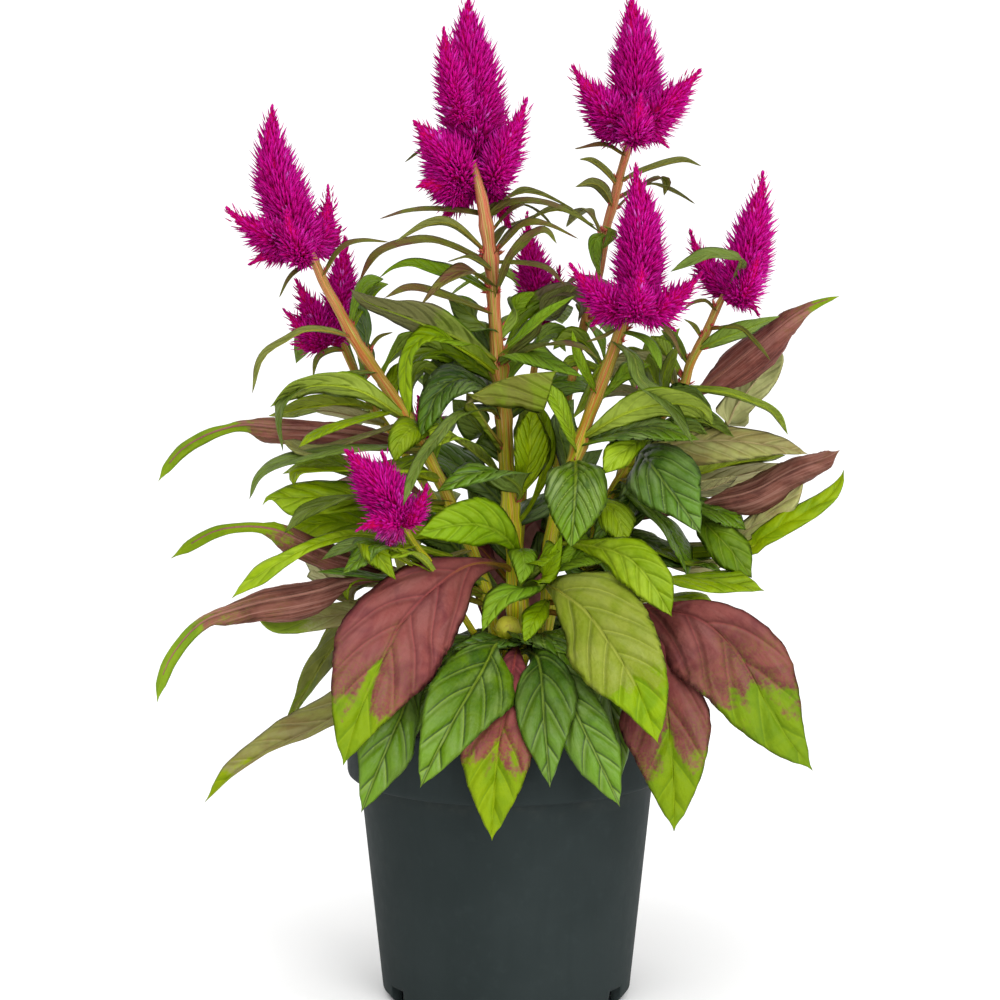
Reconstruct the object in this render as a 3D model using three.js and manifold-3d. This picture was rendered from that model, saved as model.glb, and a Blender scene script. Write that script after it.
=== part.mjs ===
// Plume celosia in a round nursery pot.
// Millimetres, +Z up, pot axis on the origin, foot on z = 0, front towards -Y.
import * as THREE from 'three';
import { mergeVertices } from 'three/addons/utils/BufferGeometryUtils.js';
import Module from 'manifold-3d';

const wasm = await Module();
wasm.setup();
const { Manifold, Mesh } = wasm;

// ---------------------------------------------------------------- dimensions
const RIM_R = 65.5;          // outer radius of the rim band
const POT_H = 118.5;          // overall pot height
const BAND_LOW = 92.5;        // lower edge of the rim band
const BODY_TOP_R = 60.1;     // body radius just under the band
const BODY_LOW_R = 51.1;     // body radius above the shoulder
const FOOT_R = 48.4;         // outer radius of the foot ring
const WALL = 1.3;            // moulded wall thickness
const FLOOR_Z = 10;          // top of the pot's floor
const FLOOR_T = 1.6;         // floor thickness, the ring stands below it
const NOTCH_H = 8;           // drainage notches in the foot ring
const NOTCH_AT = 0.52;        // angle of the first notch from +X
const SOIL_TOP = 104.5;        // level of the potting mix at the wall
const SOIL_CROWN = 107.5;      // and at the stems
const GAP = 0.32;            // clearance kept between neighbouring pieces
const BLADE_T = 0.8;         // thickness of a leaf blade
const TRIM = 0.1;             // facets smaller than this are merged
const POT_SEG = 32;

// ---------------------------------------------------------------- organ tables
// stems: centre line from the soil upwards and the radius at each point
const STEMS = [
  { name: "main", pts: [[3.1,0.0,94.1],[3.9,-1.0,122.7],[4.3,-2.0,147.8],[4.3,-3.0,168.7],[2.6,-4.0,193.5],[0.2,-4.0,218.1],[-1.0,-4.0,238.5],[-3.0,-4.0,258.8],[-4.7,-3.0,279.0],[-5.9,-3.0,299.1],[-8.2,-6.0,317.5],[-10.2,-8.0,329.6],[-12.2,-9.0,338.1],[-13.0,-9.5,343.7]], r: [3.6,3.4,3.3,3.2,3.0,2.9,2.8,2.6,2.4,2.4,2.4,2.1,1.5,0.5] },
  { name: "left", pts: [[-2.6,4.0,93.2],[-3.5,3.0,126.1],[-5.9,0.0,155.7],[-11.6,-4.0,179.2],[-20.8,-8.0,200.3],[-28.8,-11.0,219.1],[-39.5,-14.0,239.8],[-48.7,-15.0,254.1],[-54.6,-16.0,263.1],[-61.7,-16.0,274.3],[-67.3,-16.0,285.1],[-72.4,-16.0,294.3],[-77.1,-16.0,305.1],[-82.2,-16.0,314.3]], r: [2.0,2.1,2.2,2.2,2.2,2.2,2.3,2.2,2.2,2.1,2.1,1.9,1.6,1.1] },
  { name: "centre_right", pts: [[9.7,-2.0,94.5],[12.9,-3.0,127.3],[15.7,-4.0,152.3],[17.3,-5.0,173.2],[18.4,-7.0,192.0],[22.8,-9.0,209.9],[28.3,-11.0,226.4],[33.1,-12.0,241.2],[38.2,-13.0,255.0],[43.0,-14.0,268.5],[46.1,-14.0,278.1],[49.3,-14.0,286.1],[51.6,-14.0,294.1]], r: [2.5,2.7,2.7,2.7,2.7,2.6,2.6,2.5,2.4,2.2,2.1,1.8,1.1] },
  { name: "right_tall", pts: [[20.2,4.0,196.4],[20.2,10.0,212.0],[22.3,15.0,227.8],[24.4,17.0,239.1],[25.6,18.0,247.6],[28.8,20.0,261.4],[31.7,21.0,274.8],[35.7,21.0,288.7],[38.1,21.0,296.9],[40.5,20.0,313.7],[43.3,19.0,324.0],[46.0,18.0,335.8],[49.2,17.0,347.2],[51.6,17.0,356.1]], r: [1.6,1.7,1.8,1.8,1.7,1.7,1.7,1.6,1.6,1.6,1.6,1.6,1.5,1.1] },
  { name: "right", pts: [[14.7,8.0,92.3],[20.4,10.0,124.6],[26.9,12.0,153.6],[31.0,13.0,174.2],[38.3,13.0,195.0],[48.4,12.0,215.8],[58.5,10.0,232.6],[71.2,6.0,250.3],[74.3,4.0,260.3],[80.5,1.0,273.3],[84.4,0.0,282.7],[87.6,0.0,288.8]], r: [1.8,1.9,1.9,1.9,1.9,1.9,1.8,1.8,1.8,1.7,1.6,1.1] },
  { name: "left_back", pts: [[-15.0,14.0,165.7],[-24.0,20.0,189.7],[-34.8,24.0,209.9],[-48.7,26.0,230.4],[-55.3,26.0,240.8],[-62.2,26.0,254.5],[-66.2,26.0,263.6],[-69.5,26.0,271.8]], r: [1.5,1.6,1.7,1.7,1.7,1.6,1.5,1.1] },
  { name: "back", pts: [[5.2,12.0,178.5],[6.8,24.0,201.6],[8.1,34.0,225.2],[10.2,40.0,245.3],[13.1,43.0,263.7],[14.8,44.0,276.1]], r: [1.4,1.5,1.5,1.5,1.4,1.1] },
  { name: "front_left", pts: [[-0.6,-8.0,128.3],[-11.5,-17.0,150.6],[-21.9,-27.0,169.6],[-30.0,-38.0,184.9],[-36.2,-45.0,194.1],[-40.0,-50.0,201.7],[-42.7,-51.0,207.4]], r: [1.5,1.4,1.3,1.3,1.3,1.3,1.0] },
  { name: "back_left", pts: [[-4.7,18.0,144.1],[-15.1,34.0,174.9],[-22.7,46.0,198.3],[-27.8,52.0,213.5],[-30.7,54.0,223.8]], r: [1.5,1.5,1.5,1.4,1.2] },
  { name: "back_right", pts: [[22.1,18.0,144.1],[34.0,36.0,172.4],[44.2,48.0,198.0],[51.9,55.0,219.0],[55.2,57.0,229.7]], r: [1.5,1.5,1.5,1.4,1.2] },
];
// plumes: each one grows as a cluster of tapered lobes
const PLUMES = [
  { name: "left", lobes: [
    { pts: [[-79.2,-14.0,304.9],[-83.1,-15.0,313.0],[-87.3,-16.0,325.0],[-90.8,-16.0,336.9],[-92.7,-16.0,348.0],[-93.0,-16.0,356.7],[-92.9,-16.0,365.4]], r: [4.9,10.6,11.8,10.6,7.7,4.5,0.8] },
    { pts: [[-83.6,-20.0,310.3],[-90.4,-26.0,313.9],[-97.3,-30.0,317.0],[-103.4,-32.0,320.7],[-107.3,-32.0,323.5],[-110.4,-32.0,326.6]], r: [5.7,8.1,7.3,4.5,2.4,0.8] },
    { pts: [[-85.3,-18.0,306.9],[-91.5,-22.0,307.6],[-96.9,-24.0,306.2],[-101.6,-25.0,303.5]], r: [3.7,5.3,3.7,0.8] },
    { pts: [[-79.4,-10.0,308.6],[-75.4,-8.0,313.2],[-72.7,-6.0,319.5],[-71.4,-6.0,325.5],[-71.4,-6.0,333.1]], r: [5.3,7.7,6.1,3.2,0.8] },
    { pts: [[-77.3,-4.0,306.5],[-72.6,0.0,308.5],[-69.4,2.0,311.6],[-66.6,3.0,316.3]], r: [3.7,5.7,4.1,0.8] },
    { pts: [[-79.6,-22.0,304.9],[-82.2,-32.0,309.7],[-84.2,-38.0,315.7],[-85.6,-40.0,321.4],[-86.3,-41.0,326.2]], r: [4.5,6.9,5.7,3.2,0.8] },
    { pts: [[-82.0,-6.0,307.4],[-86.6,8.0,314.3],[-90.2,16.0,321.8],[-92.0,19.0,328.0]], r: [4.5,7.3,5.3,0.8] },
  ] },
  { name: "main", lobes: [
    { pts: [[-10.7,8.0,330.5],[-11.5,8.0,340.5],[-13.1,7.0,354.6],[-14.3,6.0,368.7],[-14.7,5.0,381.9],[-15.0,5.0,392.7],[-15.4,5.0,401.0],[-15.4,5.0,407.4]], r: [5.7,11.0,13.8,14.2,12.2,8.1,4.1,0.8] },
    { pts: [[-17.8,-8.0,359.5],[-20.1,-12.0,368.4],[-22.4,-14.0,378.7],[-24.0,-14.0,387.4],[-24.8,-14.0,396.0]], r: [5.3,7.3,6.5,4.1,0.8] },
    { pts: [[-17.9,0.0,333.4],[-20.6,-8.0,338.8],[-24.5,-13.0,345.5],[-29.6,-15.0,351.5],[-33.5,-16.0,355.9],[-36.7,-16.0,359.5]], r: [6.1,10.6,11.0,8.1,4.1,0.8] },
    { pts: [[-18.7,-2.0,329.6],[-23.4,-8.0,332.4],[-27.7,-12.0,334.3],[-31.7,-14.0,334.4],[-35.6,-15.0,333.3]], r: [4.9,7.3,7.7,4.9,0.8] },
    { pts: [[-5.8,0.0,333.4],[-3.0,-7.0,340.3],[0.1,-9.0,348.4],[3.7,-10.0,356.4],[6.1,-10.0,362.7],[8.1,-10.0,368.3]], r: [5.7,8.9,8.1,5.3,2.8,0.8] },
    { pts: [[-7.5,12.0,331.8],[-4.3,10.0,326.7],[-1.8,9.0,322.3],[-0.2,8.0,318.8],[1.8,8.0,314.7]], r: [4.5,6.9,6.1,3.7,0.8] },
    { pts: [[-13.5,9.0,332.8],[-17.5,5.0,328.3],[-21.1,3.0,324.4],[-24.0,2.0,321.2],[-26.4,1.0,317.7]], r: [4.5,6.5,5.3,3.2,0.8] },
    { pts: [[-10.8,20.0,331.6],[-7.5,30.0,341.1],[-5.1,34.0,351.1],[-3.5,36.0,361.2],[-2.6,36.0,367.3]], r: [4.9,9.3,7.7,4.1,0.8] },
  ] },
  { name: "right_tall", lobes: [
    { pts: [[50.4,17.0,348.4],[51.6,17.0,357.3],[52.3,17.0,369.4],[52.2,17.0,381.4],[51.8,17.0,391.9],[50.9,17.0,400.7],[50.1,17.0,407.5]], r: [4.9,10.6,12.2,11.0,8.5,4.9,0.8] },
    { pts: [[48.2,12.0,354.4],[42.4,9.0,360.1],[36.7,6.0,366.3],[31.8,5.0,372.3],[29.0,5.0,375.9],[26.2,5.0,380.7]], r: [6.1,9.7,8.5,4.9,2.8,0.8] },
    { pts: [[46.6,14.0,351.0],[41.3,12.0,353.6],[36.5,11.0,356.0],[31.2,11.0,358.8]], r: [3.7,5.7,4.1,0.8] },
    { pts: [[53.8,12.0,354.4],[59.3,9.0,359.3],[65.6,6.0,365.5],[71.1,5.0,371.6],[74.3,5.0,375.1],[77.9,5.0,379.1]], r: [6.1,9.7,8.5,4.9,2.8,0.8] },
    { pts: [[50.9,8.0,350.6],[51.7,-4.0,354.5],[52.2,-10.0,359.6],[52.9,-12.0,366.0],[53.3,-13.0,370.0]], r: [4.5,7.3,6.1,3.2,0.8] },
    { pts: [[52.0,28.0,352.6],[53.1,40.0,358.9],[53.7,45.0,365.6],[54.1,47.0,372.9]], r: [4.5,7.3,5.3,0.8] },
    { pts: [[53.9,14.0,351.8],[57.9,12.0,351.9],[61.9,11.0,350.4],[65.1,11.0,347.6]], r: [3.2,4.9,3.2,0.8] },
  ] },
  { name: "centre_right", lobes: [
    { pts: [[50.1,-14.0,282.5],[52.1,-14.0,291.3],[53.2,-14.0,303.3],[53.1,-14.0,315.3],[52.7,-14.0,326.5],[51.8,-14.0,334.4],[51.4,-14.0,342.0]], r: [4.9,10.6,11.4,10.2,7.3,3.7,0.8] },
    { pts: [[47.5,-20.0,285.5],[41.4,-24.0,287.9],[35.8,-26.0,291.7],[31.0,-27.0,296.2],[28.2,-27.0,299.4],[25.0,-27.0,303.7]], r: [5.7,8.9,7.7,4.9,2.8,0.8] },
    { pts: [[46.8,-18.0,282.9],[41.5,-20.0,282.7],[37.1,-21.0,281.2],[33.2,-21.0,278.0]], r: [3.7,5.3,3.7,0.8] },
    { pts: [[53.9,-20.0,283.9],[59.3,-24.0,285.5],[65.1,-26.0,288.9],[70.2,-27.0,293.0],[73.7,-27.0,296.6],[77.7,-27.0,300.5]], r: [5.7,8.5,7.7,4.9,2.8,0.8] },
    { pts: [[54.8,-18.0,281.3],[59.5,-20.0,280.7],[63.4,-21.0,279.2],[67.4,-21.0,276.5]], r: [3.7,4.9,3.2,0.8] },
    { pts: [[50.6,-24.0,282.8],[51.4,-33.0,287.7],[52.0,-38.0,293.7],[52.7,-40.0,300.2],[53.0,-41.0,305.0]], r: [4.5,7.3,6.1,3.2,0.8] },
    { pts: [[51.2,-4.0,284.7],[52.8,8.0,290.8],[53.8,14.0,297.6],[54.3,17.0,304.6]], r: [4.5,7.3,5.3,0.8] },
  ] },
  { name: "right", lobes: [
    { pts: [[89.2,0.0,285.9],[94.0,0.0,293.2],[97.1,0.0,303.7],[99.4,0.0,315.0],[101.3,0.0,325.0],[102.1,0.0,331.0],[102.8,0.0,338.6]], r: [4.9,10.2,10.6,8.9,5.7,3.2,0.8] },
    { pts: [[89.4,4.0,289.6],[85.5,7.0,293.3],[81.1,9.0,298.8],[77.9,10.0,304.4],[75.8,10.0,308.9],[74.2,10.0,314.2]], r: [4.9,7.7,6.5,4.1,2.4,0.8] },
    { pts: [[91.3,-6.0,287.3],[94.8,-14.0,291.3],[96.9,-18.0,296.5],[99.1,-20.0,303.1],[100.1,-21.0,307.6]], r: [4.5,7.3,6.1,3.2,0.8] },
    { pts: [[91.4,10.0,287.4],[96.8,20.0,293.7],[99.5,25.0,299.8],[101.6,27.0,307.0]], r: [4.5,7.3,5.3,0.8] },
    { pts: [[92.4,0.0,287.5],[96.3,-3.0,286.2],[99.1,-4.0,284.3],[101.5,-4.0,281.1]], r: [3.7,4.9,2.8,0.8] },
  ] },
  { name: "left_back", lobes: [
    { pts: [[-69.9,26.0,265.2],[-68.6,26.0,275.1],[-67.7,26.0,285.0],[-66.9,26.0,295.6],[-66.4,26.0,303.8],[-66.0,26.0,310.4]], r: [4.5,7.3,7.7,5.7,3.2,0.8] },
    { pts: [[-71.9,24.0,266.3],[-76.3,23.0,272.9],[-79.5,22.0,279.6],[-82.2,21.0,285.5],[-85.9,21.0,292.8]], r: [4.9,7.7,7.3,4.5,0.8] },
    { pts: [[-74.7,22.0,266.1],[-79.4,20.0,270.0],[-84.3,19.0,274.2],[-87.5,19.0,277.5],[-90.7,19.0,280.8]], r: [4.5,6.1,4.9,2.8,0.8] },
    { pts: [[-73.8,22.0,264.8],[-78.7,21.0,265.4],[-83.2,20.0,265.9],[-87.6,20.0,266.7]], r: [2.8,4.1,2.8,0.8] },
    { pts: [[-69.8,34.0,267.6],[-68.0,42.0,275.1],[-66.5,46.0,282.2],[-65.2,47.0,289.5]], r: [3.7,6.1,4.5,0.8] },
  ] },
  { name: "back", lobes: [
    { pts: [[13.9,44.0,274.9],[12.7,44.0,284.0],[11.4,44.0,294.0],[9.8,44.0,303.1],[8.9,44.0,309.7],[8.5,44.0,318.0]], r: [3.7,7.7,8.1,5.7,3.2,0.8] },
    { pts: [[15.6,42.0,277.6],[18.8,40.0,284.4],[20.9,39.0,290.3],[22.1,39.0,296.9]], r: [3.2,4.9,2.8,0.8] },
    { pts: [[13.9,45.0,273.1],[17.2,43.0,271.2],[19.7,42.0,270.1],[23.0,42.0,268.4]], r: [2.8,4.5,2.8,0.8] },
    { pts: [[14.0,50.0,275.9],[9.9,58.0,281.8],[7.4,62.0,288.1],[5.7,63.0,295.6]], r: [3.2,5.3,3.7,0.8] },
  ] },
  { name: "front_left", lobes: [
    { pts: [[-41.2,-50.0,203.3],[-45.1,-51.0,210.6],[-49.7,-52.0,217.1],[-54.8,-53.0,224.0],[-59.1,-53.0,229.1],[-63.3,-53.0,233.5]], r: [4.5,8.9,10.2,8.1,4.5,0.8] },
    { pts: [[-42.0,-48.0,206.1],[-43.6,-47.0,213.9],[-45.6,-46.0,221.0],[-47.5,-46.0,226.5],[-49.1,-46.0,231.7]], r: [3.7,6.5,5.3,2.8,0.8] },
    { pts: [[-40.4,-52.0,202.8],[-36.4,-54.0,207.1],[-34.0,-55.0,212.0],[-32.4,-55.0,215.5],[-31.2,-55.0,219.9]], r: [3.2,5.3,4.5,2.8,0.8] },
    { pts: [[-42.7,-54.0,202.7],[-47.3,-58.0,204.5],[-51.9,-60.0,204.8],[-55.0,-61.0,204.2],[-58.5,-61.0,202.6]], r: [3.2,6.1,4.9,2.8,0.8] },
    { pts: [[-42.0,-51.0,201.0],[-44.3,-53.0,198.6],[-45.8,-54.0,196.3],[-47.0,-54.0,192.7]], r: [2.8,4.5,3.2,0.8] },
  ] },
  { name: "back_left", lobes: [
    { pts: [[-30.7,54.0,222.1],[-31.5,54.0,229.3],[-31.5,54.0,236.0],[-30.7,54.0,242.7]], r: [2.8,5.3,4.9,0.8] },
    { pts: [[-31.1,50.0,223.9],[-33.9,48.0,228.4],[-36.0,47.0,232.7],[-36.8,47.0,241.5]], r: [2.4,4.1,3.2,0.8] },
  ] },
  { name: "back_right", lobes: [
    { pts: [[55.2,57.0,227.6],[56.0,57.0,234.8],[56.4,57.0,240.7],[56.0,57.0,248.3]], r: [2.8,5.3,4.9,0.8] },
    { pts: [[55.3,60.0,228.5],[58.8,64.0,232.2],[61.4,66.0,236.2],[63.5,67.0,240.3]], r: [2.4,4.1,3.2,0.8] },
  ] },
];
// leaves: midrib from the stem to the tip, upper-side normal at each point,
// half widths either side of the midrib, fold at the midrib and curl of the margins (radians)
const LEAVES = [
  { name: "leaf_front_left_maroon", stem: "main", kind: "M", own: 1, mid: [[3.75,-2.86,173.57],[-0.3,-8.05,179.24],[-13.85,-26.0,183.27],[-26.43,-42.0,178.32],[-39.99,-57.0,166.95],[-47.19,-68.0,155.45],[-52.85,-76.0,144.31],[-57.01,-81.0,134.62],[-60.41,-85.0,124.77],[-63.5,-87.0,114.12]], up: [[0.45,-0.79,-0.4],[0.76,-0.64,-0.14],[0.76,-0.59,0.29],[0.5,-0.69,0.52],[0.34,-0.76,0.55],[0.23,-0.81,0.55],[0.16,-0.87,0.47],[0.1,-0.92,0.38],[0.06,-0.96,0.26],[0.03,-0.98,0.18]], w: [[1.0,1.09],[1.07,1.08],[1.68,1.61],[11.91,14.27],[17.8,20.12],[21.18,20.8],[16.74,16.37],[12.05,11.35],[6.62,5.84],[0.32,0.32]], fold: 0.21, curl: -0.38 },
  { name: "leaf_front_right_maroon", stem: "centre_right", kind: "M", own: 1, mid: [[16.41,-4.48,160.86],[19.25,-9.65,164.96],[50.15,-30.0,166.5],[64.04,-42.0,167.44],[76.2,-53.0,165.42],[86.45,-61.0,158.5],[94.35,-68.0,148.29],[101.57,-73.0,135.76],[109.22,-77.0,123.46],[119.36,-79.0,110.37]], up: [[-0.56,-0.68,-0.47],[-0.61,-0.78,0.12],[-0.58,-0.79,0.18],[-0.64,-0.73,0.25],[-0.5,-0.77,0.39],[-0.3,-0.85,0.43],[-0.18,-0.91,0.36],[-0.11,-0.95,0.28],[-0.06,-0.98,0.19],[-0.02,-0.99,0.14]], w: [[1.07,1.04],[1.08,1.01],[3.3,1.62],[15.1,3.28],[22.97,8.78],[23.6,14.2],[20.01,17.22],[16.06,14.11],[9.08,7.81],[0.27,0.27]], fold: 0.21, curl: -0.38 },
  { name: "leaf_front_centre_maroon", stem: "main", kind: "M", own: 1, mid: [[4.15,-1.37,138.96],[4.43,-10.63,147.08],[2.93,-42.0,145.63],[0.5,-64.0,134.72],[-3.03,-74.0,120.83],[-4.59,-78.0,106.55],[-5.37,-79.0,93.21],[-5.77,-79.0,82.41]], up: [[-0.05,-0.66,-0.75],[0.72,0.09,0.69],[0.15,-0.23,0.96],[0.12,-0.62,0.77],[0.04,-0.9,0.44],[-0.0,-0.98,0.18],[-0.01,-1.0,0.04],[-0.01,-1.0,0.0]], w: [[1.08,1.07],[0.98,0.98],[5.62,5.63],[12.26,11.85],[15.67,14.14],[11.71,11.35],[5.49,5.56],[0.29,0.27]], fold: 0.21, curl: -0.38 },
  { name: "leaf_lower_right_maroon", stem: "centre_right", kind: "M", own: 1, mid: [[15.62,-4.02,155.4],[19.05,-10.66,160.77],[53.07,-40.0,152.94],[60.38,-58.0,140.32],[63.24,-67.0,127.33],[64.64,-73.0,112.63],[65.44,-75.0,97.88],[65.48,-76.0,85.29]], up: [[-0.54,-0.68,-0.5],[-0.66,-0.7,0.28],[-0.54,-0.68,0.48],[-0.22,-0.71,0.67],[-0.08,-0.88,0.46],[-0.05,-0.96,0.26],[-0.04,-0.99,0.11],[-0.04,-1.0,0.08]], w: [[1.08,1.08],[1.03,0.99],[6.4,6.4],[14.19,12.69],[19.24,16.94],[13.69,13.38],[7.1,7.08],[0.34,0.32]], fold: 0.21, curl: -0.38 },
  { name: "leaf_front_right_olive", stem: "centre_right", kind: "O", own: 1, mid: [[16.67,-4.91,168.52],[15.74,-8.72,171.67],[21.34,-30.0,172.59],[30.96,-48.0,168.12],[38.53,-62.0,160.29],[44.93,-72.0,152.25],[50.59,-79.0,143.32],[54.77,-83.0,133.45],[58.63,-85.0,122.4]], up: [[0.28,-0.65,-0.7],[-0.98,-0.17,0.09],[-0.76,-0.34,0.56],[-0.55,-0.54,0.64],[-0.39,-0.66,0.65],[-0.29,-0.77,0.57],[-0.16,-0.89,0.44],[-0.06,-0.97,0.25],[-0.03,-0.99,0.17]], w: [[1.05,1.08],[1.07,0.98],[5.31,9.26],[13.1,20.66],[17.26,19.67],[16.39,17.18],[11.67,13.31],[5.91,7.86],[0.23,0.29]], fold: 0.21, curl: -0.38 },
  { name: "leaf_front_left_green", stem: "main", kind: "D", own: 1, mid: [[4.07,-2.0,142.27],[2.68,-8.49,147.6],[-3.84,-34.0,152.21],[-7.78,-50.0,147.99],[-12.45,-64.0,141.91],[-18.22,-76.0,134.39],[-23.59,-84.0,125.75],[-28.98,-88.0,115.93],[-33.61,-90.0,106.08]], up: [[0.28,-0.65,-0.71],[0.87,-0.33,-0.37],[0.78,-0.19,0.59],[0.4,-0.4,0.82],[0.37,-0.54,0.75],[0.29,-0.69,0.66],[0.16,-0.87,0.47],[0.05,-0.96,0.27],[0.01,-0.98,0.2]], w: [[1.04,1.08],[1.08,0.99],[2.09,2.02],[11.19,15.06],[14.99,17.31],[14.9,13.66],[10.96,9.78],[5.84,5.46],[0.33,0.23]], fold: 0.21, curl: -0.38 },
  { name: "leaf_front_centre_green", stem: "main", kind: "D", own: 1, mid: [[4.0,-1.73,137.07],[6.42,-9.49,144.41],[11.73,-36.0,147.72],[13.57,-52.0,143.55],[14.22,-66.0,135.92],[14.91,-76.0,126.04],[16.04,-81.0,114.39],[16.82,-82.0,104.27]], up: [[-0.33,-0.7,-0.63],[-0.87,-0.32,-0.39],[-0.63,-0.12,0.77],[-0.14,-0.37,0.92],[-0.06,-0.59,0.81],[-0.04,-0.82,0.57],[-0.02,-0.96,0.26],[-0.0,-1.0,0.1]], w: [[1.09,1.03],[1.02,0.98],[3.23,3.69],[7.92,11.12],[11.45,13.79],[9.8,10.17],[4.77,4.35],[0.34,0.25]], fold: 0.21, curl: -0.38 },
  { name: "leaf_lower_centre_green", stem: "centre_right", kind: "D", own: 1, mid: [[14.09,-3.56,140.38],[14.99,-12.57,148.0],[21.14,-48.0,141.95],[24.84,-64.0,135.52],[29.39,-73.0,127.0],[35.15,-79.0,115.94],[40.2,-81.0,105.64],[44.13,-81.0,96.47]], up: [[-0.15,-0.65,-0.75],[-0.73,-0.09,0.68],[-0.39,-0.29,0.88],[-0.3,-0.56,0.77],[-0.19,-0.82,0.53],[-0.08,-0.95,0.32],[0.02,-0.99,0.11],[0.06,-1.0,0.02]], w: [[1.09,1.05],[0.98,1.08],[5.59,5.6],[8.66,9.46],[10.22,10.99],[9.36,9.86],[5.13,5.11],[0.32,0.24]], fold: 0.21, curl: -0.38 },
  { name: "leaf_lower_left_green", stem: "main", kind: "D", own: 1, mid: [[3.75,-0.98,128.03],[-0.76,-9.34,137.62],[-32.32,-50.0,143.96],[-41.77,-70.0,129.56],[-46.7,-77.0,119.09],[-52.1,-81.0,106.43],[-56.83,-81.0,94.07]], up: [[0.37,-0.78,-0.51],[0.8,-0.6,-0.03],[0.72,-0.54,0.44],[0.26,-0.73,0.64],[0.11,-0.92,0.39],[0.01,-0.99,0.16],[-0.05,-1.0,0.02]], w: [[1.01,1.0],[0.97,1.08],[4.77,4.81],[8.66,7.93],[11.78,10.64],[5.93,5.96],[0.25,0.31]], fold: 0.21, curl: -0.38 },
  { name: "leaf_low_left_olive", stem: "left", kind: "L", own: 1, mid: [[-4.29,2.25,135.22],[-5.47,-1.16,138.36],[-34.96,-18.0,139.33],[-48.84,-28.0,132.28],[-64.72,-34.0,124.92],[-79.35,-39.0,117.8],[-94.36,-43.0,111.33],[-108.2,-46.0,102.62],[-120.61,-47.0,90.22]], up: [[-0.61,0.64,0.47],[0.07,0.09,0.99],[-0.09,-0.09,0.99],[-0.3,-0.26,0.92],[-0.31,-0.32,0.9],[-0.31,-0.33,0.89],[-0.36,-0.36,0.86],[-0.54,-0.4,0.74],[-0.63,-0.41,0.66]], w: [[1.08,1.13],[5.35,5.36],[13.12,13.14],[13.3,13.3],[14.88,14.03],[12.94,10.47],[9.42,7.02],[6.25,4.69],[0.59,0.47]], fold: 0.45, curl: -0.38 },
  { name: "leaf_small_front_a", stem: "main", kind: "G", own: 0, mid: [[4.66,-2.39,162.67],[8.97,-8.93,169.69],[5.35,-30.0,172.59],[-2.64,-38.0,167.13],[-10.18,-43.0,156.74]], up: [[-0.91,-0.24,0.34],[-0.34,0.31,0.89],[0.08,-0.12,0.99],[-0.18,-0.67,0.72],[-0.29,-0.76,0.58]], w: [[2.35,2.34],[1.2,1.12],[5.47,12.14],[7.52,8.04],[0.35,0.33]], fold: 0.21, curl: -0.38 },
  { name: "leaf_small_front_b", stem: "centre_right", kind: "G", own: 0, mid: [[16.08,-4.07,160.86],[16.39,-9.67,165.62],[11.74,-32.0,163.62],[8.91,-38.0,158.63],[6.91,-40.0,153.75]], up: [[0.46,0.59,0.66],[0.31,0.05,0.95],[0.24,-0.29,0.93],[0.05,-0.79,0.62],[-0.05,-0.92,0.4]], w: [[1.09,1.15],[1.38,1.41],[5.44,4.97],[3.26,3.3],[0.27,0.25]], fold: 0.21, curl: -0.38 },
  { name: "leaf_small_front_c", stem: "main", kind: "D", own: 0, mid: [[4.28,-2.14,143.15],[4.92,-6.32,147.55],[-2.64,-24.0,151.96],[-12.63,-34.0,153.02],[-21.74,-40.0,150.91]], up: [[-0.95,0.14,0.27],[-0.07,0.39,0.92],[0.22,0.05,0.97],[0.22,-0.32,0.92],[0.09,-0.45,0.89]], w: [[5.39,5.4],[1.59,1.55],[9.95,11.64],[3.98,5.24],[0.3,0.31]], fold: 0.21, curl: -0.38 },
  { name: "leaf_small_front_d", stem: "centre_right", kind: "D", own: 0, mid: [[14.3,-3.1,140.92],[9.49,-7.08,147.1],[10.21,-26.0,152.33],[16.54,-34.0,151.8],[26.02,-40.0,148.89]], up: [[0.83,-0.37,0.41],[0.75,0.18,0.63],[0.27,0.23,0.93],[-0.02,-0.26,0.97],[0.04,-0.39,0.92]], w: [[1.86,1.87],[4.63,4.71],[10.6,10.56],[5.13,5.23],[0.42,0.44]], fold: 0.21, curl: -0.38 },
  { name: "leaf_centre_heart", stem: "centre_right", kind: "D", own: 1, mid: [[27.68,-10.38,223.42],[27.64,-28.0,219.96],[27.11,-36.0,212.29],[26.25,-41.0,202.64],[25.47,-42.0,192.38]], up: [[-0.05,-0.19,0.98],[-0.0,-0.4,0.92],[0.01,-0.8,0.6],[-0.01,-0.96,0.29],[-0.02,-0.99,0.1]], w: [[1.04,1.05],[11.21,11.65],[12.34,13.09],[7.97,8.4],[0.32,0.34]], fold: 0.21, curl: -0.38 },
  { name: "leaf_right_heart", stem: "right", kind: "D", own: 1, mid: [[51.18,11.66,221.81],[52.87,4.08,225.4],[57.98,-26.0,222.89],[63.58,-36.0,216.3],[69.66,-43.0,208.55],[76.75,-45.0,198.47]], up: [[-0.58,-0.45,-0.68],[-0.88,-0.14,0.46],[-0.59,-0.33,0.74],[-0.37,-0.73,0.57],[-0.18,-0.93,0.33],[-0.05,-0.99,0.16]], w: [[1.03,1.06],[1.02,1.02],[13.85,12.58],[12.13,14.99],[5.81,8.79],[0.26,0.25]], fold: 0.21, curl: -0.38 },
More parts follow.
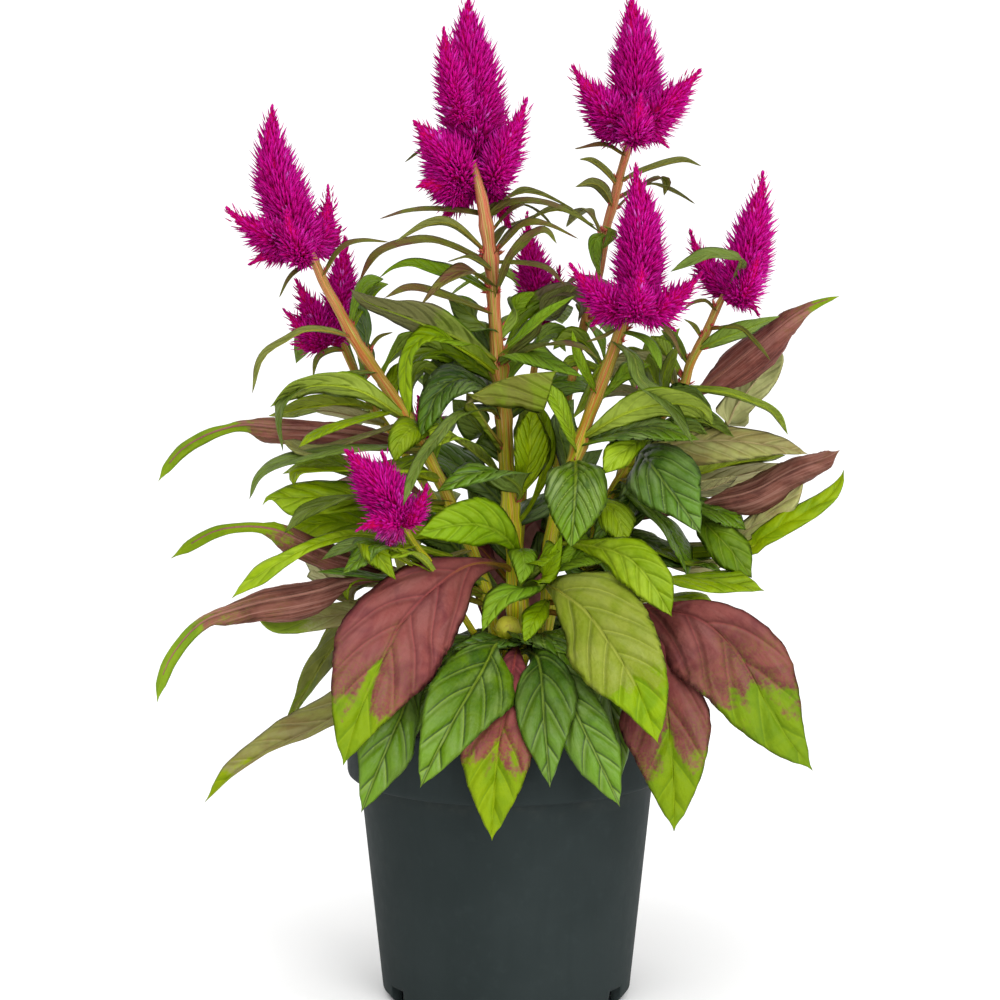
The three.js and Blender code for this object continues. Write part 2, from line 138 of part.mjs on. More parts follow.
  { name: "leaf_mid_right_a", stem: "centre_right", kind: "G", own: 1, mid: [[17.92,-6.37,184.81],[23.53,-13.76,189.58],[39.49,-36.0,190.99],[49.45,-48.0,188.16],[57.12,-55.0,180.16],[64.98,-57.0,167.35]], up: [[-0.66,-0.69,-0.29],[-0.81,-0.58,0.05],[-0.76,-0.59,0.29],[-0.49,-0.73,0.48],[-0.14,-0.94,0.3],[-0.02,-0.99,0.14]], w: [[1.08,1.04],[0.97,1.04],[5.66,4.77],[9.55,9.19],[7.56,8.75],[0.33,0.28]], fold: 0.21, curl: -0.38 },
  { name: "leaf_mid_right_b", stem: "right", kind: "G", own: 0, mid: [[38.66,13.01,196.67],[58.45,5.84,201.68],[74.53,0.0,200.32],[82.77,-14.0,195.14],[90.54,-20.0,187.15],[98.48,-23.0,177.07]], up: [[-0.26,-0.04,0.97],[-0.14,-0.1,0.98],[0.2,-0.07,0.98],[0.41,-0.25,0.88],[0.58,-0.41,0.71],[0.64,-0.43,0.63]], w: [[4.88,4.9],[3.62,3.66],[4.93,4.86],[14.22,14.29],[16.65,15.72],[0.56,0.55]], fold: 0.21, curl: -0.38 },
  { name: "leaf_mid_right_c", stem: "right", kind: "G", own: 1, mid: [[28.82,12.48,164.41],[42.79,1.29,173.14],[54.08,-8.0,174.49],[69.64,-22.0,176.9],[83.14,-32.0,177.8],[93.62,-37.0,176.64],[102.66,-39.0,174.57]], up: [[-0.19,0.44,0.88],[-0.15,0.28,0.95],[-0.03,0.12,0.99],[-0.04,0.09,1.0],[-0.04,-0.08,1.0],[0.05,-0.31,0.95],[0.12,-0.4,0.91]], w: [[2.85,2.85],[5.37,5.43],[6.76,6.79],[17.8,17.84],[19.65,15.51],[8.45,7.53],[0.44,0.46]], fold: 0.21, curl: -0.38 },
  { name: "leaf_mid_left_bright", stem: "main", kind: "G", own: 1, mid: [[3.65,-3.54,176.27],[5.63,-8.66,181.7],[-0.65,-32.0,195.18],[-10.54,-44.0,201.91],[-22.29,-52.0,202.77],[-35.19,-56.0,199.83]], up: [[-0.32,-0.75,-0.59],[0.26,-0.56,-0.79],[0.65,-0.58,-0.49],[0.67,-0.74,-0.02],[0.41,-0.89,0.2],[0.24,-0.95,0.21]], w: [[1.08,1.09],[1.01,1.08],[5.6,3.99],[11.08,8.71],[7.89,6.71],[0.32,0.32]], fold: 0.21, curl: -0.38 },
  { name: "leaf_centre_upright", stem: "main", kind: "G", own: 0, mid: [[1.28,-4.34,203.31],[6.21,-5.13,208.83],[9.43,-12.0,222.52],[9.4,-14.0,233.34],[10.6,-13.0,245.35]], up: [[-0.41,-0.88,0.24],[0.22,-0.87,-0.44],[0.74,-0.6,-0.31],[0.55,-0.83,-0.06],[0.44,-0.9,0.03]], w: [[1.11,1.1],[1.16,1.17],[10.95,10.14],[8.61,8.13],[0.3,0.35]], fold: 0.21, curl: -0.38 },
  { name: "leaf_centre_dark", stem: "main", kind: "D", own: 0, mid: [[1.6,-4.09,203.17],[5.52,-8.43,209.96],[-0.24,-24.0,219.38],[-10.58,-33.0,221.48],[-19.27,-38.0,219.0],[-27.56,-40.0,214.5]], up: [[-0.9,-0.31,0.32],[-0.81,0.42,0.42],[0.17,0.32,0.93],[0.15,-0.23,0.96],[-0.16,-0.47,0.87],[-0.3,-0.53,0.79]], w: [[2.25,2.25],[1.56,1.54],[13.3,10.88],[9.68,10.56],[5.76,5.77],[0.4,0.4]], fold: 0.21, curl: -0.38 },
  { name: "leaf_centre_folded", stem: "main", kind: "P", own: 1, mid: [[-0.03,-3.97,226.36],[-2.27,-7.85,230.0],[-9.83,-20.0,242.62],[-13.76,-28.0,250.46],[-8.18,-33.0,255.87],[1.7,-36.0,259.81],[11.17,-37.0,261.52],[19.85,-37.0,262.31]], up: [[0.9,-0.14,0.41],[0.91,-0.17,0.38],[0.92,-0.15,0.37],[0.91,0.34,0.22],[-0.62,-0.46,0.64],[-0.34,-0.6,0.73],[-0.14,-0.63,0.76],[-0.07,-0.64,0.77]], w: [[3.38,3.47],[3.1,3.1],[3.07,3.11],[2.48,5.79],[10.03,3.38],[13.6,3.5],[17.09,2.25],[1.11,0.65]], fold: -0.87, curl: -0.35 },
  { name: "leaf_c1", stem: "main", kind: "G", own: 0, mid: [[-2.95,-3.59,258.59],[-2.83,-7.3,261.96],[6.54,-18.0,267.71],[18.44,-24.0,263.58],[30.33,-27.0,258.74]], up: [[0.73,0.47,0.49],[-0.09,0.49,0.87],[-0.24,-0.21,0.95],[0.09,-0.57,0.82],[0.16,-0.61,0.77]], w: [[1.38,1.38],[1.6,1.66],[8.93,8.98],[4.68,4.68],[0.32,0.34]], fold: 0.21, curl: -0.38 },
  { name: "leaf_c2", stem: "centre_right", kind: "G", own: 0, mid: [[28.6,-11.36,227.44],[23.7,-22.0,240.86],[19.65,-25.0,249.68],[13.67,-25.0,257.7]], up: [[0.96,-0.24,0.16],[0.91,-0.39,0.13],[0.68,-0.67,0.29],[0.57,-0.71,0.42]], w: [[2.52,2.53],[6.64,6.64],[5.01,5.56],[0.34,0.38]], fold: 0.21, curl: -0.38 },
  { name: "leaf_upper_left_broad", stem: "main", kind: "B", own: 1, mid: [[-3.09,-3.71,260.72],[-5.09,-6.73,263.61],[-20.59,-18.0,274.12],[-36.35,-26.0,281.77],[-50.05,-31.0,287.45],[-61.75,-34.0,294.48]], up: [[-0.84,0.55,-0.01],[-0.31,0.82,0.47],[-0.05,0.73,0.69],[0.13,0.56,0.82],[0.31,0.39,0.87],[0.45,0.25,0.86]], w: [[1.29,1.27],[1.08,1.03],[6.4,6.44],[12.58,13.34],[12.97,12.97],[1.41,1.42]], fold: 0.21, curl: -0.38 },
  { name: "leaf_arch_left", stem: "left", kind: "G", own: 0, mid: [[-40.17,-14.47,240.22],[-56.32,-26.0,252.61],[-70.0,-31.0,256.82],[-81.75,-34.0,255.19],[-93.57,-36.0,247.87]], up: [[-0.35,0.87,0.36],[-0.11,0.8,0.59],[-0.08,0.52,0.85],[-0.4,0.4,0.82],[-0.53,0.37,0.76]], w: [[1.33,1.34],[4.96,5.0],[11.04,10.11],[11.14,11.17],[0.73,0.72]], fold: 0.21, curl: -0.38 },
  { name: "leaf_l1", stem: "left", kind: "K", own: 0, mid: [[-52.0,-15.82,260.1],[-64.93,-18.05,259.09],[-75.27,-20.0,254.69],[-87.1,-38.0,251.71],[-89.77,-41.0,243.34],[-88.24,-42.0,230.75]], up: [[-0.04,-0.23,0.97],[-0.18,-0.23,0.96],[-0.32,0.0,0.95],[-0.5,-0.12,0.86],[-0.83,-0.53,0.15],[-0.82,-0.56,-0.06]], w: [[2.88,2.8],[2.89,2.87],[4.55,4.55],[5.97,6.02],[2.86,2.87],[0.39,0.44]], fold: 0.21, curl: -0.38 },
  { name: "leaf_l2", stem: "left_back", kind: "G", own: 0, mid: [[-54.74,25.72,239.51],[-65.89,14.0,243.16],[-81.92,8.0,242.28],[-96.82,5.0,238.98]], up: [[-0.54,0.67,0.5],[-0.37,0.67,0.65],[-0.26,0.52,0.81],[-0.28,0.47,0.84]], w: [[1.0,1.05],[3.63,3.59],[9.38,8.41],[0.61,0.59]], fold: 0.21, curl: -0.38 },
  { name: "leaf_l3", stem: "left_back", kind: "L", own: 0, mid: [[-49.68,26.07,232.52],[-56.74,20.0,235.8],[-70.07,16.0,239.61],[-81.77,13.0,240.82]], up: [[-0.25,0.67,0.7],[-0.04,0.63,0.78],[0.06,0.44,0.89],[-0.0,0.38,0.93]], w: [[1.18,1.14],[3.57,4.34],[7.38,7.41],[0.86,0.89]], fold: 0.21, curl: -0.38 },
  { name: "leaf_arch_vertical", stem: "main", kind: "G", own: 0, mid: [[-2.77,-3.84,256.62],[-14.6,-20.0,268.33],[-24.44,-28.0,274.42],[-33.85,-33.0,274.96],[-39.33,-36.0,268.15],[-40.14,-37.0,256.75],[-38.21,-37.0,243.62]], up: [[0.08,0.55,0.83],[0.28,0.39,0.88],[0.38,-0.1,0.92],[-0.16,-0.4,0.9],[-0.63,-0.68,0.37],[-0.6,-0.8,0.0],[-0.54,-0.84,-0.08]], w: [[1.25,1.26],[6.91,6.98],[14.62,14.61],[5.92,5.91],[3.92,3.93],[3.64,3.62],[0.25,0.27]], fold: 0.21, curl: -0.38 },
  { name: "leaf_c3", stem: "main", kind: "D", own: 0, mid: [[-1.67,-3.9,246.48],[-16.66,-14.0,256.38],[-26.61,-19.0,252.55],[-31.37,-22.0,243.28],[-34.57,-23.0,233.75]], up: [[0.56,-0.02,0.83],[0.36,-0.23,0.9],[-0.31,-0.62,0.72],[-0.54,-0.75,0.39],[-0.6,-0.75,0.28]], w: [[4.55,4.45],[12.06,13.04],[8.29,8.85],[5.65,6.17],[0.36,0.3]], fold: 0.21, curl: -0.38 },
  { name: "leaf_c4", stem: "left", kind: "G", own: 0, mid: [[-35.93,-13.26,233.44],[-34.3,-14.69,237.48],[-38.9,-25.0,237.24],[-43.18,-30.0,232.29],[-44.35,-32.0,225.35]], up: [[-0.45,0.77,0.45],[0.58,0.11,0.81],[0.6,-0.55,0.58],[0.42,-0.85,0.31],[0.38,-0.9,0.2]], w: [[1.23,1.3],[5.4,5.42],[6.41,6.45],[4.92,5.42],[0.27,0.28]], fold: 0.21, curl: -0.38 },
  { name: "leaf_c5", stem: "main", kind: "Y", own: 0, mid: [[0.57,-3.96,213.65],[-4.73,-8.41,219.3],[-14.63,-22.0,229.99],[-21.72,-29.0,235.36],[-29.22,-33.0,231.5]], up: [[0.77,-0.14,0.62],[0.38,0.43,0.82],[0.33,0.39,0.86],[0.23,-0.17,0.96],[-0.19,-0.47,0.86]], w: [[3.58,3.55],[2.31,2.28],[4.16,8.26],[19.13,5.38],[0.39,0.35]], fold: 0.21, curl: -0.38 },
  { name: "leaf_c6", stem: "main", kind: "K", own: 0, mid: [[-1.0,-4.34,238.63],[-8.08,-9.5,244.74],[-20.09,-32.0,243.77],[-27.45,-44.0,236.99],[-33.53,-56.0,229.93],[-37.19,-68.0,222.99],[-40.24,-72.0,213.78]], up: [[0.75,-0.36,0.56],[0.17,0.07,0.98],[-0.09,-0.17,0.98],[-0.22,-0.39,0.89],[-0.26,-0.41,0.88],[-0.33,-0.6,0.73],[-0.45,-0.76,0.48]], w: [[1.89,1.98],[5.4,5.41],[3.18,3.16],[3.42,3.42],[3.14,3.08],[2.45,2.34],[0.32,0.32]], fold: 0.21, curl: -0.38 },
  { name: "leaf_r1", stem: "centre_right", kind: "K", own: 0, mid: [[43.42,-14.1,271.52],[50.21,-25.0,266.9],[52.82,-31.0,258.82],[59.4,-36.0,253.05],[66.78,-40.0,245.2],[73.47,-42.0,233.93]], up: [[0.39,-0.15,0.91],[0.49,-0.33,0.81],[0.55,-0.43,0.71],[0.5,-0.39,0.77],[0.64,-0.45,0.62],[0.72,-0.47,0.51]], w: [[2.34,2.36],[4.52,4.48],[5.02,5.05],[6.66,6.63],[4.71,4.72],[0.5,0.49]], fold: 0.21, curl: -0.38 },
  { name: "leaf_r2", stem: "centre_right", kind: "G", own: 0, mid: [[45.21,-13.89,275.98],[55.16,-19.0,273.43],[59.5,-21.0,268.04],[61.5,-22.0,260.55]], up: [[0.08,-0.32,0.94],[0.27,-0.43,0.86],[0.65,-0.61,0.46],[0.72,-0.64,0.28]], w: [[1.35,1.4],[3.07,3.04],[3.25,3.2],[0.42,0.33]], fold: 0.21, curl: -0.38 },
  { name: "leaf_r3", stem: "right_tall", kind: "G", own: 0, mid: [[32.19,21.43,276.35],[38.01,12.0,270.86],[40.03,10.0,260.45]], up: [[0.38,-0.28,0.88],[0.61,-0.47,0.64],[0.86,-0.44,0.25]], w: [[1.22,1.24],[3.52,3.49],[0.49,0.51]], fold: 0.21, curl: -0.38 },
  { name: "leaf_right_arch", stem: "centre_right", kind: "G", own: 1, mid: [[30.07,-11.38,231.79],[44.73,-26.0,242.99],[56.77,-33.0,248.69],[69.21,-38.0,249.72],[77.76,-41.0,247.32],[81.3,-42.0,241.09]], up: [[0.55,0.78,0.3],[0.37,0.81,0.45],[0.11,0.64,0.76],[0.25,0.51,0.82],[0.62,0.38,0.69],[0.85,0.31,0.43]], w: [[0.89,0.86],[4.73,5.13],[9.27,10.56],[11.86,12.68],[8.42,9.68],[0.67,0.74]], fold: 0.21, curl: -0.38 },
  { name: "leaf_r4", stem: "centre_right", kind: "D", own: 0, mid: [[29.34,-11.24,229.5],[47.4,-18.0,235.9],[61.24,-22.0,237.64],[77.09,-25.0,233.22]], up: [[-0.38,-0.16,0.91],[-0.32,-0.24,0.92],[-0.02,-0.41,0.91],[0.16,-0.47,0.87]], w: [[2.63,2.64],[11.43,10.2],[8.99,8.24],[0.37,0.38]], fold: 0.21, curl: -0.38 },
  { name: "leaf_r5", stem: "right", kind: "G", own: 0, mid: [[71.03,5.9,250.67],[87.35,-3.0,250.18],[98.42,-7.0,247.03],[107.59,-9.0,242.41],[113.26,-10.0,233.21]], up: [[0.35,0.61,0.71],[0.36,0.55,0.75],[0.43,0.44,0.79],[0.67,0.36,0.64],[0.82,0.34,0.47]], w: [[1.49,1.41],[3.22,3.99],[4.42,4.37],[5.04,5.0],[0.71,0.64]], fold: 0.21, curl: -0.38 },
  { name: "leaf_r6", stem: "right", kind: "G", own: 0, mid: [[77.62,2.18,266.63],[86.59,-6.0,272.01],[94.76,-10.0,275.67],[101.4,-12.0,279.1],[109.31,-13.0,281.62]], up: [[0.38,0.76,0.52],[0.24,0.77,0.59],[-0.07,0.69,0.72],[-0.26,0.44,0.86],[-0.25,0.3,0.92]], w: [[0.9,1.0],[3.9,3.85],[5.71,5.72],[5.98,5.98],[1.11,1.09]], fold: 0.21, curl: -0.38 },
  { name: "leaf_r7", stem: "right", kind: "T", own: 0, mid: [[81.78,0.96,274.8],[92.38,-16.0,277.52],[98.43,-22.0,272.96],[105.14,-24.0,264.78]], up: [[0.74,0.53,0.42],[0.72,0.48,0.5],[0.76,0.32,0.56],[0.77,0.33,0.55]], w: [[0.58,0.57],[1.37,1.34],[3.07,3.07],[0.53,0.57]], fold: 0.21, curl: -0.38 },
  { name: "leaf_r8", stem: "right", kind: "G", own: 0, mid: [[64.66,8.72,241.04],[63.55,-2.0,254.53],[65.84,-4.0,262.07],[69.37,-5.0,269.07]], up: [[0.85,0.37,0.36],[0.88,0.43,0.21],[0.89,0.35,-0.29],[0.87,0.27,-0.4]], w: [[1.66,1.64],[4.41,4.44],[5.64,5.65],[0.64,0.59]], fold: 0.21, curl: -0.38 },
  { name: "leaf_r9", stem: "back_right", kind: "G", own: 0, mid: [[54.42,56.72,226.04],[59.6,44.0,260.7],[65.3,42.0,264.26],[71.79,40.0,271.13]], up: [[0.66,0.73,0.17],[0.57,0.81,0.15],[-0.04,0.92,0.39],[0.02,0.97,0.26]], w: [[1.05,1.08],[3.76,3.77],[4.18,4.21],[0.26,0.27]], fold: 0.21, curl: -0.38 },
  { name: "leaf_r10", stem: "centre_right", kind: "G", own: 0, mid: [[29.49,-11.67,230.19],[43.0,-10.58,233.5],[54.1,-10.0,232.4],[49.36,-20.0,230.12],[44.03,-25.0,226.78],[38.4,-28.0,219.96]], up: [[-0.14,-0.6,0.79],[-0.04,-0.53,0.85],[0.36,-0.09,0.93],[0.44,-0.56,0.7],[0.18,-0.86,0.48],[0.14,-0.94,0.3]], w: [[1.38,1.46],[1.58,1.62],[2.76,2.8],[4.59,4.68],[6.05,6.01],[0.28,0.28]], fold: 0.21, curl: -0.38 },
  { name: "leaf_r11", stem: "centre_right", kind: "G", own: 0, mid: [[20.89,-8.56,203.57],[26.85,-7.01,205.82],[40.37,-16.0,205.23],[44.64,-22.0,199.66],[47.43,-24.0,190.24]], up: [[0.12,-0.94,0.32],[-0.27,-0.52,0.81],[-0.04,-0.42,0.91],[0.32,-0.76,0.56],[0.47,-0.82,0.31]], w: [[1.06,1.02],[1.42,1.51],[5.51,5.55],[8.43,8.45],[0.35,0.26]], fold: 0.21, curl: -0.38 },
  { name: "leaf_r12", stem: "right", kind: "D", own: 0, mid: [[58.12,10.03,232.49],[74.26,0.0,237.99],[83.02,-3.0,236.75],[92.65,-5.0,230.5]], up: [[0.34,0.81,0.48],[0.29,0.75,0.59],[0.44,0.53,0.73],[0.54,0.48,0.68]], w: [[1.03,1.03],[5.15,5.24],[8.56,8.61],[0.48,0.55]], fold: 0.21, curl: -0.38 },
  { name: "leaf_r13", stem: "centre_right", kind: "G", own: 0, mid: [[17.32,-5.26,179.24],[16.42,-10.18,181.88],[23.88,-20.0,183.07],[33.4,-25.0,186.75],[42.13,-28.0,185.22]], up: [[0.32,0.4,0.86],[-0.15,0.18,0.97],[-0.44,-0.21,0.87],[-0.35,-0.61,0.71],[-0.13,-0.72,0.68]], w: [[1.41,1.43],[5.34,5.4],[7.63,7.58],[6.65,6.59],[0.28,0.28]], fold: 0.21, curl: -0.38 },
  { name: "leaf_r14", stem: "centre_right", kind: "D", own: 0, mid: [[17.55,-6.53,186.54],[29.82,-6.0,173.33],[44.1,-4.0,168.04],[60.45,-2.0,164.38]], up: [[0.72,-0.19,0.66],[0.57,-0.2,0.79],[0.3,-0.25,0.92],[0.24,-0.26,0.93]], w: [[2.79,2.82],[9.94,9.92],[9.06,9.0],[0.5,0.5]], fold: 0.21, curl: -0.38 },
  { name: "leaf_r15", stem: "main", kind: "G", own: 0, mid: [[3.87,-3.86,180.72],[4.61,-9.3,186.36],[6.17,-24.0,187.81],[6.94,-30.0,183.13],[5.34,-33.0,175.95]], up: [[0.32,0.7,0.63],[0.03,0.33,0.94],[0.06,-0.15,0.99],[0.1,-0.8,0.6],[0.02,-0.92,0.38]], w: [[1.06,1.09],[1.13,1.24],[6.17,6.11],[4.85,4.87],[0.26,0.28]], fold: 0.21, curl: -0.38 },
  { name: "leaf_left_long", stem: "left", kind: "K", own: 1, mid: [[-33.39,-12.16,228.41],[-59.55,-28.0,230.81],[-76.35,-35.0,229.38],[-89.18,-40.0,226.48],[-97.74,-43.0,220.93],[-101.71,-44.0,211.9]], up: [[0.04,0.08,1.0],[0.02,-0.0,1.0],[-0.08,-0.15,0.99],[-0.28,-0.24,0.93],[-0.65,-0.37,0.66],[-0.81,-0.42,0.4]], w: [[4.55,4.49],[8.97,8.96],[8.15,8.23],[6.67,6.65],[3.84,3.84],[0.5,0.57]], fold: 0.21, curl: -0.38 },
  { name: "leaf_left_broad", stem: "left", kind: "G", own: 1, mid: [[-21.53,-8.03,202.11],[-56.54,-26.0,210.39],[-72.24,-32.0,211.69],[-85.15,-36.0,211.89],[-93.76,-38.0,212.19],[-96.9,-39.0,208.74]], up: [[0.29,-0.13,0.95],[0.27,-0.19,0.95],[0.17,-0.35,0.92],[0.14,-0.41,0.9],[-0.11,-0.48,0.87],[-0.52,-0.57,0.64]], w: [[3.41,3.39],[14.23,14.28],[13.35,13.31],[9.88,12.8],[1.98,1.99],[0.32,0.37]], fold: 0.21, curl: -0.38 },
  { name: "leaf_left_broad_low", stem: "left", kind: "G", own: 0, mid: [[-17.19,-6.72,192.34],[-48.85,-18.0,196.59],[-64.66,-24.0,200.38],[-78.48,-28.0,199.79],[-90.39,-30.0,194.45]], up: [[0.24,-0.34,0.91],[0.27,-0.32,0.91],[0.22,-0.37,0.9],[-0.08,-0.52,0.85],[-0.26,-0.57,0.78]], w: [[2.09,2.01],[11.49,11.56],[15.13,15.08],[9.53,10.36],[0.39,0.38]], fold: 0.21, curl: -0.38 },
  { name: "leaf_left_narrow", stem: "left", kind: "K", own: 0, mid: [[-23.22,-8.57,206.07],[-57.31,-38.0,212.19],[-69.74,-44.0,211.5],[-78.25,-48.0,208.52],[-82.91,-50.0,204.85],[-87.62,-51.0,199.43]], up: [[-0.02,0.23,0.97],[-0.0,0.15,0.99],[-0.11,-0.13,0.99],[-0.35,-0.24,0.91],[-0.6,-0.34,0.73],[-0.67,-0.36,0.65]], w: [[3.43,3.34],[6.7,6.72],[8.29,8.3],[7.54,7.53],[4.68,4.71],[0.57,0.59]], fold: 0.21, curl: -0.38 },
  { name: "leaf_left_low", stem: "left", kind: "G", own: 1, mid: [[-11.8,-3.79,179.38],[-50.5,-30.0,194.86],[-64.06,-40.0,196.87],[-77.52,-49.0,194.32],[-87.25,-52.0,189.63],[-96.29,-53.0,184.21],[-103.82,-53.0,178.62],[-108.59,-53.0,173.82]], up: [[0.15,0.33,0.93],[0.11,0.3,0.95],[-0.09,0.1,0.99],[-0.25,-0.11,0.96],[-0.41,-0.26,0.87],[-0.52,-0.29,0.81],[-0.62,-0.29,0.73],[-0.68,-0.29,0.67]], w: [[5.09,5.03],[8.9,8.96],[13.37,13.42],[8.27,8.26],[7.38,7.4],[10.13,10.2],[4.21,5.23],[0.6,0.6]], fold: 0.21, curl: -0.38 },
  { name: "leaf_l4", stem: "left", kind: "G", own: 0, mid: [[-32.89,-11.79,225.42],[-50.81,-16.0,220.66],[-64.69,-20.0,222.44],[-77.35,-23.0,223.67],[-89.66,-25.0,219.52]], up: [[-0.17,-0.34,0.93],[-0.02,-0.29,0.96],[0.17,-0.24,0.96],[-0.04,-0.33,0.94],[-0.24,-0.38,0.89]], w: [[1.85,1.76],[7.58,7.52],[11.44,11.45],[6.14,7.0],[0.5,0.52]], fold: 0.21, curl: -0.38 },
  { name: "leaf_l5", stem: "front_left", kind: "K", own: 0, mid: [[-32.43,-40.98,189.19],[-53.04,-50.0,196.48],[-63.53,-54.0,194.74],[-72.9,-56.0,189.9]], up: [[0.39,-0.16,0.91],[0.25,-0.18,0.95],[-0.21,-0.33,0.92],[-0.36,-0.38,0.85]], w: [[1.84,1.74],[3.25,3.24],[5.07,5.04],[0.4,0.48]], fold: 0.21, curl: -0.38 },
  { name: "leaf_l6", stem: "front_left", kind: "D", own: 0, mid: [[-30.76,-39.01,185.92],[-52.07,-56.0,195.86],[-58.23,-60.0,190.56],[-64.45,-62.0,185.34]], up: [[0.35,0.11,0.93],[0.18,-0.01,0.98],[-0.44,-0.45,0.78],[-0.48,-0.46,0.75]], w: [[3.35,3.34],[9.1,9.03],[6.32,6.26],[0.41,0.39]], fold: 0.21, curl: -0.38 },
  { name: "leaf_l7", stem: "front_left", kind: "G", own: 0, mid: [[-28.5,-35.37,181.28],[-50.44,-58.0,194.6],[-47.61,-62.0,188.91],[-43.28,-64.0,183.31]], up: [[0.45,0.09,0.89],[0.16,0.17,0.97],[-0.14,-0.91,0.4],[-0.0,-0.94,0.34]], w: [[3.35,3.44],[8.9,8.95],[3.16,3.22],[0.23,0.28]], fold: 0.21, curl: -0.38 },
  { name: "leaf_l8", stem: "front_left", kind: "G", own: 0, mid: [[-36.28,-44.31,193.71],[-42.05,-49.0,193.52],[-51.11,-50.0,189.29]], up: [[0.03,-0.08,1.0],[-0.14,-0.36,0.92],[-0.33,-0.46,0.82]], w: [[2.08,2.08],[3.13,3.11],[0.35,0.45]], fold: 0.21, curl: -0.38 },
  { name: "leaf_l9", stem: "left", kind: "L", own: 0, mid: [[-14.74,-6.22,186.22],[-59.02,-18.0,173.35],[-65.0,-20.0,169.21],[-74.15,-22.0,172.01]], up: [[-0.23,-0.17,0.96],[-0.27,-0.18,0.95],[-0.05,-0.13,0.99],[0.31,-0.12,0.94]], w: [[2.46,2.5],[7.32,7.26],[10.69,10.7],[0.75,0.76]], fold: 0.21, curl: -0.38 },
  { name: "leaf_l10", stem: "left_back", kind: "L", own: 0, mid: [[-15.34,13.58,165.2],[-65.68,-2.0,172.64],[-75.63,-6.0,178.68],[-84.4,-8.0,184.76]], up: [[0.07,0.24,0.97],[0.12,0.29,0.95],[0.31,0.57,0.76],[0.44,0.44,0.78]], w: [[4.47,4.53],[13.38,13.35],[8.4,8.45],[0.75,0.8]], fold: 0.21, curl: -0.38 },
  { name: "leaf_l11", stem: "left", kind: "L", own: 0, mid: [[-39.8,-14.3,239.68],[-70.39,-26.0,230.54],[-82.14,-30.0,229.88],[-89.55,-32.0,234.17]], up: [[-0.19,-0.24,0.95],[-0.14,-0.23,0.96],[0.23,-0.15,0.96],[0.53,-0.2,0.82]], w: [[1.69,1.64],[4.42,4.47],[9.14,9.11],[0.57,0.67]], fold: 0.21, curl: -0.38 },
  { name: "leaf_l12", stem: "left", kind: "G", own: 0, mid: [[-42.7,-14.16,244.28],[-64.19,-30.0,240.71],[-75.85,-36.0,237.11],[-82.47,-39.0,231.93]], up: [[-0.09,-0.09,0.99],[-0.11,-0.15,0.98],[-0.28,-0.32,0.91],[-0.44,-0.4,0.8]], w: [[2.37,2.42],[5.12,5.11],[4.53,4.46],[0.41,0.44]], fold: 0.21, curl: -0.38 },
  { name: "leaf_l13", stem: "left", kind: "G", own: 0, mid: [[-26.84,-10.17,214.73],[-42.42,-30.0,221.85],[-74.06,-34.0,222.43],[-83.49,-36.0,221.91],[-84.27,-37.0,216.45]], up: [[-0.24,0.49,0.84],[0.1,0.11,0.99],[0.04,-0.23,0.97],[-0.44,-0.22,0.87],[-0.86,-0.46,0.21]], w: [[1.07,1.06],[8.98,8.96],[3.35,3.32],[6.15,6.15],[0.46,0.51]], fold: 0.21, curl: -0.38 },
  { name: "leaf_rolled_upper_left", stem: "left", kind: "R", own: 1, mid: [[-30.48,-11.04,222.44],[-33.96,-8.46,225.36],[-46.79,0.0,229.42],[-59.23,-3.0,232.68],[-75.25,-6.0,234.71],[-91.2,-9.0,235.92],[-104.68,-12.0,237.53],[-111.72,-15.0,236.72],[-119.95,-18.0,234.29],[-128.9,-22.0,229.58],[-134.23,-26.0,224.1],[-138.76,-30.0,217.03]], up: [[-0.39,-0.87,0.3],[-0.31,-0.79,0.52],[0.06,-0.69,0.72],[0.22,-0.22,0.95],[0.15,-0.26,0.95],[0.14,-0.25,0.96],[0.09,-0.18,0.98],[-0.13,-0.2,0.97],[-0.28,-0.26,0.92],[-0.43,-0.31,0.85],[-0.57,-0.41,0.71],[-0.62,-0.44,0.65]], w: [[1.35,1.32],[1.31,1.34],[6.65,7.56],[10.41,11.29],[10.78,10.84],[11.28,11.33],[3.06,3.13],[2.37,2.36],[2.94,2.95],[3.17,3.11],[2.56,2.58],[0.21,0.3]], fold: 0.0, curl: [1.22,1.22,2.3,2.3,2.3,2.3,0.91,0.91,0.91,0.91,0.91,0.52] },
  { name: "leaf_rolled_mid_left", stem: "left", kind: "R", own: 1, mid: [[-6.21,-0.65,160.32],[-11.15,-1.38,163.19],[-43.3,-2.0,174.7],[-58.68,-26.0,183.67],[-72.21,-36.0,189.78],[-81.75,-43.0,195.35],[-90.2,-47.0,199.99],[-98.07,-47.0,201.59],[-106.02,-46.0,201.43],[-114.79,-45.0,199.67],[-124.09,-43.0,194.54],[-133.44,-41.0,187.79]], up: [[0.51,-0.23,0.83],[0.35,-0.34,0.87],[0.19,0.38,0.9],[-0.26,0.57,0.78],[0.01,0.56,0.83],[0.14,0.55,0.83],[0.36,0.0,0.93],[0.06,-0.33,0.94],[-0.14,-0.3,0.94],[-0.38,-0.25,0.89],[-0.56,-0.22,0.8],[-0.6,-0.21,0.77]], w: [[1.33,1.27],[1.3,1.27],[7.49,7.51],[12.21,12.23],[12.25,12.26],[12.26,13.17],[7.51,8.5],[2.41,2.45],[2.41,2.37],[2.93,2.91],[2.89,2.86],[0.31,0.29]], fold: 0.0, curl: [1.22,1.22,2.3,2.3,2.3,2.3,2.3,0.91,0.91,0.91,0.91,0.52] },
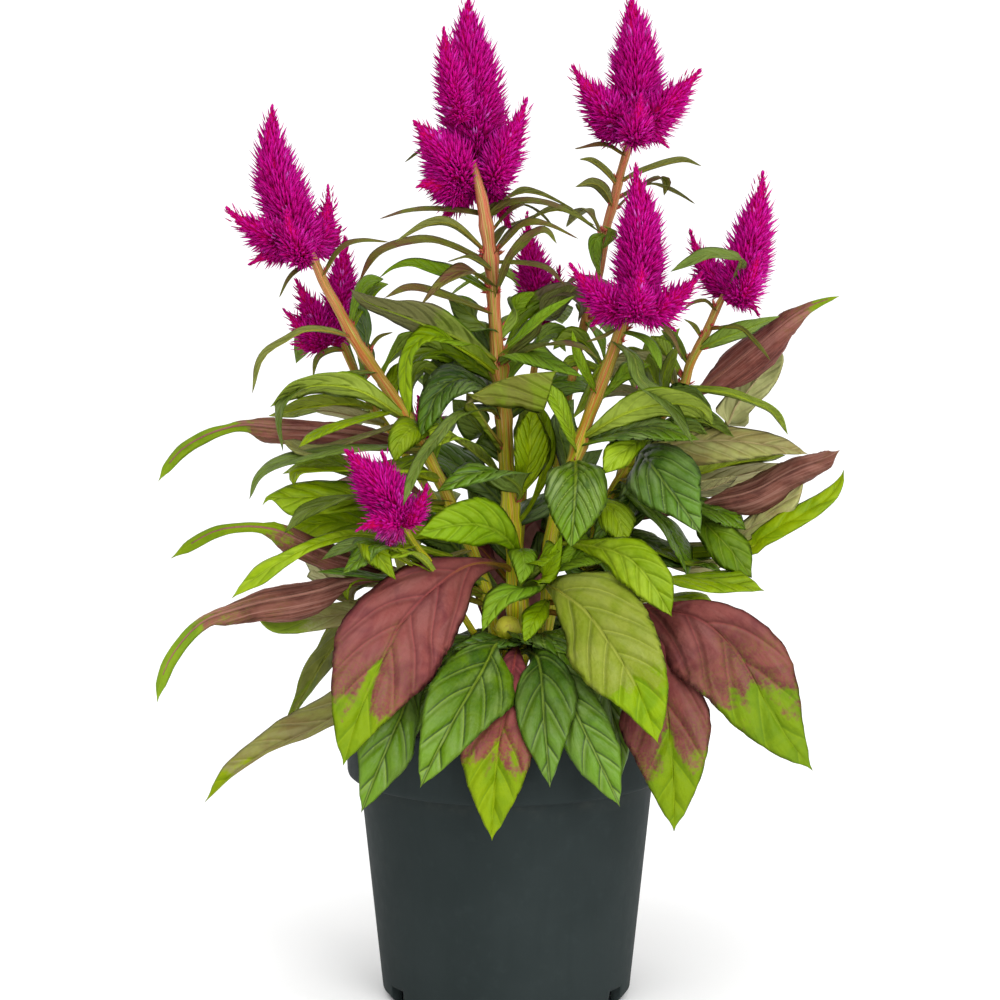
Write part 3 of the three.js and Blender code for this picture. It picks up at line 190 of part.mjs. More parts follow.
  { name: "leaf_rolled_low_left", stem: "left", kind: "R", own: 1, mid: [[-7.81,-2.0,167.43],[-42.74,-24.0,177.24],[-61.77,-30.0,177.05],[-73.55,-35.0,174.28],[-85.36,-38.0,171.97],[-98.72,-41.0,170.09],[-110.53,-43.0,166.82],[-118.42,-44.0,164.18],[-124.66,-46.0,159.71],[-130.04,-49.0,153.83],[-134.22,-52.0,147.17],[-136.83,-55.0,139.72],[-137.84,-58.0,133.09]], up: [[0.14,0.21,0.97],[0.14,0.07,0.99],[-0.04,-0.16,0.99],[-0.14,-0.2,0.97],[-0.1,-0.25,0.96],[-0.14,-0.27,0.95],[-0.23,-0.3,0.92],[-0.38,-0.3,0.88],[-0.55,-0.32,0.77],[-0.64,-0.38,0.67],[-0.72,-0.45,0.54],[-0.74,-0.53,0.42],[-0.72,-0.58,0.37]], w: [[1.36,1.42],[1.68,1.7],[2.44,2.39],[14.07,14.13],[16.87,16.93],[14.15,13.11],[8.93,8.46],[3.13,3.15],[3.31,3.28],[3.39,3.29],[3.14,3.14],[2.38,2.36],[0.23,0.24]], fold: 0.0, curl: [1.22,1.22,1.22,2.3,2.3,2.3,2.3,0.91,0.91,0.91,0.91,0.91,0.52] },
  { name: "leaf_rolled_upper_right", stem: "right", kind: "R", own: 1, mid: [[63.46,8.88,239.89],[78.93,14.0,248.5],[85.42,14.0,253.43],[93.86,13.0,260.11],[103.01,11.0,268.11],[112.13,9.0,276.07],[120.33,11.0,281.57],[127.6,16.0,284.33],[136.23,22.0,286.19]], up: [[-0.37,-0.34,0.86],[-0.48,-0.18,0.86],[-0.4,0.72,0.57],[-0.21,0.88,0.43],[-0.11,0.93,0.36],[-0.5,0.58,0.64],[-0.24,-0.47,0.85],[0.03,-0.42,0.91],[0.06,-0.37,0.93]], w: [[1.37,1.38],[2.75,2.69],[12.18,12.18],[18.77,18.71],[16.93,16.9],[12.22,11.31],[3.38,3.29],[1.87,1.97],[0.3,0.26]], fold: 0.0, curl: [1.22,1.22,2.3,2.3,2.3,2.3,0.91,0.91,0.52] },
  { name: "leaf_rolled_lower_right", stem: "right", kind: "R", own: 1, mid: [[37.22,12.89,193.0],[74.72,4.0,201.35],[83.49,1.0,204.68],[89.8,-2.0,206.37],[96.55,-4.0,208.31],[103.27,-6.0,211.47],[110.76,-8.0,216.25],[118.31,-9.0,220.06],[126.26,-10.0,223.05],[130.98,-11.0,225.23],[134.17,-11.0,227.26]], up: [[-0.01,0.66,0.75],[-0.01,0.68,0.73],[0.11,0.79,0.61],[0.11,0.76,0.64],[-0.02,0.76,0.65],[-0.08,0.82,0.56],[-0.21,0.74,0.63],[-0.25,0.6,0.76],[-0.2,0.63,0.75],[-0.31,0.61,0.73],[-0.51,0.32,0.8]], w: [[1.37,1.38],[1.88,1.89],[2.68,2.7],[11.31,11.33],[15.97,15.93],[17.78,17.83],[15.02,14.05],[12.2,11.25],[9.36,8.48],[2.92,2.84],[0.53,0.53]], fold: 0.0, curl: [1.22,1.22,1.22,2.3,2.3,2.3,2.3,2.3,2.3,0.91,0.52] },
  { name: "leaf_olive_left", stem: "left", kind: "L", own: 1, mid: [[-8.47,-2.08,168.34],[-43.2,-8.0,162.97],[-61.24,-14.0,161.59],[-77.18,-19.0,160.03],[-91.88,-23.0,159.13],[-101.37,-25.0,161.94]], up: [[-0.11,-0.25,0.96],[-0.08,-0.21,0.97],[-0.04,-0.13,0.99],[-0.03,-0.15,0.99],[0.11,-0.15,0.98],[0.31,-0.16,0.94]], w: [[2.48,2.47],[8.54,8.51],[15.42,15.4],[14.51,15.83],[10.87,14.38],[0.75,0.73]], fold: 0.21, curl: -0.38 },
  { name: "leaf_olive_right", stem: "right", kind: "L", own: 1, mid: [[45.65,12.67,210.29],[66.32,2.0,227.1],[80.24,-3.0,229.82],[94.15,-7.0,230.37],[108.07,-10.0,228.74],[121.24,-12.0,225.77]], up: [[0.26,0.93,0.26],[0.1,0.85,0.51],[0.1,0.6,0.79],[0.16,0.51,0.84],[0.23,0.45,0.86],[0.26,0.42,0.87]], w: [[1.15,1.09],[6.75,8.17],[11.96,19.04],[13.86,19.79],[12.98,11.84],[0.86,0.8]], fold: 0.21, curl: -0.38 },
  { name: "leaf_olive_right_b", stem: "right", kind: "G", own: 0, mid: [[48.68,11.86,216.71],[74.71,6.0,215.87],[87.54,3.0,219.17],[99.51,0.0,222.05],[113.13,-2.0,223.97]], up: [[0.1,0.33,0.94],[0.02,0.36,0.93],[-0.11,0.45,0.89],[-0.1,0.38,0.92],[-0.09,0.32,0.94]], w: [[5.24,5.26],[12.37,14.16],[8.9,10.15],[13.24,13.28],[1.2,1.21]], fold: 0.21, curl: -0.38 },
  { name: "leaf_olive_right_c", stem: "back_right", kind: "L", own: 0, mid: [[43.37,47.04,195.58],[45.48,43.13,198.39],[75.53,22.0,207.74],[87.62,18.0,210.82],[99.7,15.0,214.98],[111.81,13.0,218.57]], up: [[0.53,0.66,0.53],[0.21,0.63,0.74],[0.12,0.59,0.8],[-0.12,0.48,0.87],[-0.2,0.42,0.88],[-0.21,0.37,0.91]], w: [[1.11,1.1],[1.55,1.6],[8.4,8.36],[14.97,15.08],[15.79,15.79],[0.93,0.98]], fold: 0.21, curl: -0.38 },
  { name: "leaf_olive_right_upper", stem: "right", kind: "L", own: 1, mid: [[57.04,10.45,230.97],[86.14,24.0,230.72],[95.15,25.0,241.36],[102.86,25.0,251.29],[108.86,24.0,259.66],[112.08,24.0,265.84]], up: [[0.09,-0.17,0.98],[-0.16,-0.26,0.95],[0.25,0.93,-0.25],[0.34,0.92,-0.2],[0.55,0.78,-0.29],[0.76,0.51,-0.4]], w: [[3.14,3.13],[10.02,9.91],[6.34,6.46],[7.29,7.33],[5.86,5.79],[2.16,2.13]], fold: 0.21, curl: -0.38 },
  { name: "leaf_olive_right_d", stem: "right", kind: "L", own: 0, mid: [[34.61,13.07,184.48],[83.69,2.0,186.0],[96.95,0.0,192.09],[106.02,-3.0,199.55],[113.91,-5.0,206.82],[118.23,-6.0,211.47],[120.22,-6.0,213.92]], up: [[0.01,0.16,0.99],[-0.08,0.18,0.98],[-0.39,0.45,0.81],[-0.23,0.81,0.54],[-0.18,0.89,0.41],[0.12,0.99,0.03],[0.64,-0.56,-0.52]], w: [[5.59,5.65],[11.2,11.16],[13.82,15.23],[7.29,7.85],[5.97,5.96],[2.53,2.55],[0.62,0.67]], fold: 0.21, curl: -0.38 },
  { name: "leaf_right_pointed", stem: "right", kind: "G", own: 1, mid: [[32.85,13.54,180.58],[92.59,-6.0,185.66],[103.27,-9.0,191.48],[114.37,-11.0,198.34],[123.19,-11.0,203.65],[130.55,-9.0,208.65],[134.78,-6.0,213.51],[136.59,-3.0,218.39]], up: [[0.09,0.51,0.86],[0.04,0.54,0.84],[-0.24,0.68,0.69],[-0.42,0.47,0.77],[-0.52,-0.14,0.84],[-0.2,-0.76,0.62],[0.33,-0.88,0.34],[0.52,-0.8,0.3]], w: [[2.74,2.73],[7.06,6.98],[7.22,7.23],[15.33,14.13],[13.13,13.08],[3.52,3.46],[1.69,1.7],[0.27,0.24]], fold: 0.21, curl: -0.38 },
  { name: "t1", stem: "left", kind: "T", own: 0, mid: [[-73.95,-16.07,297.25],[-66.17,-20.0,308.66],[-58.14,-22.0,312.41],[-46.61,-23.0,312.1]], up: [[-0.83,-0.3,0.47],[-0.71,-0.34,0.61],[-0.22,-0.47,0.85],[-0.02,-0.51,0.86]], w: [[1.53,1.49],[2.49,2.57],[1.75,1.76],[0.25,0.28]], fold: 0.31, curl: -0.17 },
  { name: "t2", stem: "left", kind: "T", own: 0, mid: [[-76.36,-15.71,303.36],[-81.9,-24.0,301.46],[-86.13,-27.0,297.77],[-90.1,-28.0,290.33]], up: [[-0.06,-0.18,0.98],[-0.12,-0.36,0.93],[-0.46,-0.68,0.58],[-0.59,-0.7,0.41]], w: [[1.22,1.17],[1.74,1.68],[1.29,1.23],[0.24,0.23]], fold: 0.31, curl: -0.17 },
  { name: "t3", stem: "left", kind: "T", own: 0, mid: [[-61.4,-16.41,273.3],[-70.09,-26.0,276.99],[-79.7,-32.0,278.03],[-86.63,-36.0,274.5],[-95.98,-39.0,267.7],[-100.32,-41.0,253.67]], up: [[-0.58,0.69,0.44],[-0.44,0.69,0.58],[-0.43,0.53,0.73],[-0.61,0.37,0.7],[-0.83,0.28,0.48],[-0.94,0.23,0.26]], w: [[0.6,0.54],[1.54,1.57],[2.36,2.37],[3.51,3.57],[4.34,4.31],[0.49,0.52]], fold: 0.31, curl: -0.17 },
  { name: "t4", stem: "left_back", kind: "T", own: 0, mid: [[-65.46,26.4,263.2],[-71.4,22.0,264.01],[-77.06,20.0,260.94],[-79.11,19.0,253.24]], up: [[-0.58,0.8,0.15],[-0.51,0.82,0.27],[-0.61,0.76,0.23],[-0.63,0.77,0.07]], w: [[0.51,0.6],[1.4,1.49],[1.65,1.72],[0.27,0.24]], fold: 0.31, curl: -0.17 },
  { name: "t5", stem: "main", kind: "T", own: 0, mid: [[-8.7,-6.01,317.75],[-8.75,-2.76,321.09],[-22.61,-8.0,323.62],[-38.46,-14.0,323.69],[-50.72,-17.0,320.74]], up: [[-0.85,-0.38,0.36],[0.4,-0.46,0.79],[0.15,-0.18,0.97],[-0.01,-0.29,0.96],[-0.13,-0.36,0.92]], w: [[1.88,1.82],[1.83,1.9],[3.28,3.33],[2.19,2.17],[0.36,0.28]], fold: 0.31, curl: -0.17 },
  { name: "t6", stem: "main", kind: "T", own: 0, mid: [[-6.88,-3.15,305.02],[-20.16,-14.0,317.71],[-30.41,-20.0,318.99],[-44.98,-25.0,311.87]], up: [[-0.44,0.86,0.28],[-0.23,0.79,0.56],[-0.39,0.47,0.79],[-0.51,0.4,0.76]], w: [[0.58,0.57],[1.79,1.85],[3.69,3.69],[0.4,0.35]], fold: 0.31, curl: -0.17 },
  { name: "t7", stem: "main", kind: "T", own: 0, mid: [[-6.93,-3.38,302.17],[-25.81,-10.0,310.59],[-37.3,-14.0,311.73],[-51.15,-18.0,306.89],[-59.09,-20.0,295.52]], up: [[0.45,-0.19,0.87],[0.36,-0.22,0.9],[-0.02,-0.38,0.92],[-0.42,-0.51,0.75],[-0.63,-0.56,0.54]], w: [[1.81,1.81],[4.4,4.35],[3.43,3.42],[2.92,2.85],[0.26,0.31]], fold: 0.31, curl: -0.17 },
  { name: "t8", stem: "main", kind: "T", own: 0, mid: [[-5.43,-3.26,298.71],[-14.55,-20.0,305.87],[-23.59,-28.0,304.6]], up: [[-0.31,0.51,0.8],[-0.16,0.34,0.93],[-0.17,0.04,0.98]], w: [[0.6,0.65],[2.28,2.28],[0.75,0.68]], fold: 0.31, curl: -0.17 },
  { name: "t9", stem: "main", kind: "T", own: 0, mid: [[-4.97,-2.32,292.05],[-15.37,-18.0,300.12],[-25.61,-26.0,296.49],[-34.27,-30.0,287.35]], up: [[0.4,0.2,0.9],[0.42,-0.2,0.88],[0.04,-0.75,0.66],[-0.14,-0.85,0.5]], w: [[2.71,2.63],[4.62,4.57],[2.29,2.31],[0.13,0.19]], fold: 0.31, curl: -0.17 },
  { name: "t10", stem: "main", kind: "G", own: 0, mid: [[-5.42,-2.95,289.91],[-17.85,-9.0,297.28],[-27.4,-12.0,299.56],[-37.73,-14.0,302.54],[-45.29,-15.0,301.04],[-50.86,-16.0,297.13]], up: [[0.52,-0.02,0.86],[0.47,-0.22,0.86],[0.34,-0.49,0.8],[0.16,-0.59,0.79],[-0.21,-0.63,0.75],[-0.36,-0.65,0.68]], w: [[2.67,2.74],[6.11,6.09],[4.87,4.78],[3.02,3.0],[1.2,1.17],[0.28,0.23]], fold: 0.31, curl: -0.17 },
  { name: "t11", stem: "main", kind: "T", own: 0, mid: [[-4.86,-3.36,281.59],[-22.6,-14.0,288.94],[-37.63,-20.0,293.52],[-48.66,-24.0,289.93]], up: [[0.47,-0.18,0.86],[0.46,-0.31,0.83],[0.23,-0.52,0.82],[-0.03,-0.62,0.79]], w: [[1.6,1.56],[3.7,3.66],[2.59,2.49],[0.23,0.22]], fold: 0.31, curl: -0.17 },
  { name: "t12", stem: "main", kind: "T", own: 0, mid: [[-8.36,-6.0,317.17],[-8.46,-0.47,322.18],[3.42,10.0,328.7],[13.55,14.0,328.41],[27.39,17.0,322.11]], up: [[0.52,-0.57,0.64],[-0.2,-0.47,0.86],[-0.43,0.28,0.86],[-0.0,0.69,0.72],[0.14,0.74,0.66]], w: [[1.23,1.19],[1.4,1.44],[3.83,3.83],[1.56,1.55],[0.21,0.29]], fold: 0.31, curl: -0.17 },
  { name: "t13", stem: "main", kind: "T", own: 0, mid: [[-8.34,-5.91,316.05],[-8.18,-1.51,320.1],[2.16,-4.0,326.12],[17.31,-10.0,325.77],[35.59,-14.0,317.71]], up: [[0.83,-0.4,0.4],[0.08,-0.99,0.1],[-0.29,-0.24,0.93],[0.12,-0.37,0.92],[0.28,-0.44,0.86]], w: [[1.74,1.67],[1.02,1.0],[3.55,3.5],[2.55,2.51],[0.35,0.28]], fold: 0.31, curl: -0.17 },
  { name: "t14", stem: "main", kind: "T", own: 0, mid: [[-6.44,-3.28,304.11],[5.43,6.0,316.09],[16.78,12.0,321.68],[25.73,15.0,321.05],[38.41,18.0,312.28]], up: [[-0.31,-0.58,0.75],[-0.5,-0.21,0.84],[-0.36,0.33,0.87],[0.18,0.6,0.78],[0.33,0.64,0.7]], w: [[0.72,0.74],[3.99,4.03],[4.44,4.44],[2.26,2.24],[0.22,0.23]], fold: 0.31, curl: -0.17 },
  { name: "t15", stem: "main", kind: "T", own: 0, mid: [[-6.73,-3.94,306.8],[-0.62,12.0,314.8],[14.03,20.0,319.44]], up: [[0.21,-0.5,0.84],[-0.36,-0.18,0.92],[-0.43,0.3,0.85]], w: [[0.59,0.54],[2.42,2.5],[0.57,0.53]], fold: 0.31, curl: -0.17 },
  { name: "t16", stem: "main", kind: "T", own: 0, mid: [[-6.16,-3.71,304.64],[5.33,-12.0,317.15],[15.23,-18.0,318.83],[28.67,-22.0,313.2]], up: [[-0.77,-0.15,0.62],[-0.64,-0.22,0.74],[-0.12,-0.59,0.8],[0.09,-0.69,0.72]], w: [[2.22,2.21],[3.16,3.17],[1.49,1.54],[0.18,0.18]], fold: 0.31, curl: -0.17 },
  { name: "t17", stem: "main", kind: "T", own: 0, mid: [[-5.01,-2.43,287.79],[1.35,-14.0,305.74],[10.85,-20.0,314.62],[15.98,-22.0,315.98],[19.94,-23.0,311.3]], up: [[0.95,0.04,-0.31],[-0.3,-0.87,-0.39],[-0.66,-0.33,0.68],[0.18,-0.44,0.88],[0.58,-0.55,0.61]], w: [[2.77,2.7],[1.62,1.62],[3.65,3.62],[2.27,2.28],[0.32,0.29]], fold: 0.31, curl: -0.17 },
  { name: "t18", stem: "main", kind: "T", own: 0, mid: [[-6.61,-3.05,302.54],[13.39,-6.0,301.02],[23.79,-9.0,293.26]], up: [[0.0,-0.43,0.9],[0.19,-0.42,0.89],[0.45,-0.45,0.77]], w: [[0.99,0.96],[2.48,2.45],[0.29,0.27]], fold: 0.31, curl: -0.17 },
  { name: "t19", stem: "main", kind: "B", own: 0, mid: [[-3.45,-3.16,274.66],[9.49,6.0,285.33],[21.71,12.0,289.62],[29.9,15.0,285.24],[29.13,16.0,275.74]], up: [[0.36,-0.88,0.32],[0.19,-0.83,0.52],[0.29,-0.65,0.7],[0.85,-0.41,0.34],[0.97,-0.22,-0.1]], w: [[0.54,0.52],[2.58,2.57],[3.66,3.69],[5.45,5.54],[0.72,0.66]], fold: 0.31, curl: -0.17 },
  { name: "t20", stem: "main", kind: "G", own: 0, mid: [[-3.62,-3.73,264.22],[8.58,-10.0,275.67],[16.56,-12.0,283.12],[27.7,-14.0,290.14]], up: [[-0.68,0.0,0.73],[-0.7,-0.45,0.55],[-0.47,-0.78,0.41],[-0.45,-0.73,0.51]], w: [[2.75,2.78],[3.69,3.75],[2.45,2.41],[0.23,0.17]], fold: 0.31, curl: -0.17 },
  { name: "t21", stem: "main", kind: "T", own: 0, mid: [[-3.57,-3.55,260.4],[11.67,-24.0,270.38],[21.51,-30.0,272.25],[29.75,-34.0,271.1],[36.82,-36.0,266.57]], up: [[0.04,0.46,0.89],[-0.11,0.32,0.94],[-0.1,-0.12,0.99],[0.23,-0.3,0.93],[0.43,-0.37,0.83]], w: [[0.94,0.86],[3.23,3.25],[3.72,3.73],[2.4,2.37],[0.34,0.28]], fold: 0.31, curl: -0.17 },
  { name: "t22", stem: "right_tall", kind: "T", own: 0, mid: [[48.01,16.59,344.06],[39.28,10.0,348.45],[27.12,6.0,347.08]], up: [[0.6,-0.3,0.74],[0.33,-0.42,0.85],[0.04,-0.44,0.9]], w: [[1.2,1.25],[1.93,1.96],[0.35,0.33]], fold: 0.31, curl: -0.17 },
  { name: "t23", stem: "right_tall", kind: "T", own: 0, mid: [[44.59,18.2,331.79],[40.18,12.0,337.44],[34.42,8.0,342.14],[29.14,6.0,343.07]], up: [[0.23,0.56,0.8],[0.24,0.56,0.79],[0.14,0.53,0.84],[-0.03,0.49,0.87]], w: [[0.78,0.77],[2.14,2.15],[2.46,2.39],[0.3,0.29]], fold: 0.31, curl: -0.17 },
  { name: "t24", stem: "right_tall", kind: "G", own: 0, mid: [[43.12,19.07,322.5],[39.35,10.0,330.32],[34.4,6.0,333.42],[27.5,3.0,332.03]], up: [[0.94,-0.35,0.04],[0.87,-0.47,0.13],[0.51,-0.78,0.36],[0.31,-0.88,0.37]], w: [[1.04,1.02],[3.66,3.63],[2.23,2.25],[0.12,0.14]], fold: 0.31, curl: -0.17 },
  { name: "t25", stem: "right_tall", kind: "T", own: 0, mid: [[45.73,17.88,333.02],[56.41,14.0,338.52],[70.0,11.0,341.94],[78.79,9.0,340.06]], up: [[0.01,0.83,0.56],[-0.05,0.71,0.7],[0.06,0.54,0.84],[0.28,0.44,0.85]], w: [[0.68,0.63],[1.8,1.88],[2.56,2.51],[0.34,0.39]], fold: 0.31, curl: -0.17 },
  { name: "t26", stem: "right_tall", kind: "T", own: 0, mid: [[44.33,18.92,326.08],[60.29,30.0,332.97],[64.46,32.0,332.83],[64.55,33.0,326.21]], up: [[-0.22,-0.27,0.94],[-0.2,-0.18,0.96],[0.65,0.45,0.61],[0.77,0.62,0.1]], w: [[1.23,1.31],[2.76,2.74],[3.47,3.44],[0.23,0.2]], fold: 0.31, curl: -0.17 },
  { name: "t27", stem: "right_tall", kind: "G", own: 0, mid: [[40.43,20.11,311.78],[36.19,10.0,310.1],[35.31,6.0,303.97],[37.72,4.0,295.66]], up: [[0.27,-0.27,0.93],[0.32,-0.54,0.78],[0.8,-0.52,0.3],[0.86,-0.39,0.34]], w: [[0.7,0.63],[2.91,2.84],[4.46,4.43],[0.35,0.4]], fold: 0.31, curl: -0.17 },
  { name: "t28", stem: "right_tall", kind: "G", own: 0, mid: [[39.3,19.58,305.96],[42.71,12.0,313.18],[39.35,8.0,315.93]], up: [[0.52,0.7,0.49],[0.65,0.5,0.58],[0.54,0.12,0.83]], w: [[0.59,0.57],[2.62,2.62],[0.77,0.77]], fold: 0.31, curl: -0.17 },
  { name: "t29", stem: "right", kind: "G", own: 0, mid: [[88.28,0.12,288.66],[93.49,-20.0,303.88],[87.44,-28.0,306.98],[79.32,-32.0,308.12],[72.11,-35.0,305.23],[64.22,-36.0,301.38]], up: [[0.72,0.53,0.45],[0.8,0.31,0.51],[0.54,-0.37,0.76],[0.18,-0.59,0.79],[-0.1,-0.74,0.67],[-0.23,-0.71,0.66]], w: [[0.64,0.55],[2.48,2.42],[3.57,3.58],[3.36,3.34],[2.48,2.5],[0.2,0.19]], fold: 0.31, curl: -0.17 },
  { name: "t30", stem: "right", kind: "T", own: 0, mid: [[84.42,-0.08,282.63],[80.04,-6.0,286.94],[74.24,-10.0,286.53],[69.76,-12.0,283.12]], up: [[0.79,-0.16,0.59],[0.62,-0.36,0.7],[0.2,-0.74,0.64],[0.11,-0.92,0.39]], w: [[1.5,1.58],[1.13,1.21],[0.75,0.81],[0.24,0.21]], fold: 0.31, curl: -0.17 },
  { name: "t31", stem: "right", kind: "T", own: 0, mid: [[79.07,2.44,270.17],[75.3,-6.0,276.85],[71.08,-10.0,280.1]], up: [[0.19,0.56,0.81],[0.2,0.53,0.82],[0.18,0.49,0.85]], w: [[0.51,0.58],[1.43,1.45],[0.3,0.23]], fold: 0.31, curl: -0.17 },
  { name: "t32", stem: "centre_right", kind: "T", own: 0, mid: [[45.87,-13.93,278.03],[38.68,-24.0,274.78],[31.43,-29.0,272.93]], up: [[0.43,-0.54,0.72],[0.37,-0.6,0.71],[0.26,-0.65,0.71]], w: [[0.43,0.45],[0.96,0.99],[0.25,0.25]], fold: 0.31, curl: -0.17 },
  { name: "t33", stem: "centre_right", kind: "T", own: 0, mid: [[46.47,-13.82,279.23],[58.99,-22.0,280.15],[65.57,-27.0,274.71],[69.51,-29.0,265.76]], up: [[-0.15,-0.11,0.98],[0.05,-0.26,0.96],[0.49,-0.59,0.64],[0.63,-0.65,0.42]], w: [[1.62,1.58],[2.54,2.54],[1.67,1.58],[0.22,0.24]], fold: 0.31, curl: -0.17 },
  { name: "t34", stem: "back", kind: "G", own: 0, mid: [[14.05,43.99,269.9],[20.67,50.0,265.04],[24.9,53.0,259.68]], up: [[0.17,0.5,0.85],[0.25,0.58,0.78],[0.36,0.66,0.66]], w: [[0.87,0.86],[2.84,2.82],[0.27,0.22]], fold: 0.31, curl: -0.17 },
  { name: "t35", stem: "centre_right", kind: "G", own: 0, mid: [[36.58,-12.93,249.89],[31.22,-22.0,260.15],[27.14,-26.0,269.41],[25.89,-28.0,277.6]], up: [[0.93,-0.31,0.21],[0.9,-0.41,0.16],[0.8,-0.59,0.04],[0.73,-0.68,-0.06]], w: [[0.91,0.97],[3.97,3.89],[3.12,3.13],[0.28,0.2]], fold: 0.31, curl: -0.17 },
  { name: "leaf_back_centre_maroon", stem: "main", kind: "M", own: 1, mid: [[4.05,-2.89,174.59],[3.45,13.06,186.12],[3.02,27.63,194.11],[2.67,41.61,186.93],[2.4,54.79,167.08],[2.23,66.72,139.04],[2.13,77.96,103.75]], up: [[0.03,-0.59,0.81],[-0.03,-0.54,0.84],[-0.09,-0.03,1.0],[-0.15,0.7,0.7],[-0.2,0.87,0.46],[-0.24,0.91,0.33],[-0.28,0.91,0.29]], w: [[0.95,0.92],[2.1,2.11],[12.28,12.28],[20.77,20.74],[18.12,18.14],[10.78,10.8],[0.35,0.28]], fold: 0.17, curl: -0.35 },
  { name: "leaf_back_left_maroon", stem: "main", kind: "M", own: 1, mid: [[3.91,-2.71,168.69],[-6.24,10.66,178.91],[-15.43,23.0,186.17],[-24.04,34.98,179.53],[-31.98,46.48,161.26],[-39.01,57.19,135.45],[-45.45,67.52,102.96]], up: [[0.29,-0.43,0.85],[0.22,-0.43,0.88],[-0.09,-0.09,0.99],[-0.52,0.42,0.74],[-0.67,0.55,0.5],[-0.74,0.56,0.37],[-0.78,0.54,0.33]], w: [[0.97,1.01],[2.12,2.23],[13.08,13.18],[20.25,20.28],[17.32,17.41],[9.45,9.49],[0.37,0.29]], fold: 0.17, curl: -0.35 },
  { name: "leaf_back_right_maroon", stem: "main", kind: "M", own: 1, mid: [[3.88,-3.27,168.15],[14.69,10.36,179.95],[23.95,22.29,187.96],[32.8,33.75,182.0],[41.15,44.64,164.69],[48.78,54.64,140.24],[55.99,64.17,109.46]], up: [[-0.36,-0.43,0.83],[-0.33,-0.41,0.85],[-0.04,-0.06,1.0],[0.39,0.5,0.77],[0.52,0.67,0.53],[0.56,0.72,0.41],[0.57,0.74,0.36]], w: [[1.0,0.95],[2.14,2.09],[12.75,12.83],[21.79,21.69],[17.88,17.95],[10.56,10.58],[0.31,0.37]], fold: 0.17, curl: -0.35 },
  { name: "leaf_back_right_olive", stem: "main", kind: "O", own: 1, mid: [[4.37,-2.67,158.28],[24.61,5.01,166.04],[42.54,11.93,171.84],[59.65,18.8,166.16],[75.91,25.62,150.77],[91.03,32.28,129.04],[105.45,38.95,101.68]], up: [[-0.31,-0.14,0.94],[-0.3,-0.09,0.95],[-0.03,0.06,1.0],[0.42,0.29,0.86],[0.61,0.42,0.67],[0.68,0.5,0.54],[0.68,0.54,0.49]], w: [[0.99,1.0],[2.25,2.24],[13.45,13.41],[20.57,20.5],[17.49,17.47],[10.27,10.29],[0.34,0.31]], fold: 0.17, curl: -0.35 },
  { name: "leaf_back_left_olive", stem: "main", kind: "O", own: 1, mid: [[4.33,-2.29,160.12],[-14.45,4.07,167.57],[-31.41,9.65,172.65],[-47.8,14.64,166.95],[-63.59,19.01,151.99],[-78.5,22.67,130.86],[-92.95,25.77,104.26]], up: [[0.34,-0.08,0.94],[0.33,-0.02,0.95],[0.02,0.14,0.99],[-0.44,0.33,0.84],[-0.64,0.44,0.64],[-0.7,0.5,0.5],[-0.71,0.55,0.45]], w: [[0.95,1.0],[2.14,2.2],[11.56,11.6],[19.3,19.24],[18.25,18.23],[9.96,9.97],[0.29,0.28]], fold: 0.17, curl: -0.35 },
  { name: "leaf_back_low_left", stem: "main", kind: "D", own: 1, mid: [[3.87,-1.7,143.94],[-0.54,11.5,146.74],[-4.72,23.42,148.87],[-8.63,34.89,143.03],[-12.23,45.81,129.57],[-15.43,55.92,110.54],[-18.36,65.59,86.61]], up: [[0.03,-0.2,0.98],[0.01,-0.19,0.98],[-0.11,0.12,0.99],[-0.29,0.57,0.77],[-0.38,0.74,0.56],[-0.42,0.8,0.43],[-0.45,0.81,0.38]], w: [[1.02,0.99],[1.55,1.44],[9.31,9.32],[16.41,16.3],[13.69,13.69],[7.25,7.28],[0.36,0.36]], fold: 0.17, curl: -0.35 },
  { name: "leaf_back_low_right", stem: "main", kind: "D", own: 1, mid: [[3.88,-1.68,146.28],[8.28,11.31,150.07],[12.24,23.03,152.38],[16.43,34.15,146.59],[20.81,44.59,133.13],[25.32,54.06,114.11],[30.06,62.94,90.17]], up: [[-0.14,-0.23,0.96],[-0.16,-0.18,0.97],[-0.08,0.18,0.98],[0.06,0.65,0.76],[0.09,0.84,0.54],[0.09,0.91,0.41],[0.06,0.93,0.36]], w: [[0.95,0.9],[1.63,1.55],[9.14,9.08],[15.85,15.89],[12.58,12.55],[7.87,7.92],[0.26,0.35]], fold: 0.17, curl: -0.35 },
  { name: "leaf_back_low_side", stem: "main", kind: "D", own: 0, mid: [[3.96,-1.9,141.03],[17.36,7.45,145.37],[29.16,15.51,146.91],[40.53,23.15,137.51],[51.01,30.03,121.08],[61.03,36.46,98.97]], up: [[-0.21,-0.14,0.97],[-0.13,-0.14,0.98],[0.27,0.09,0.96],[0.65,0.29,0.71],[0.78,0.33,0.53],[0.83,0.3,0.46]], w: [[0.95,1.02],[1.91,1.96],[12.21,12.18],[13.02,12.99],[8.31,8.26],[0.36,0.27]], fold: 0.17, curl: -0.35 },
  { name: "leaf_left_low_side", stem: "main", kind: "D", own: 0, mid: [[3.89,-1.38,143.26],[-14.84,-2.6,148.51],[-31.87,-3.54,150.25],[-48.18,-4.68,142.31],[-63.37,-6.01,128.37],[-77.92,-7.55,109.61]], up: [[0.27,0.06,0.96],[0.19,-0.01,0.98],[-0.18,-0.09,0.98],[-0.55,-0.17,0.82],[-0.71,-0.23,0.67],[-0.75,-0.29,0.6]], w: [[0.91,1.0],[2.1,2.05],[11.73,11.71],[13.72,13.65],[8.16,8.26],[0.3,0.31]], fold: 0.17, curl: -0.35 },
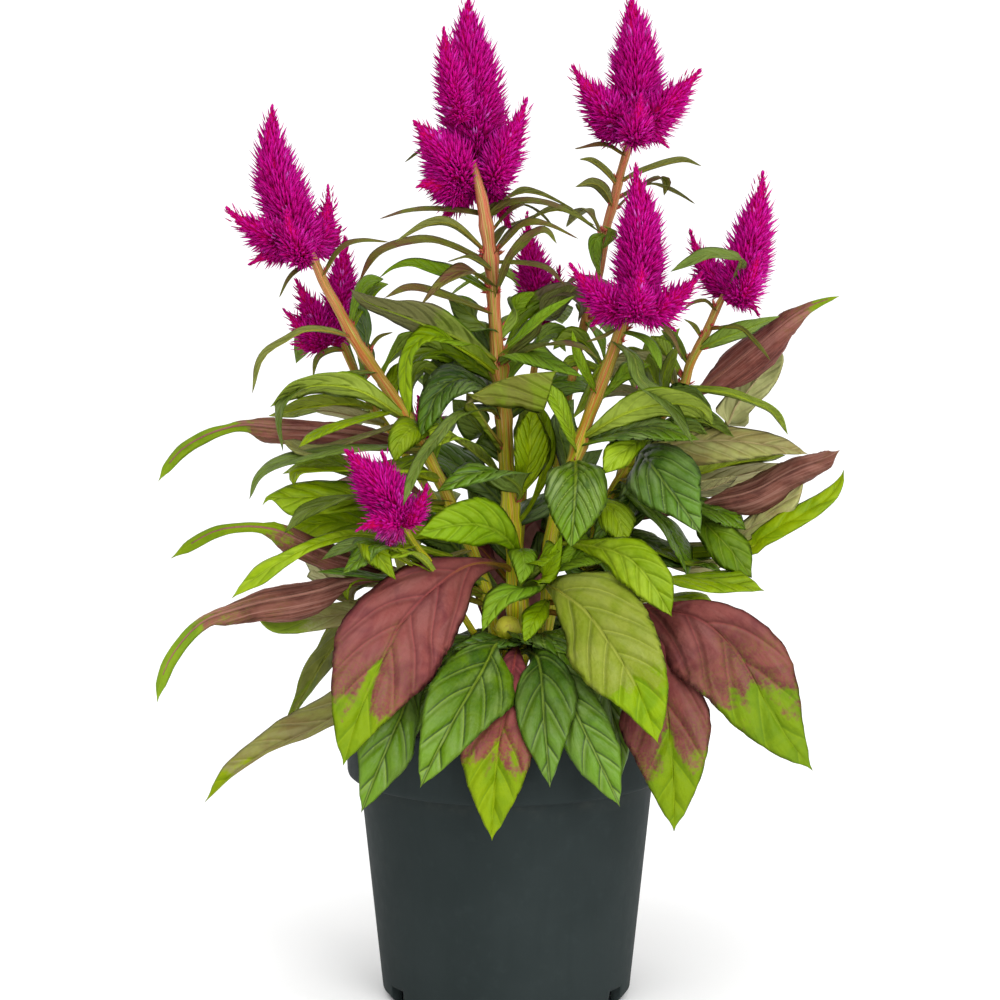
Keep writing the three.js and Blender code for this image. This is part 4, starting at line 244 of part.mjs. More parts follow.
  { name: "b1", stem: "back_left", kind: "G", own: 0, mid: [[-27.99,52.09,213.32],[-38.41,60.87,228.68],[-47.98,68.71,236.84],[-57.22,76.15,232.69],[-65.97,83.05,224.29],[-74.45,89.6,212.98]], up: [[-0.69,0.32,-0.65],[0.51,-0.44,0.74],[0.09,-0.15,0.98],[-0.44,0.22,0.87],[-0.61,0.3,0.74],[-0.67,0.3,0.68]], w: [[0.98,1.0],[1.91,2.0],[10.81,10.82],[12.89,12.79],[8.25,8.36],[0.32,0.29]], fold: 0.17, curl: -0.35 },
  { name: "b2", stem: "back_left", kind: "D", own: 0, mid: [[-25.83,50.67,208.41],[-28.55,59.71,222.63],[-30.37,68.11,230.01],[-31.82,76.24,225.53],[-32.83,83.81,216.68],[-33.48,91.1,204.76]], up: [[-0.11,0.83,-0.55],[-0.36,0.69,-0.63],[0.06,-0.16,0.99],[-0.03,0.64,0.76],[-0.0,0.81,0.58],[0.04,0.85,0.52]], w: [[0.93,0.99],[1.65,1.62],[10.07,10.09],[10.72,10.67],[7.4,7.36],[0.36,0.28]], fold: 0.17, curl: -0.35 },
  { name: "b3", stem: "back_left", kind: "G", own: 0, mid: [[-30.77,53.64,223.21],[-29.55,62.45,238.63],[-28.6,70.0,246.86],[-27.77,77.24,244.75],[-27.08,84.07,239.87],[-26.49,90.66,233.29]], up: [[0.12,0.86,-0.5],[0.14,0.81,-0.57],[0.01,-0.38,0.92],[0.11,0.43,0.89],[0.14,0.64,0.76],[0.16,0.69,0.71]], w: [[0.94,0.96],[1.47,1.42],[9.1,9.06],[10.01,9.97],[6.75,6.71],[0.36,0.26]], fold: 0.17, curl: -0.35 },
  { name: "b4", stem: "back_right", kind: "G", own: 0, mid: [[49.53,53.5,212.66],[57.65,61.84,227.35],[64.78,69.32,234.93],[71.79,76.34,230.9],[78.5,82.74,222.79],[85.11,88.72,211.88]], up: [[0.23,0.79,-0.57],[-0.74,-0.19,0.64],[-0.08,-0.17,0.98],[0.46,0.29,0.84],[0.63,0.38,0.68],[0.69,0.37,0.62]], w: [[0.9,0.91],[1.66,1.72],[10.27,10.32],[11.65,11.65],[6.92,6.94],[0.26,0.34]], fold: 0.17, curl: -0.35 },
  { name: "b5", stem: "back_right", kind: "D", own: 0, mid: [[45.88,49.93,203.5],[48.94,59.45,216.53],[51.53,67.7,223.3],[54.25,75.54,218.35],[57.03,82.65,208.79],[59.95,89.34,195.93]], up: [[-0.15,0.81,-0.56],[-0.9,-0.17,0.41],[-0.12,-0.07,0.99],[0.13,0.67,0.73],[0.17,0.82,0.55],[0.17,0.86,0.48]], w: [[0.97,1.0],[1.45,1.55],[9.1,9.04],[10.95,10.97],[6.41,6.43],[0.34,0.31]], fold: 0.17, curl: -0.35 },
  { name: "b6", stem: "back_right", kind: "G", own: 0, mid: [[55.66,57.14,229.94],[53.74,64.72,244.37],[52.14,71.55,252.54],[50.33,78.06,250.76],[48.34,84.14,246.45],[46.13,89.95,240.64]], up: [[-0.01,0.88,-0.47],[0.06,0.85,-0.53],[0.27,-0.36,0.89],[0.03,0.44,0.9],[-0.01,0.65,0.76],[-0.0,0.71,0.71]], w: [[1.01,0.98],[1.28,1.3],[7.51,7.55],[8.82,8.78],[6.17,6.17],[0.28,0.33]], fold: 0.17, curl: -0.35 },
  { name: "b7", stem: "main", kind: "G", own: 0, mid: [[-2.44,-3.94,248.67],[-9.32,9.06,265.85],[-16.38,20.47,275.39],[-23.71,31.12,273.15],[-31.26,40.96,267.84],[-39.17,50.21,260.69]], up: [[-0.4,0.65,-0.65],[0.57,-0.44,0.7],[0.29,-0.13,0.95],[-0.01,0.34,0.94],[-0.08,0.5,0.86],[-0.09,0.56,0.82]], w: [[0.93,0.99],[1.69,1.67],[10.99,10.98],[11.34,11.29],[7.51,7.59],[0.34,0.27]], fold: 0.17, curl: -0.35 },
  { name: "b8", stem: "main", kind: "G", own: 0, mid: [[-2.87,-3.81,259.59],[3.99,8.74,275.17],[9.84,20.36,284.05],[15.01,31.76,282.14],[19.46,42.92,277.49],[23.32,54.02,271.23]], up: [[0.56,-0.75,0.35],[-0.1,-0.68,0.73],[-0.05,-0.27,0.96],[0.16,0.21,0.96],[0.21,0.36,0.91],[0.23,0.42,0.88]], w: [[0.95,0.98],[1.7,1.75],[10.55,10.54],[12.75,12.75],[7.92,7.93],[0.32,0.37]], fold: 0.17, curl: -0.35 },
  { name: "b9", stem: "back", kind: "G", own: 0, mid: [[14.34,43.69,270.45],[14.26,54.51,282.69],[14.2,64.22,289.51],[13.86,73.55,287.37],[13.23,82.4,282.65],[12.33,90.98,276.3]], up: [[0.95,0.23,-0.19],[0.36,-0.63,0.69],[0.19,-0.23,0.95],[0.23,0.35,0.91],[0.28,0.53,0.8],[0.33,0.58,0.74]], w: [[0.95,0.98],[1.2,1.21],[6.98,6.99],[7.56,7.56],[5.08,5.08],[0.26,0.34]], fold: 0.17, curl: -0.35 },
  { name: "b10", stem: "back", kind: "G", own: 0, mid: [[14.97,43.9,276.4],[6.26,52.23,287.15],[-1.6,59.29,293.18],[-9.43,65.78,291.02],[-17.17,71.64,286.37],[-24.96,77.02,280.11]], up: [[0.57,-0.36,0.74],[0.48,-0.36,0.8],[0.11,-0.15,0.98],[-0.31,0.13,0.94],[-0.47,0.18,0.86],[-0.54,0.17,0.82]], w: [[0.96,1.01],[1.09,1.05],[6.31,6.27],[6.66,6.64],[4.59,4.5],[0.31,0.36]], fold: 0.17, curl: -0.35 },
  { name: "b11", stem: "back", kind: "T", own: 0, mid: [[14.74,43.76,276.35],[23.44,51.35,285.92],[31.12,57.98,291.24],[38.42,64.42,289.02],[45.28,70.62,284.37],[51.85,76.71,278.11]], up: [[-0.42,-0.48,0.77],[-0.41,-0.39,0.82],[-0.14,-0.08,0.99],[0.22,0.27,0.94],[0.33,0.4,0.86],[0.36,0.45,0.82]], w: [[0.98,0.97],[1.01,1.01],[3.65,3.65],[3.95,3.88],[2.36,2.39],[0.34,0.25]], fold: 0.17, curl: -0.35 },
  { name: "b12", stem: "left_back", kind: "G", own: 0, mid: [[-59.51,25.7,248.94],[-65.7,36.98,263.17],[-71.63,46.68,271.18],[-77.49,55.88,268.03],[-83.21,64.45,261.39],[-88.92,72.61,252.46]], up: [[-0.8,-0.59,0.12],[0.31,-0.6,0.74],[0.08,-0.2,0.98],[-0.29,0.31,0.91],[-0.43,0.44,0.79],[-0.49,0.47,0.74]], w: [[0.91,1.02],[1.62,1.6],[9.9,9.94],[10.75,10.78],[7.02,6.99],[0.29,0.28]], fold: 0.17, curl: -0.35 },
  { name: "b13", stem: "left_back", kind: "T", own: 0, mid: [[-68.75,26.37,271.11],[-69.98,37.33,280.46],[-70.77,47.45,285.68],[-71.45,57.16,282.67],[-72.02,66.32,276.7],[-72.49,75.16,268.66]], up: [[0.19,-0.62,0.76],[0.12,-0.56,0.82],[0.08,-0.1,0.99],[0.08,0.43,0.9],[0.11,0.61,0.78],[0.15,0.67,0.73]], w: [[0.98,0.97],[1.01,1.01],[3.37,3.36],[3.88,3.81],[2.53,2.56],[0.34,0.25]], fold: 0.17, curl: -0.35 },
  { name: "b14", stem: "right_tall", kind: "G", own: 0, mid: [[28.41,20.07,258.42],[32.4,31.7,272.17],[35.76,42.57,279.57],[38.6,53.14,277.14],[40.91,63.31,271.83],[42.75,73.29,264.68]], up: [[0.98,-0.14,-0.17],[0.0,-0.69,0.73],[0.04,-0.24,0.97],[0.2,0.3,0.93],[0.26,0.47,0.84],[0.29,0.52,0.8]], w: [[0.91,1.02],[1.34,1.32],[7.44,7.49],[8.65,8.69],[5.56,5.53],[0.29,0.28]], fold: 0.17, curl: -0.35 },
  { name: "b15", stem: "right_tall", kind: "T", own: 0, mid: [[39.61,20.63,309.66],[36.36,29.73,316.44],[33.31,38.12,320.45],[30.39,46.17,318.87],[27.62,53.85,315.55],[24.93,61.31,311.09]], up: [[0.18,-0.55,0.82],[0.19,-0.47,0.86],[0.1,-0.11,0.99],[-0.02,0.29,0.96],[-0.05,0.44,0.9],[-0.04,0.5,0.86]], w: [[0.94,1.01],[0.91,1.02],[2.73,2.76],[3.6,3.6],[1.98,2.01],[0.31,0.26]], fold: 0.17, curl: -0.35 },
  { name: "b16", stem: "right_tall", kind: "T", own: 0, mid: [[42.02,19.64,319.69],[50.45,24.18,327.63],[57.79,28.52,331.63],[64.8,32.73,330.06],[71.45,36.8,326.74],[77.86,40.8,322.27]], up: [[-0.62,-0.18,0.76],[-0.51,-0.2,0.83],[-0.16,-0.01,0.99],[0.19,0.25,0.95],[0.3,0.37,0.88],[0.32,0.43,0.84]], w: [[1.02,0.95],[0.9,0.99],[2.64,2.64],[3.39,3.37],[1.92,1.96],[0.34,0.3]], fold: 0.17, curl: -0.35 },
  { name: "b17", stem: "right", kind: "G", own: 0, mid: [[52.35,11.34,222.77],[59.09,23.71,237.32],[65.71,34.44,245.28],[72.57,44.46,241.74],[79.58,53.63,234.44],[86.88,62.19,224.61]], up: [[-0.5,-0.53,0.68],[-0.47,-0.46,0.75],[-0.18,-0.09,0.98],[0.16,0.4,0.9],[0.27,0.55,0.79],[0.3,0.6,0.74]], w: [[0.92,0.97],[1.71,1.7],[10.03,9.98],[11.3,11.37],[6.53,6.55],[0.31,0.37]], fold: 0.17, curl: -0.35 },
  { name: "b18", stem: "back_left", kind: "M", own: 0, mid: [[-20.12,41.33,189.21],[-37.67,52.06,201.21],[-53.41,62.13,207.28],[-68.21,72.31,200.11],[-81.74,82.42,186.83],[-94.42,92.69,168.96]], up: [[0.4,-0.31,0.86],[0.33,-0.26,0.91],[-0.04,-0.0,1.0],[-0.43,0.28,0.86],[-0.56,0.39,0.73],[-0.59,0.44,0.67]], w: [[1.0,0.91],[2.41,2.4],[14.2,14.17],[17.49,17.51],[10.59,10.66],[0.33,0.29]], fold: 0.17, curl: -0.35 },
  { name: "b19", stem: "back_right", kind: "M", own: 0, mid: [[39.47,43.19,186.67],[51.86,52.74,198.44],[62.6,61.78,204.65],[72.67,70.73,198.57],[81.81,79.38,187.16],[90.34,87.98,171.79]], up: [[-0.49,-0.35,0.8],[-0.37,-0.36,0.85],[0.05,-0.06,1.0],[0.48,0.3,0.83],[0.62,0.41,0.67],[0.66,0.43,0.61]], w: [[0.98,0.91],[2.29,2.18],[12.81,12.92],[13.98,13.92],[9.06,9.05],[0.32,0.36]], fold: 0.17, curl: -0.35 },
  { name: "b20", stem: "main", kind: "T", own: 0, mid: [[-9.68,-7.37,326.45],[-8.0,2.46,333.35],[-6.96,11.34,337.3],[-6.33,19.92,335.34],[-6.11,28.15,331.36],[-6.27,36.18,325.99]], up: [[-0.08,-0.56,0.82],[0.02,-0.5,0.86],[0.12,-0.12,0.98],[0.19,0.32,0.93],[0.23,0.48,0.84],[0.26,0.54,0.8]], w: [[0.94,1.01],[0.91,1.02],[2.57,2.6],[3.09,3.09],[1.79,1.82],[0.31,0.26]], fold: 0.17, curl: -0.35 },
  { name: "b21", stem: "main", kind: "T", own: 0, mid: [[-12.2,-8.87,338.32],[-18.56,-1.83,346.02],[-24.34,4.45,350.03],[-30.08,10.3,348.45],[-35.78,15.69,345.14],[-41.52,20.74,340.67]], up: [[0.53,-0.36,0.77],[0.43,-0.35,0.84],[0.11,-0.09,0.99],[-0.21,0.21,0.96],[-0.33,0.3,0.89],[-0.39,0.33,0.86]], w: [[1.02,0.95],[0.9,0.99],[2.82,2.82],[3.05,3.04],[1.95,1.98],[0.34,0.3]], fold: 0.17, curl: -0.35 },
  { name: "b22", stem: "main", kind: "T", own: 0, mid: [[-7.33,-5.39,312.86],[-0.78,2.65,320.71],[5.06,9.95,324.67],[10.38,17.21,322.7],[15.14,24.38,318.72],[19.45,31.61,313.36]], up: [[-0.24,-0.57,0.79],[-0.2,-0.49,0.85],[0.06,-0.18,0.98],[0.35,0.14,0.93],[0.47,0.25,0.84],[0.54,0.27,0.8]], w: [[0.9,0.99],[1.02,0.93],[2.71,2.66],[3.04,3.05],[1.83,1.86],[0.35,0.25]], fold: 0.17, curl: -0.35 },
  { name: "b23", stem: "back_right", kind: "O", own: 0, mid: [[37.74,40.16,180.78],[38.09,52.07,193.61],[39.09,62.41,199.84],[40.51,72.31,192.42],[42.32,81.26,178.68],[44.54,89.69,160.18]], up: [[0.21,-0.72,0.66],[-0.13,-0.64,0.76],[0.02,0.06,1.0],[0.16,0.72,0.67],[0.23,0.84,0.48],[0.28,0.86,0.43]], w: [[0.95,0.99],[1.85,1.79],[10.8,10.79],[13.37,13.43],[8.54,8.6],[0.34,0.28]], fold: 0.17, curl: -0.35 },
  { name: "b24", stem: "back_left", kind: "O", own: 0, mid: [[-16.45,36.75,180.71],[-23.3,48.66,193.65],[-29.26,59.17,200.37],[-35.17,69.14,192.85],[-40.81,78.13,178.87],[-46.39,86.55,160.05]], up: [[0.56,-0.44,0.7],[0.41,-0.46,0.79],[0.04,0.06,1.0],[-0.28,0.64,0.72],[-0.35,0.77,0.53],[-0.35,0.81,0.47]], w: [[0.99,1.01],[1.97,1.98],[12.48,12.44],[14.26,14.26],[9.35,9.41],[0.25,0.26]], fold: 0.17, curl: -0.35 },
];

// ---------------------------------------------------------------- helpers
const V = (a) => new THREE.Vector3(a[0], a[1], a[2]);

function solid(geometry) {
  const g = geometry.clone();
  g.deleteAttribute('normal');
  g.deleteAttribute('uv');
  const m = mergeVertices(g, 1e-4);
  return new Manifold(new Mesh({
    numProp: 3,
    vertProperties: new Float32Array(m.attributes.position.array),
    triVerts: new Uint32Array(m.index.array),
  }));
}

function geometryOf(manifold) {
  const m = manifold.getMesh();
  const g = new THREE.BufferGeometry();
  g.setAttribute('position', new THREE.BufferAttribute(new Float32Array(m.vertProperties), 3));
  g.setIndex(new THREE.BufferAttribute(new Uint32Array(m.triVerts), 1));
  g.computeVertexNormals();
  return g;
}

function largest(manifold) {
  const parts = manifold.decompose();
  let best = null;
  for (const p of parts) if (!best || p.volume() > best.volume()) best = p;
  return best;
}

function sampleRows(rows, t) {
  // uniform Catmull-Rom through rows of numbers
  const n = rows.length - 1;
  const x = Math.min(Math.max(t, 0), 1) * n;
  const i = Math.min(Math.floor(x), n - 1);
  const s = x - i;
  const p1 = rows[i];
  const p2 = rows[i + 1];
  const p0 = i > 0 ? rows[i - 1] : p1.map((v, k) => 2 * v - p2[k]);
  const p3 = i + 2 <= n ? rows[i + 2] : p2.map((v, k) => 2 * v - p1[k]);
  return p1.map((_, k) => 0.5 * (2 * p1[k] + (p2[k] - p0[k]) * s
    + (2 * p0[k] - 5 * p1[k] + 4 * p2[k] - p3[k]) * s * s
    + (3 * p1[k] - p0[k] - 3 * p2[k] + p3[k]) * s * s * s));
}
function lerpRows(rows, t) {
  const n = rows.length - 1;
  const x = Math.min(Math.max(t, 0), 1) * n;
  const i = Math.min(Math.floor(x), n - 1);
  return rows[i].map((v, k) => v + (rows[i + 1][k] - v) * (x - i));
}

// closed tube of varying radius along a smooth line
function tube(pts, radii, rings, sides, grow = 0) {
  const pos = [];
  const idx = [];
  const rr = radii.map((r) => [r]);
  let side = null;
  const at = (t) => V(sampleRows(pts, t));
  for (let i = 0; i < rings; i += 1) {
    const t = i / (rings - 1);
    const c = at(t);
    const d = at(Math.min(1, t + 0.01)).sub(at(Math.max(0, t - 0.01))).normalize();
    if (grow && i === 0) c.addScaledVector(d, -grow);
    if (grow && i === rings - 1) c.addScaledVector(d, grow);
    if (!side) side = new THREE.Vector3(1, 0, 0).cross(d).lengthSq() > 0.1 ? new THREE.Vector3(1, 0, 0) : new THREE.Vector3(0, 1, 0);
    side = side.clone().addScaledVector(d, -side.dot(d)).normalize();
    const other = d.clone().cross(side);
    const r = lerpRows(rr, t)[0] + grow;
    for (let k = 0; k < sides; k += 1) {
      const a = (2 * Math.PI * k) / sides;
      const p = c.clone().addScaledVector(side, r * Math.cos(a)).addScaledVector(other, r * Math.sin(a));
      pos.push(p.x, p.y, p.z);
    }
  }
  for (let i = 0; i < rings - 1; i += 1) {
    for (let k = 0; k < sides; k += 1) {
      const a = i * sides + k;
      const b = i * sides + ((k + 1) % sides);
      idx.push(a, b, b + sides, a, b + sides, a + sides);
    }
  }
  for (let k = 1; k < sides - 1; k += 1) idx.push(0, k + 1, k);
  const e = (rings - 1) * sides;
  for (let k = 1; k < sides - 1; k += 1) idx.push(e, e + k, e + k + 1);
  const g = new THREE.BufferGeometry();
  g.setAttribute('position', new THREE.BufferAttribute(new Float32Array(pos), 3));
  g.setIndex(idx);
  return g;
}

// thin closed blade: the midrib, and across it a fold at the midrib and a curl to the margins
function blade(leaf, stations, across, grow = 0) {
  const n = leaf.mid.length;
  const fold = Array.isArray(leaf.fold) ? leaf.fold : leaf.mid.map(() => leaf.fold);
  const curl = Array.isArray(leaf.curl) ? leaf.curl : leaf.mid.map(() => leaf.curl);
  const half = (BLADE_T + grow * 2) / 2;
  const top = [];
  const bottom = [];
  for (let i = 0; i < stations; i += 1) {
    const t = i / (stations - 1);
    const p = V(sampleRows(leaf.mid, t));
    const d = V(sampleRows(leaf.mid, Math.min(1, t + 0.01))).sub(V(sampleRows(leaf.mid, Math.max(0, t - 0.01)))).normalize();
    if (grow && i === 0) p.addScaledVector(d, -grow);
    if (grow && i === stations - 1) p.addScaledVector(d, grow);
    const up = V(lerpRows(leaf.up, t));
    up.addScaledVector(d, -up.dot(d)).normalize();
    const b = d.clone().cross(up);
    const w = lerpRows(leaf.w, t);
    const f = lerpRows(fold.map((x) => [x]), t)[0];
    const c = lerpRows(curl.map((x) => [x]), t)[0];
    for (let k = 0; k < across; k += 1) {
      const v = -1 + (2 * k) / (across - 1);
      const s = Math.sign(v) || 1;
      const m = Math.abs(v);
      const width = Math.max(0.5, s > 0 ? w[0] : w[1]) + grow;
      const th = f + c * m;
      const along = Math.abs(c) > 1e-3 ? (Math.sin(th) - Math.sin(f)) / c : m * Math.cos(f);
      const rise = Math.abs(c) > 1e-3 ? (Math.cos(f) - Math.cos(th)) / c : m * Math.sin(f);
      const q = p.clone().addScaledVector(b, s * along * width).addScaledVector(up, rise * width);
      const nrm = m < 1e-6 ? up.clone() : up.clone().multiplyScalar(Math.cos(th)).addScaledVector(b, -s * Math.sin(th));
      top.push(q.clone().addScaledVector(nrm, half));
      bottom.push(q.clone().addScaledVector(nrm, -half));
    }
  }
  const pos = [...top, ...bottom].flatMap((p) => [p.x, p.y, p.z]);
  const idx = [];
  const B = stations * across;
  const quad = (a, b, c, d) => idx.push(a, c, b, a, d, c);
  for (let i = 0; i < stations - 1; i += 1) {
    for (let k = 0; k < across - 1; k += 1) {
      const a = i * across + k;
      quad(a, a + across, a + across + 1, a + 1);
      quad(B + a, B + a + 1, B + a + across + 1, B + a + across);
    }
    const l = i * across;
    quad(l, B + l, B + l + across, l + across);
    const r = i * across + across - 1;
    quad(r, r + across, B + r + across, B + r);
  }
  for (let k = 0; k < across - 1; k += 1) {
    quad(k, k + 1, B + k + 1, B + k);
    const e = (stations - 1) * across + k;
    quad(e, B + e, B + e + 1, e + 1);
  }
  const g = new THREE.BufferGeometry();
  g.setAttribute('position', new THREE.BufferAttribute(new Float32Array(pos), 3));
  g.setIndex(idx);
  return g;
}

function lathe(profile, segments = POT_SEG) {
  return new THREE.LatheGeometry(profile.map(([r, z]) => new THREE.Vector2(r, z)), segments).rotateX(Math.PI / 2);
}

// a solid with its bounding box and the grown copy that its neighbours stay clear of
function piece(body, grown) {
  const b = grown.boundingBox();
  return { body, grown, lo: b.min, hi: b.max };
}
function touches(a, b) {
  for (let k = 0; k < 3; k += 1) if (a.min[k] > b.hi[k] || a.max[k] < b.lo[k]) return false;
  return true;
}
function clearOf(body, others) {
  let out = body;
  for (const o of others) if (touches(out.boundingBox(), o)) out = out.subtract(o.grown);
  return out;
}

// ---------------------------------------------------------------- pot
function wallAt(z) {
  return BODY_LOW_R + ((BODY_TOP_R - BODY_LOW_R) * (z - 4.5)) / (BAND_LOW - 1 - 4.5);
}
function buildPot() {
  const outer = [
    [0, FLOOR_Z - FLOOR_T], [FOOT_R + 0.6, FLOOR_Z - FLOOR_T], [FOOT_R - 2, 0], [FOOT_R, 0],
    [BODY_LOW_R - 0.1, 3.4], [wallAt(BAND_LOW), BAND_LOW],
    [RIM_R - 1.6, BAND_LOW], [RIM_R, BAND_LOW + 2.6], [RIM_R, POT_H - 1.2], [RIM_R - 1.1, POT_H],
    [RIM_R - 2.6, POT_H], [RIM_R - 3.1, BAND_LOW + 6], [BODY_TOP_R - WALL + 0.2, BAND_LOW - 1.5], [wallAt(12) - WALL, 12],
    [BODY_LOW_R - 4, FLOOR_Z], [0, FLOOR_Z],
  ];
  let pot = solid(lathe(outer));
  // drainage notches cut through the foot ring, and drain holes in the floor
  for (let k = 0; k < 6; k += 1) {
    const a = (Math.PI / 3) * k + NOTCH_AT;
    const cut = new THREE.BoxGeometry(9, 12, NOTCH_H * 2);
    cut.rotateZ(a + Math.PI / 2);
    cut.translate((FOOT_R + 0.6) * Math.cos(a), (FOOT_R + 0.6) * Math.sin(a), 0);
    pot = pot.subtract(solid(cut));
    const hole = new THREE.CylinderGeometry(4, 4, 8, 8).rotateX(Math.PI / 2);
    hole.translate(32 * Math.cos(a), 32 * Math.sin(a), FLOOR_Z - FLOOR_T / 2);
    pot = pot.subtract(solid(hole));
  }
  return pot;
}
const pot = buildPot();
function buildSoil(inset) {
  const r = (z) => wallAt(z) - WALL - 0.5 - inset;
  const wide = r(BAND_LOW - 3) + 0.6;
  return solid(lathe([
    [0, FLOOR_Z + inset], [BODY_LOW_R - 6, FLOOR_Z + inset], [r(12) - 1.2, FLOOR_Z + 2.4], [r(14), 14], [r(BAND_LOW - 3), BAND_LOW - 3],
    [wide, SOIL_TOP - 1], [wide - 2, SOIL_TOP], [34, SOIL_TOP + 1.1], [14, SOIL_CROWN - 0.4], [0, SOIL_CROWN],
  ], 24));
}

const grownPot = piece(pot, solid(lathe([
  [0, -1], [RIM_R + GAP, -1], [RIM_R + GAP, POT_H + GAP], [RIM_R - 3.4, POT_H + GAP], [RIM_R - 3.4, POT_H - 3], [0, 40],
])));

// ---------------------------------------------------------------- plumes and bare stems
const plumes = new Map();
for (const p of PLUMES) {
  const make = (grow) => Manifold.union(p.lobes.map((l) => solid(tube(l.pts, l.r.map((r) => r * 0.92), 4, 6, grow))));
  const body = largest(clearOf(make(0), [...plumes.values()]));
  plumes.set(p.name, piece(body, make(GAP)));
}
const stems = new Map();
for (const s of STEMS) {
  const rings = Math.min(9, s.pts.length);
  const sides = s.name === 'main' ? 8 : 6;
  const make = (grow) => solid(tube(s.pts, s.r, rings, sides, grow));
  const body = largest(clearOf(make(0), [...plumes.values(), ...stems.values()]));
  stems.set(s.name, piece(body, make(GAP)));
}
let soil = buildSoil(0.4);
soil = largest(clearOf(soil, [...stems.values()]));
const soilPiece = piece(soil, buildSoil(0.1).translate([0, 0, GAP]));

// ---------------------------------------------------------------- leaves
const reach = (l) => V(l.mid[0]).distanceTo(V(l.mid[l.mid.length - 1]));
const plain = (l) => (l.kind === 'R' ? [8, 5] : l.own ? [6, 3] : [reach(l) < 34 ? 3 : 4, 2]);
const ownLeaves = [];
for (const l of LEAVES.filter((x) => x.own)) {
  const [m, a] = plain(l);
  const raw = solid(blade(l, m, a));
  const body = largest(clearOf(raw, [grownPot, soilPiece, ...plumes.values(), ...stems.values(), ...ownLeaves.map((x) => x.piece)]));
  ownLeaves.push({ leaf: l, piece: piece(body, solid(blade(l, m, a, GAP + 0.15))), kept: body.volume() / raw.volume() });
}
// small leaves stay joined to the stem that bears them
const borne = new Map(STEMS.map((s) => [s.name, []]));
const small = [];
for (const l of LEAVES.filter((x) => !x.own)) {
  const [m, a] = plain(l);
  const raw = solid(blade(l, m, a));
  const others = [grownPot, soilPiece, ...plumes.values(), ...[...stems].filter(([k]) => k !== l.stem).map(([, v]) => v),
    ...ownLeaves.map((x) => x.piece), ...small.filter((x) => x.stem !== l.stem)];
  const cut = clearOf(raw, others);
  if (cut.isEmpty()) continue;
  // keep the length that starts at the stem
  const near = V(l.mid[0]);
  let best = null;
  for (const part of cut.decompose()) {
    const b = part.boundingBox();
    const dist = new THREE.Box3(V(b.min), V(b.max)).distanceToPoint(near);
    if (dist < 1.5 && (!best || part.volume() > best.volume())) best = part;
  }
  if (!best) continue;
  const made = piece(best, solid(blade(l, m, a, GAP)));
  made.stem = l.stem;
  small.push(made);
  borne.get(l.stem).push(best);
}

// ---------------------------------------------------------------- scene graph
const LOOK = {
  pot: [0x333d3d, 0.45], soil: [0x3a2a1f, 0.95], stem: [0xa0805a, 0.5], plume: [0xb4008c, 0.6],
  M: [0x7c4644, 0.5], O: [0x8e9a40, 0.5], B: [0x6a7a3c, 0.45], D: [0x3f6a14, 0.4], G: [0x5c8f10, 0.45], L: [0xa0a85c, 0.55],
  K: [0x5c7444, 0.45], T: [0x5a5428, 0.5], R: [0x74403c, 0.5], P: [0x8a7a50, 0.5], Y: [0x8fae1c, 0.45],
};
// vertices snapped to a fine lattice and welded; null when that would not leave a closed surface
function welded(manifold, lattice, shift) {
  const m = manifold.getMesh();
  const seen = new Map();
  const pos = [];
  const to = [];
  for (let i = 0; i < m.vertProperties.length; i += m.numProp) {
    const q = [0, 1, 2].map((k) => Math.round((m.vertProperties[i + k] + shift) / lattice));
    const key = q.join();
    if (!seen.has(key)) {
      seen.set(key, pos.length / 3);
      pos.push(...q.map((v) => v * lattice - shift));
    }
    to.push(seen.get(key));
  }
  const idx = [];
  const edges = new Set();
  for (let i = 0; i < m.triVerts.length; i += 3) {
    const t = [to[m.triVerts[i]], to[m.triVerts[i + 1]], to[m.triVerts[i + 2]]];
    if (t[0] === t[1] || t[1] === t[2] || t[2] === t[0]) continue;
    const [a, b, c] = t.map((v) => new THREE.Vector3(pos[v * 3], pos[v * 3 + 1], pos[v * 3 + 2]));
    const area = b.clone().sub(a).cross(c.clone().sub(a)).length() / 2;
    if (area < 2e-5) return null;
    for (let k = 0; k < 3; k += 1) {
      const e = `${t[k]}>${t[(k + 1) % 3]}`;
      if (edges.has(e)) return null;
      edges.add(e);
    }
    idx.push(...t);
  }
  for (const e of edges) if (!edges.has(e.split('>').reverse().join('>'))) return null;
  const out = new Manifold(new Mesh({ numProp: 3, vertProperties: new Float32Array(pos), triVerts: new Uint32Array(idx) }));
  return out.decompose().length === 1 ? out : null;
}
function tidy(manifold) {
  const clean = largest(manifold.simplify(TRIM));
  for (const lattice of [0.01, 0.015, 0.02, 0.03, 0.04]) {
    for (const part of [0, 0.31, 0.57, 0.8]) {
      const out = welded(clean, lattice, part * lattice);
      if (out) return out;
    }
  }
  return null;
}
const group = new THREE.Group();
function add(name, manifold, look) {
  const mesh = new THREE.Mesh(geometryOf(tidy(manifold) || largest(manifold)), new THREE.MeshStandardMaterial({ color: LOOK[look][0], roughness: LOOK[look][1], metalness: 0 }));
  mesh.name = name;
  group.add(mesh);
}
add('pot', pot, 'pot');
add('potting_soil', soil, 'soil');
// a stem and the leaves it bears; leaves that would only just touch one another are eased apart
function branch(stem, parts) {
  let whole = null;
  for (let step = 0; step < 12; step += 1) {
    const eased = parts.map((p, i) => p.translate([0.013 * step * Math.cos(i * 2.4), 0.013 * step * Math.sin(i * 2.4), 0.008 * step * Math.cos(i * 1.7)]));
    whole = largest(Manifold.union([stem, ...eased]));
    if (tidy(whole)) break;
  }
  return whole;
}
for (const [name, s] of stems) add(`${name}_stem`, branch(s.body, borne.get(name)), 'stem');
for (const [name, p] of plumes) add(`${name}_plume`, p.body, 'plume');
for (const o of ownLeaves) add(o.leaf.name, o.piece.body, o.leaf.kind);

export default group;
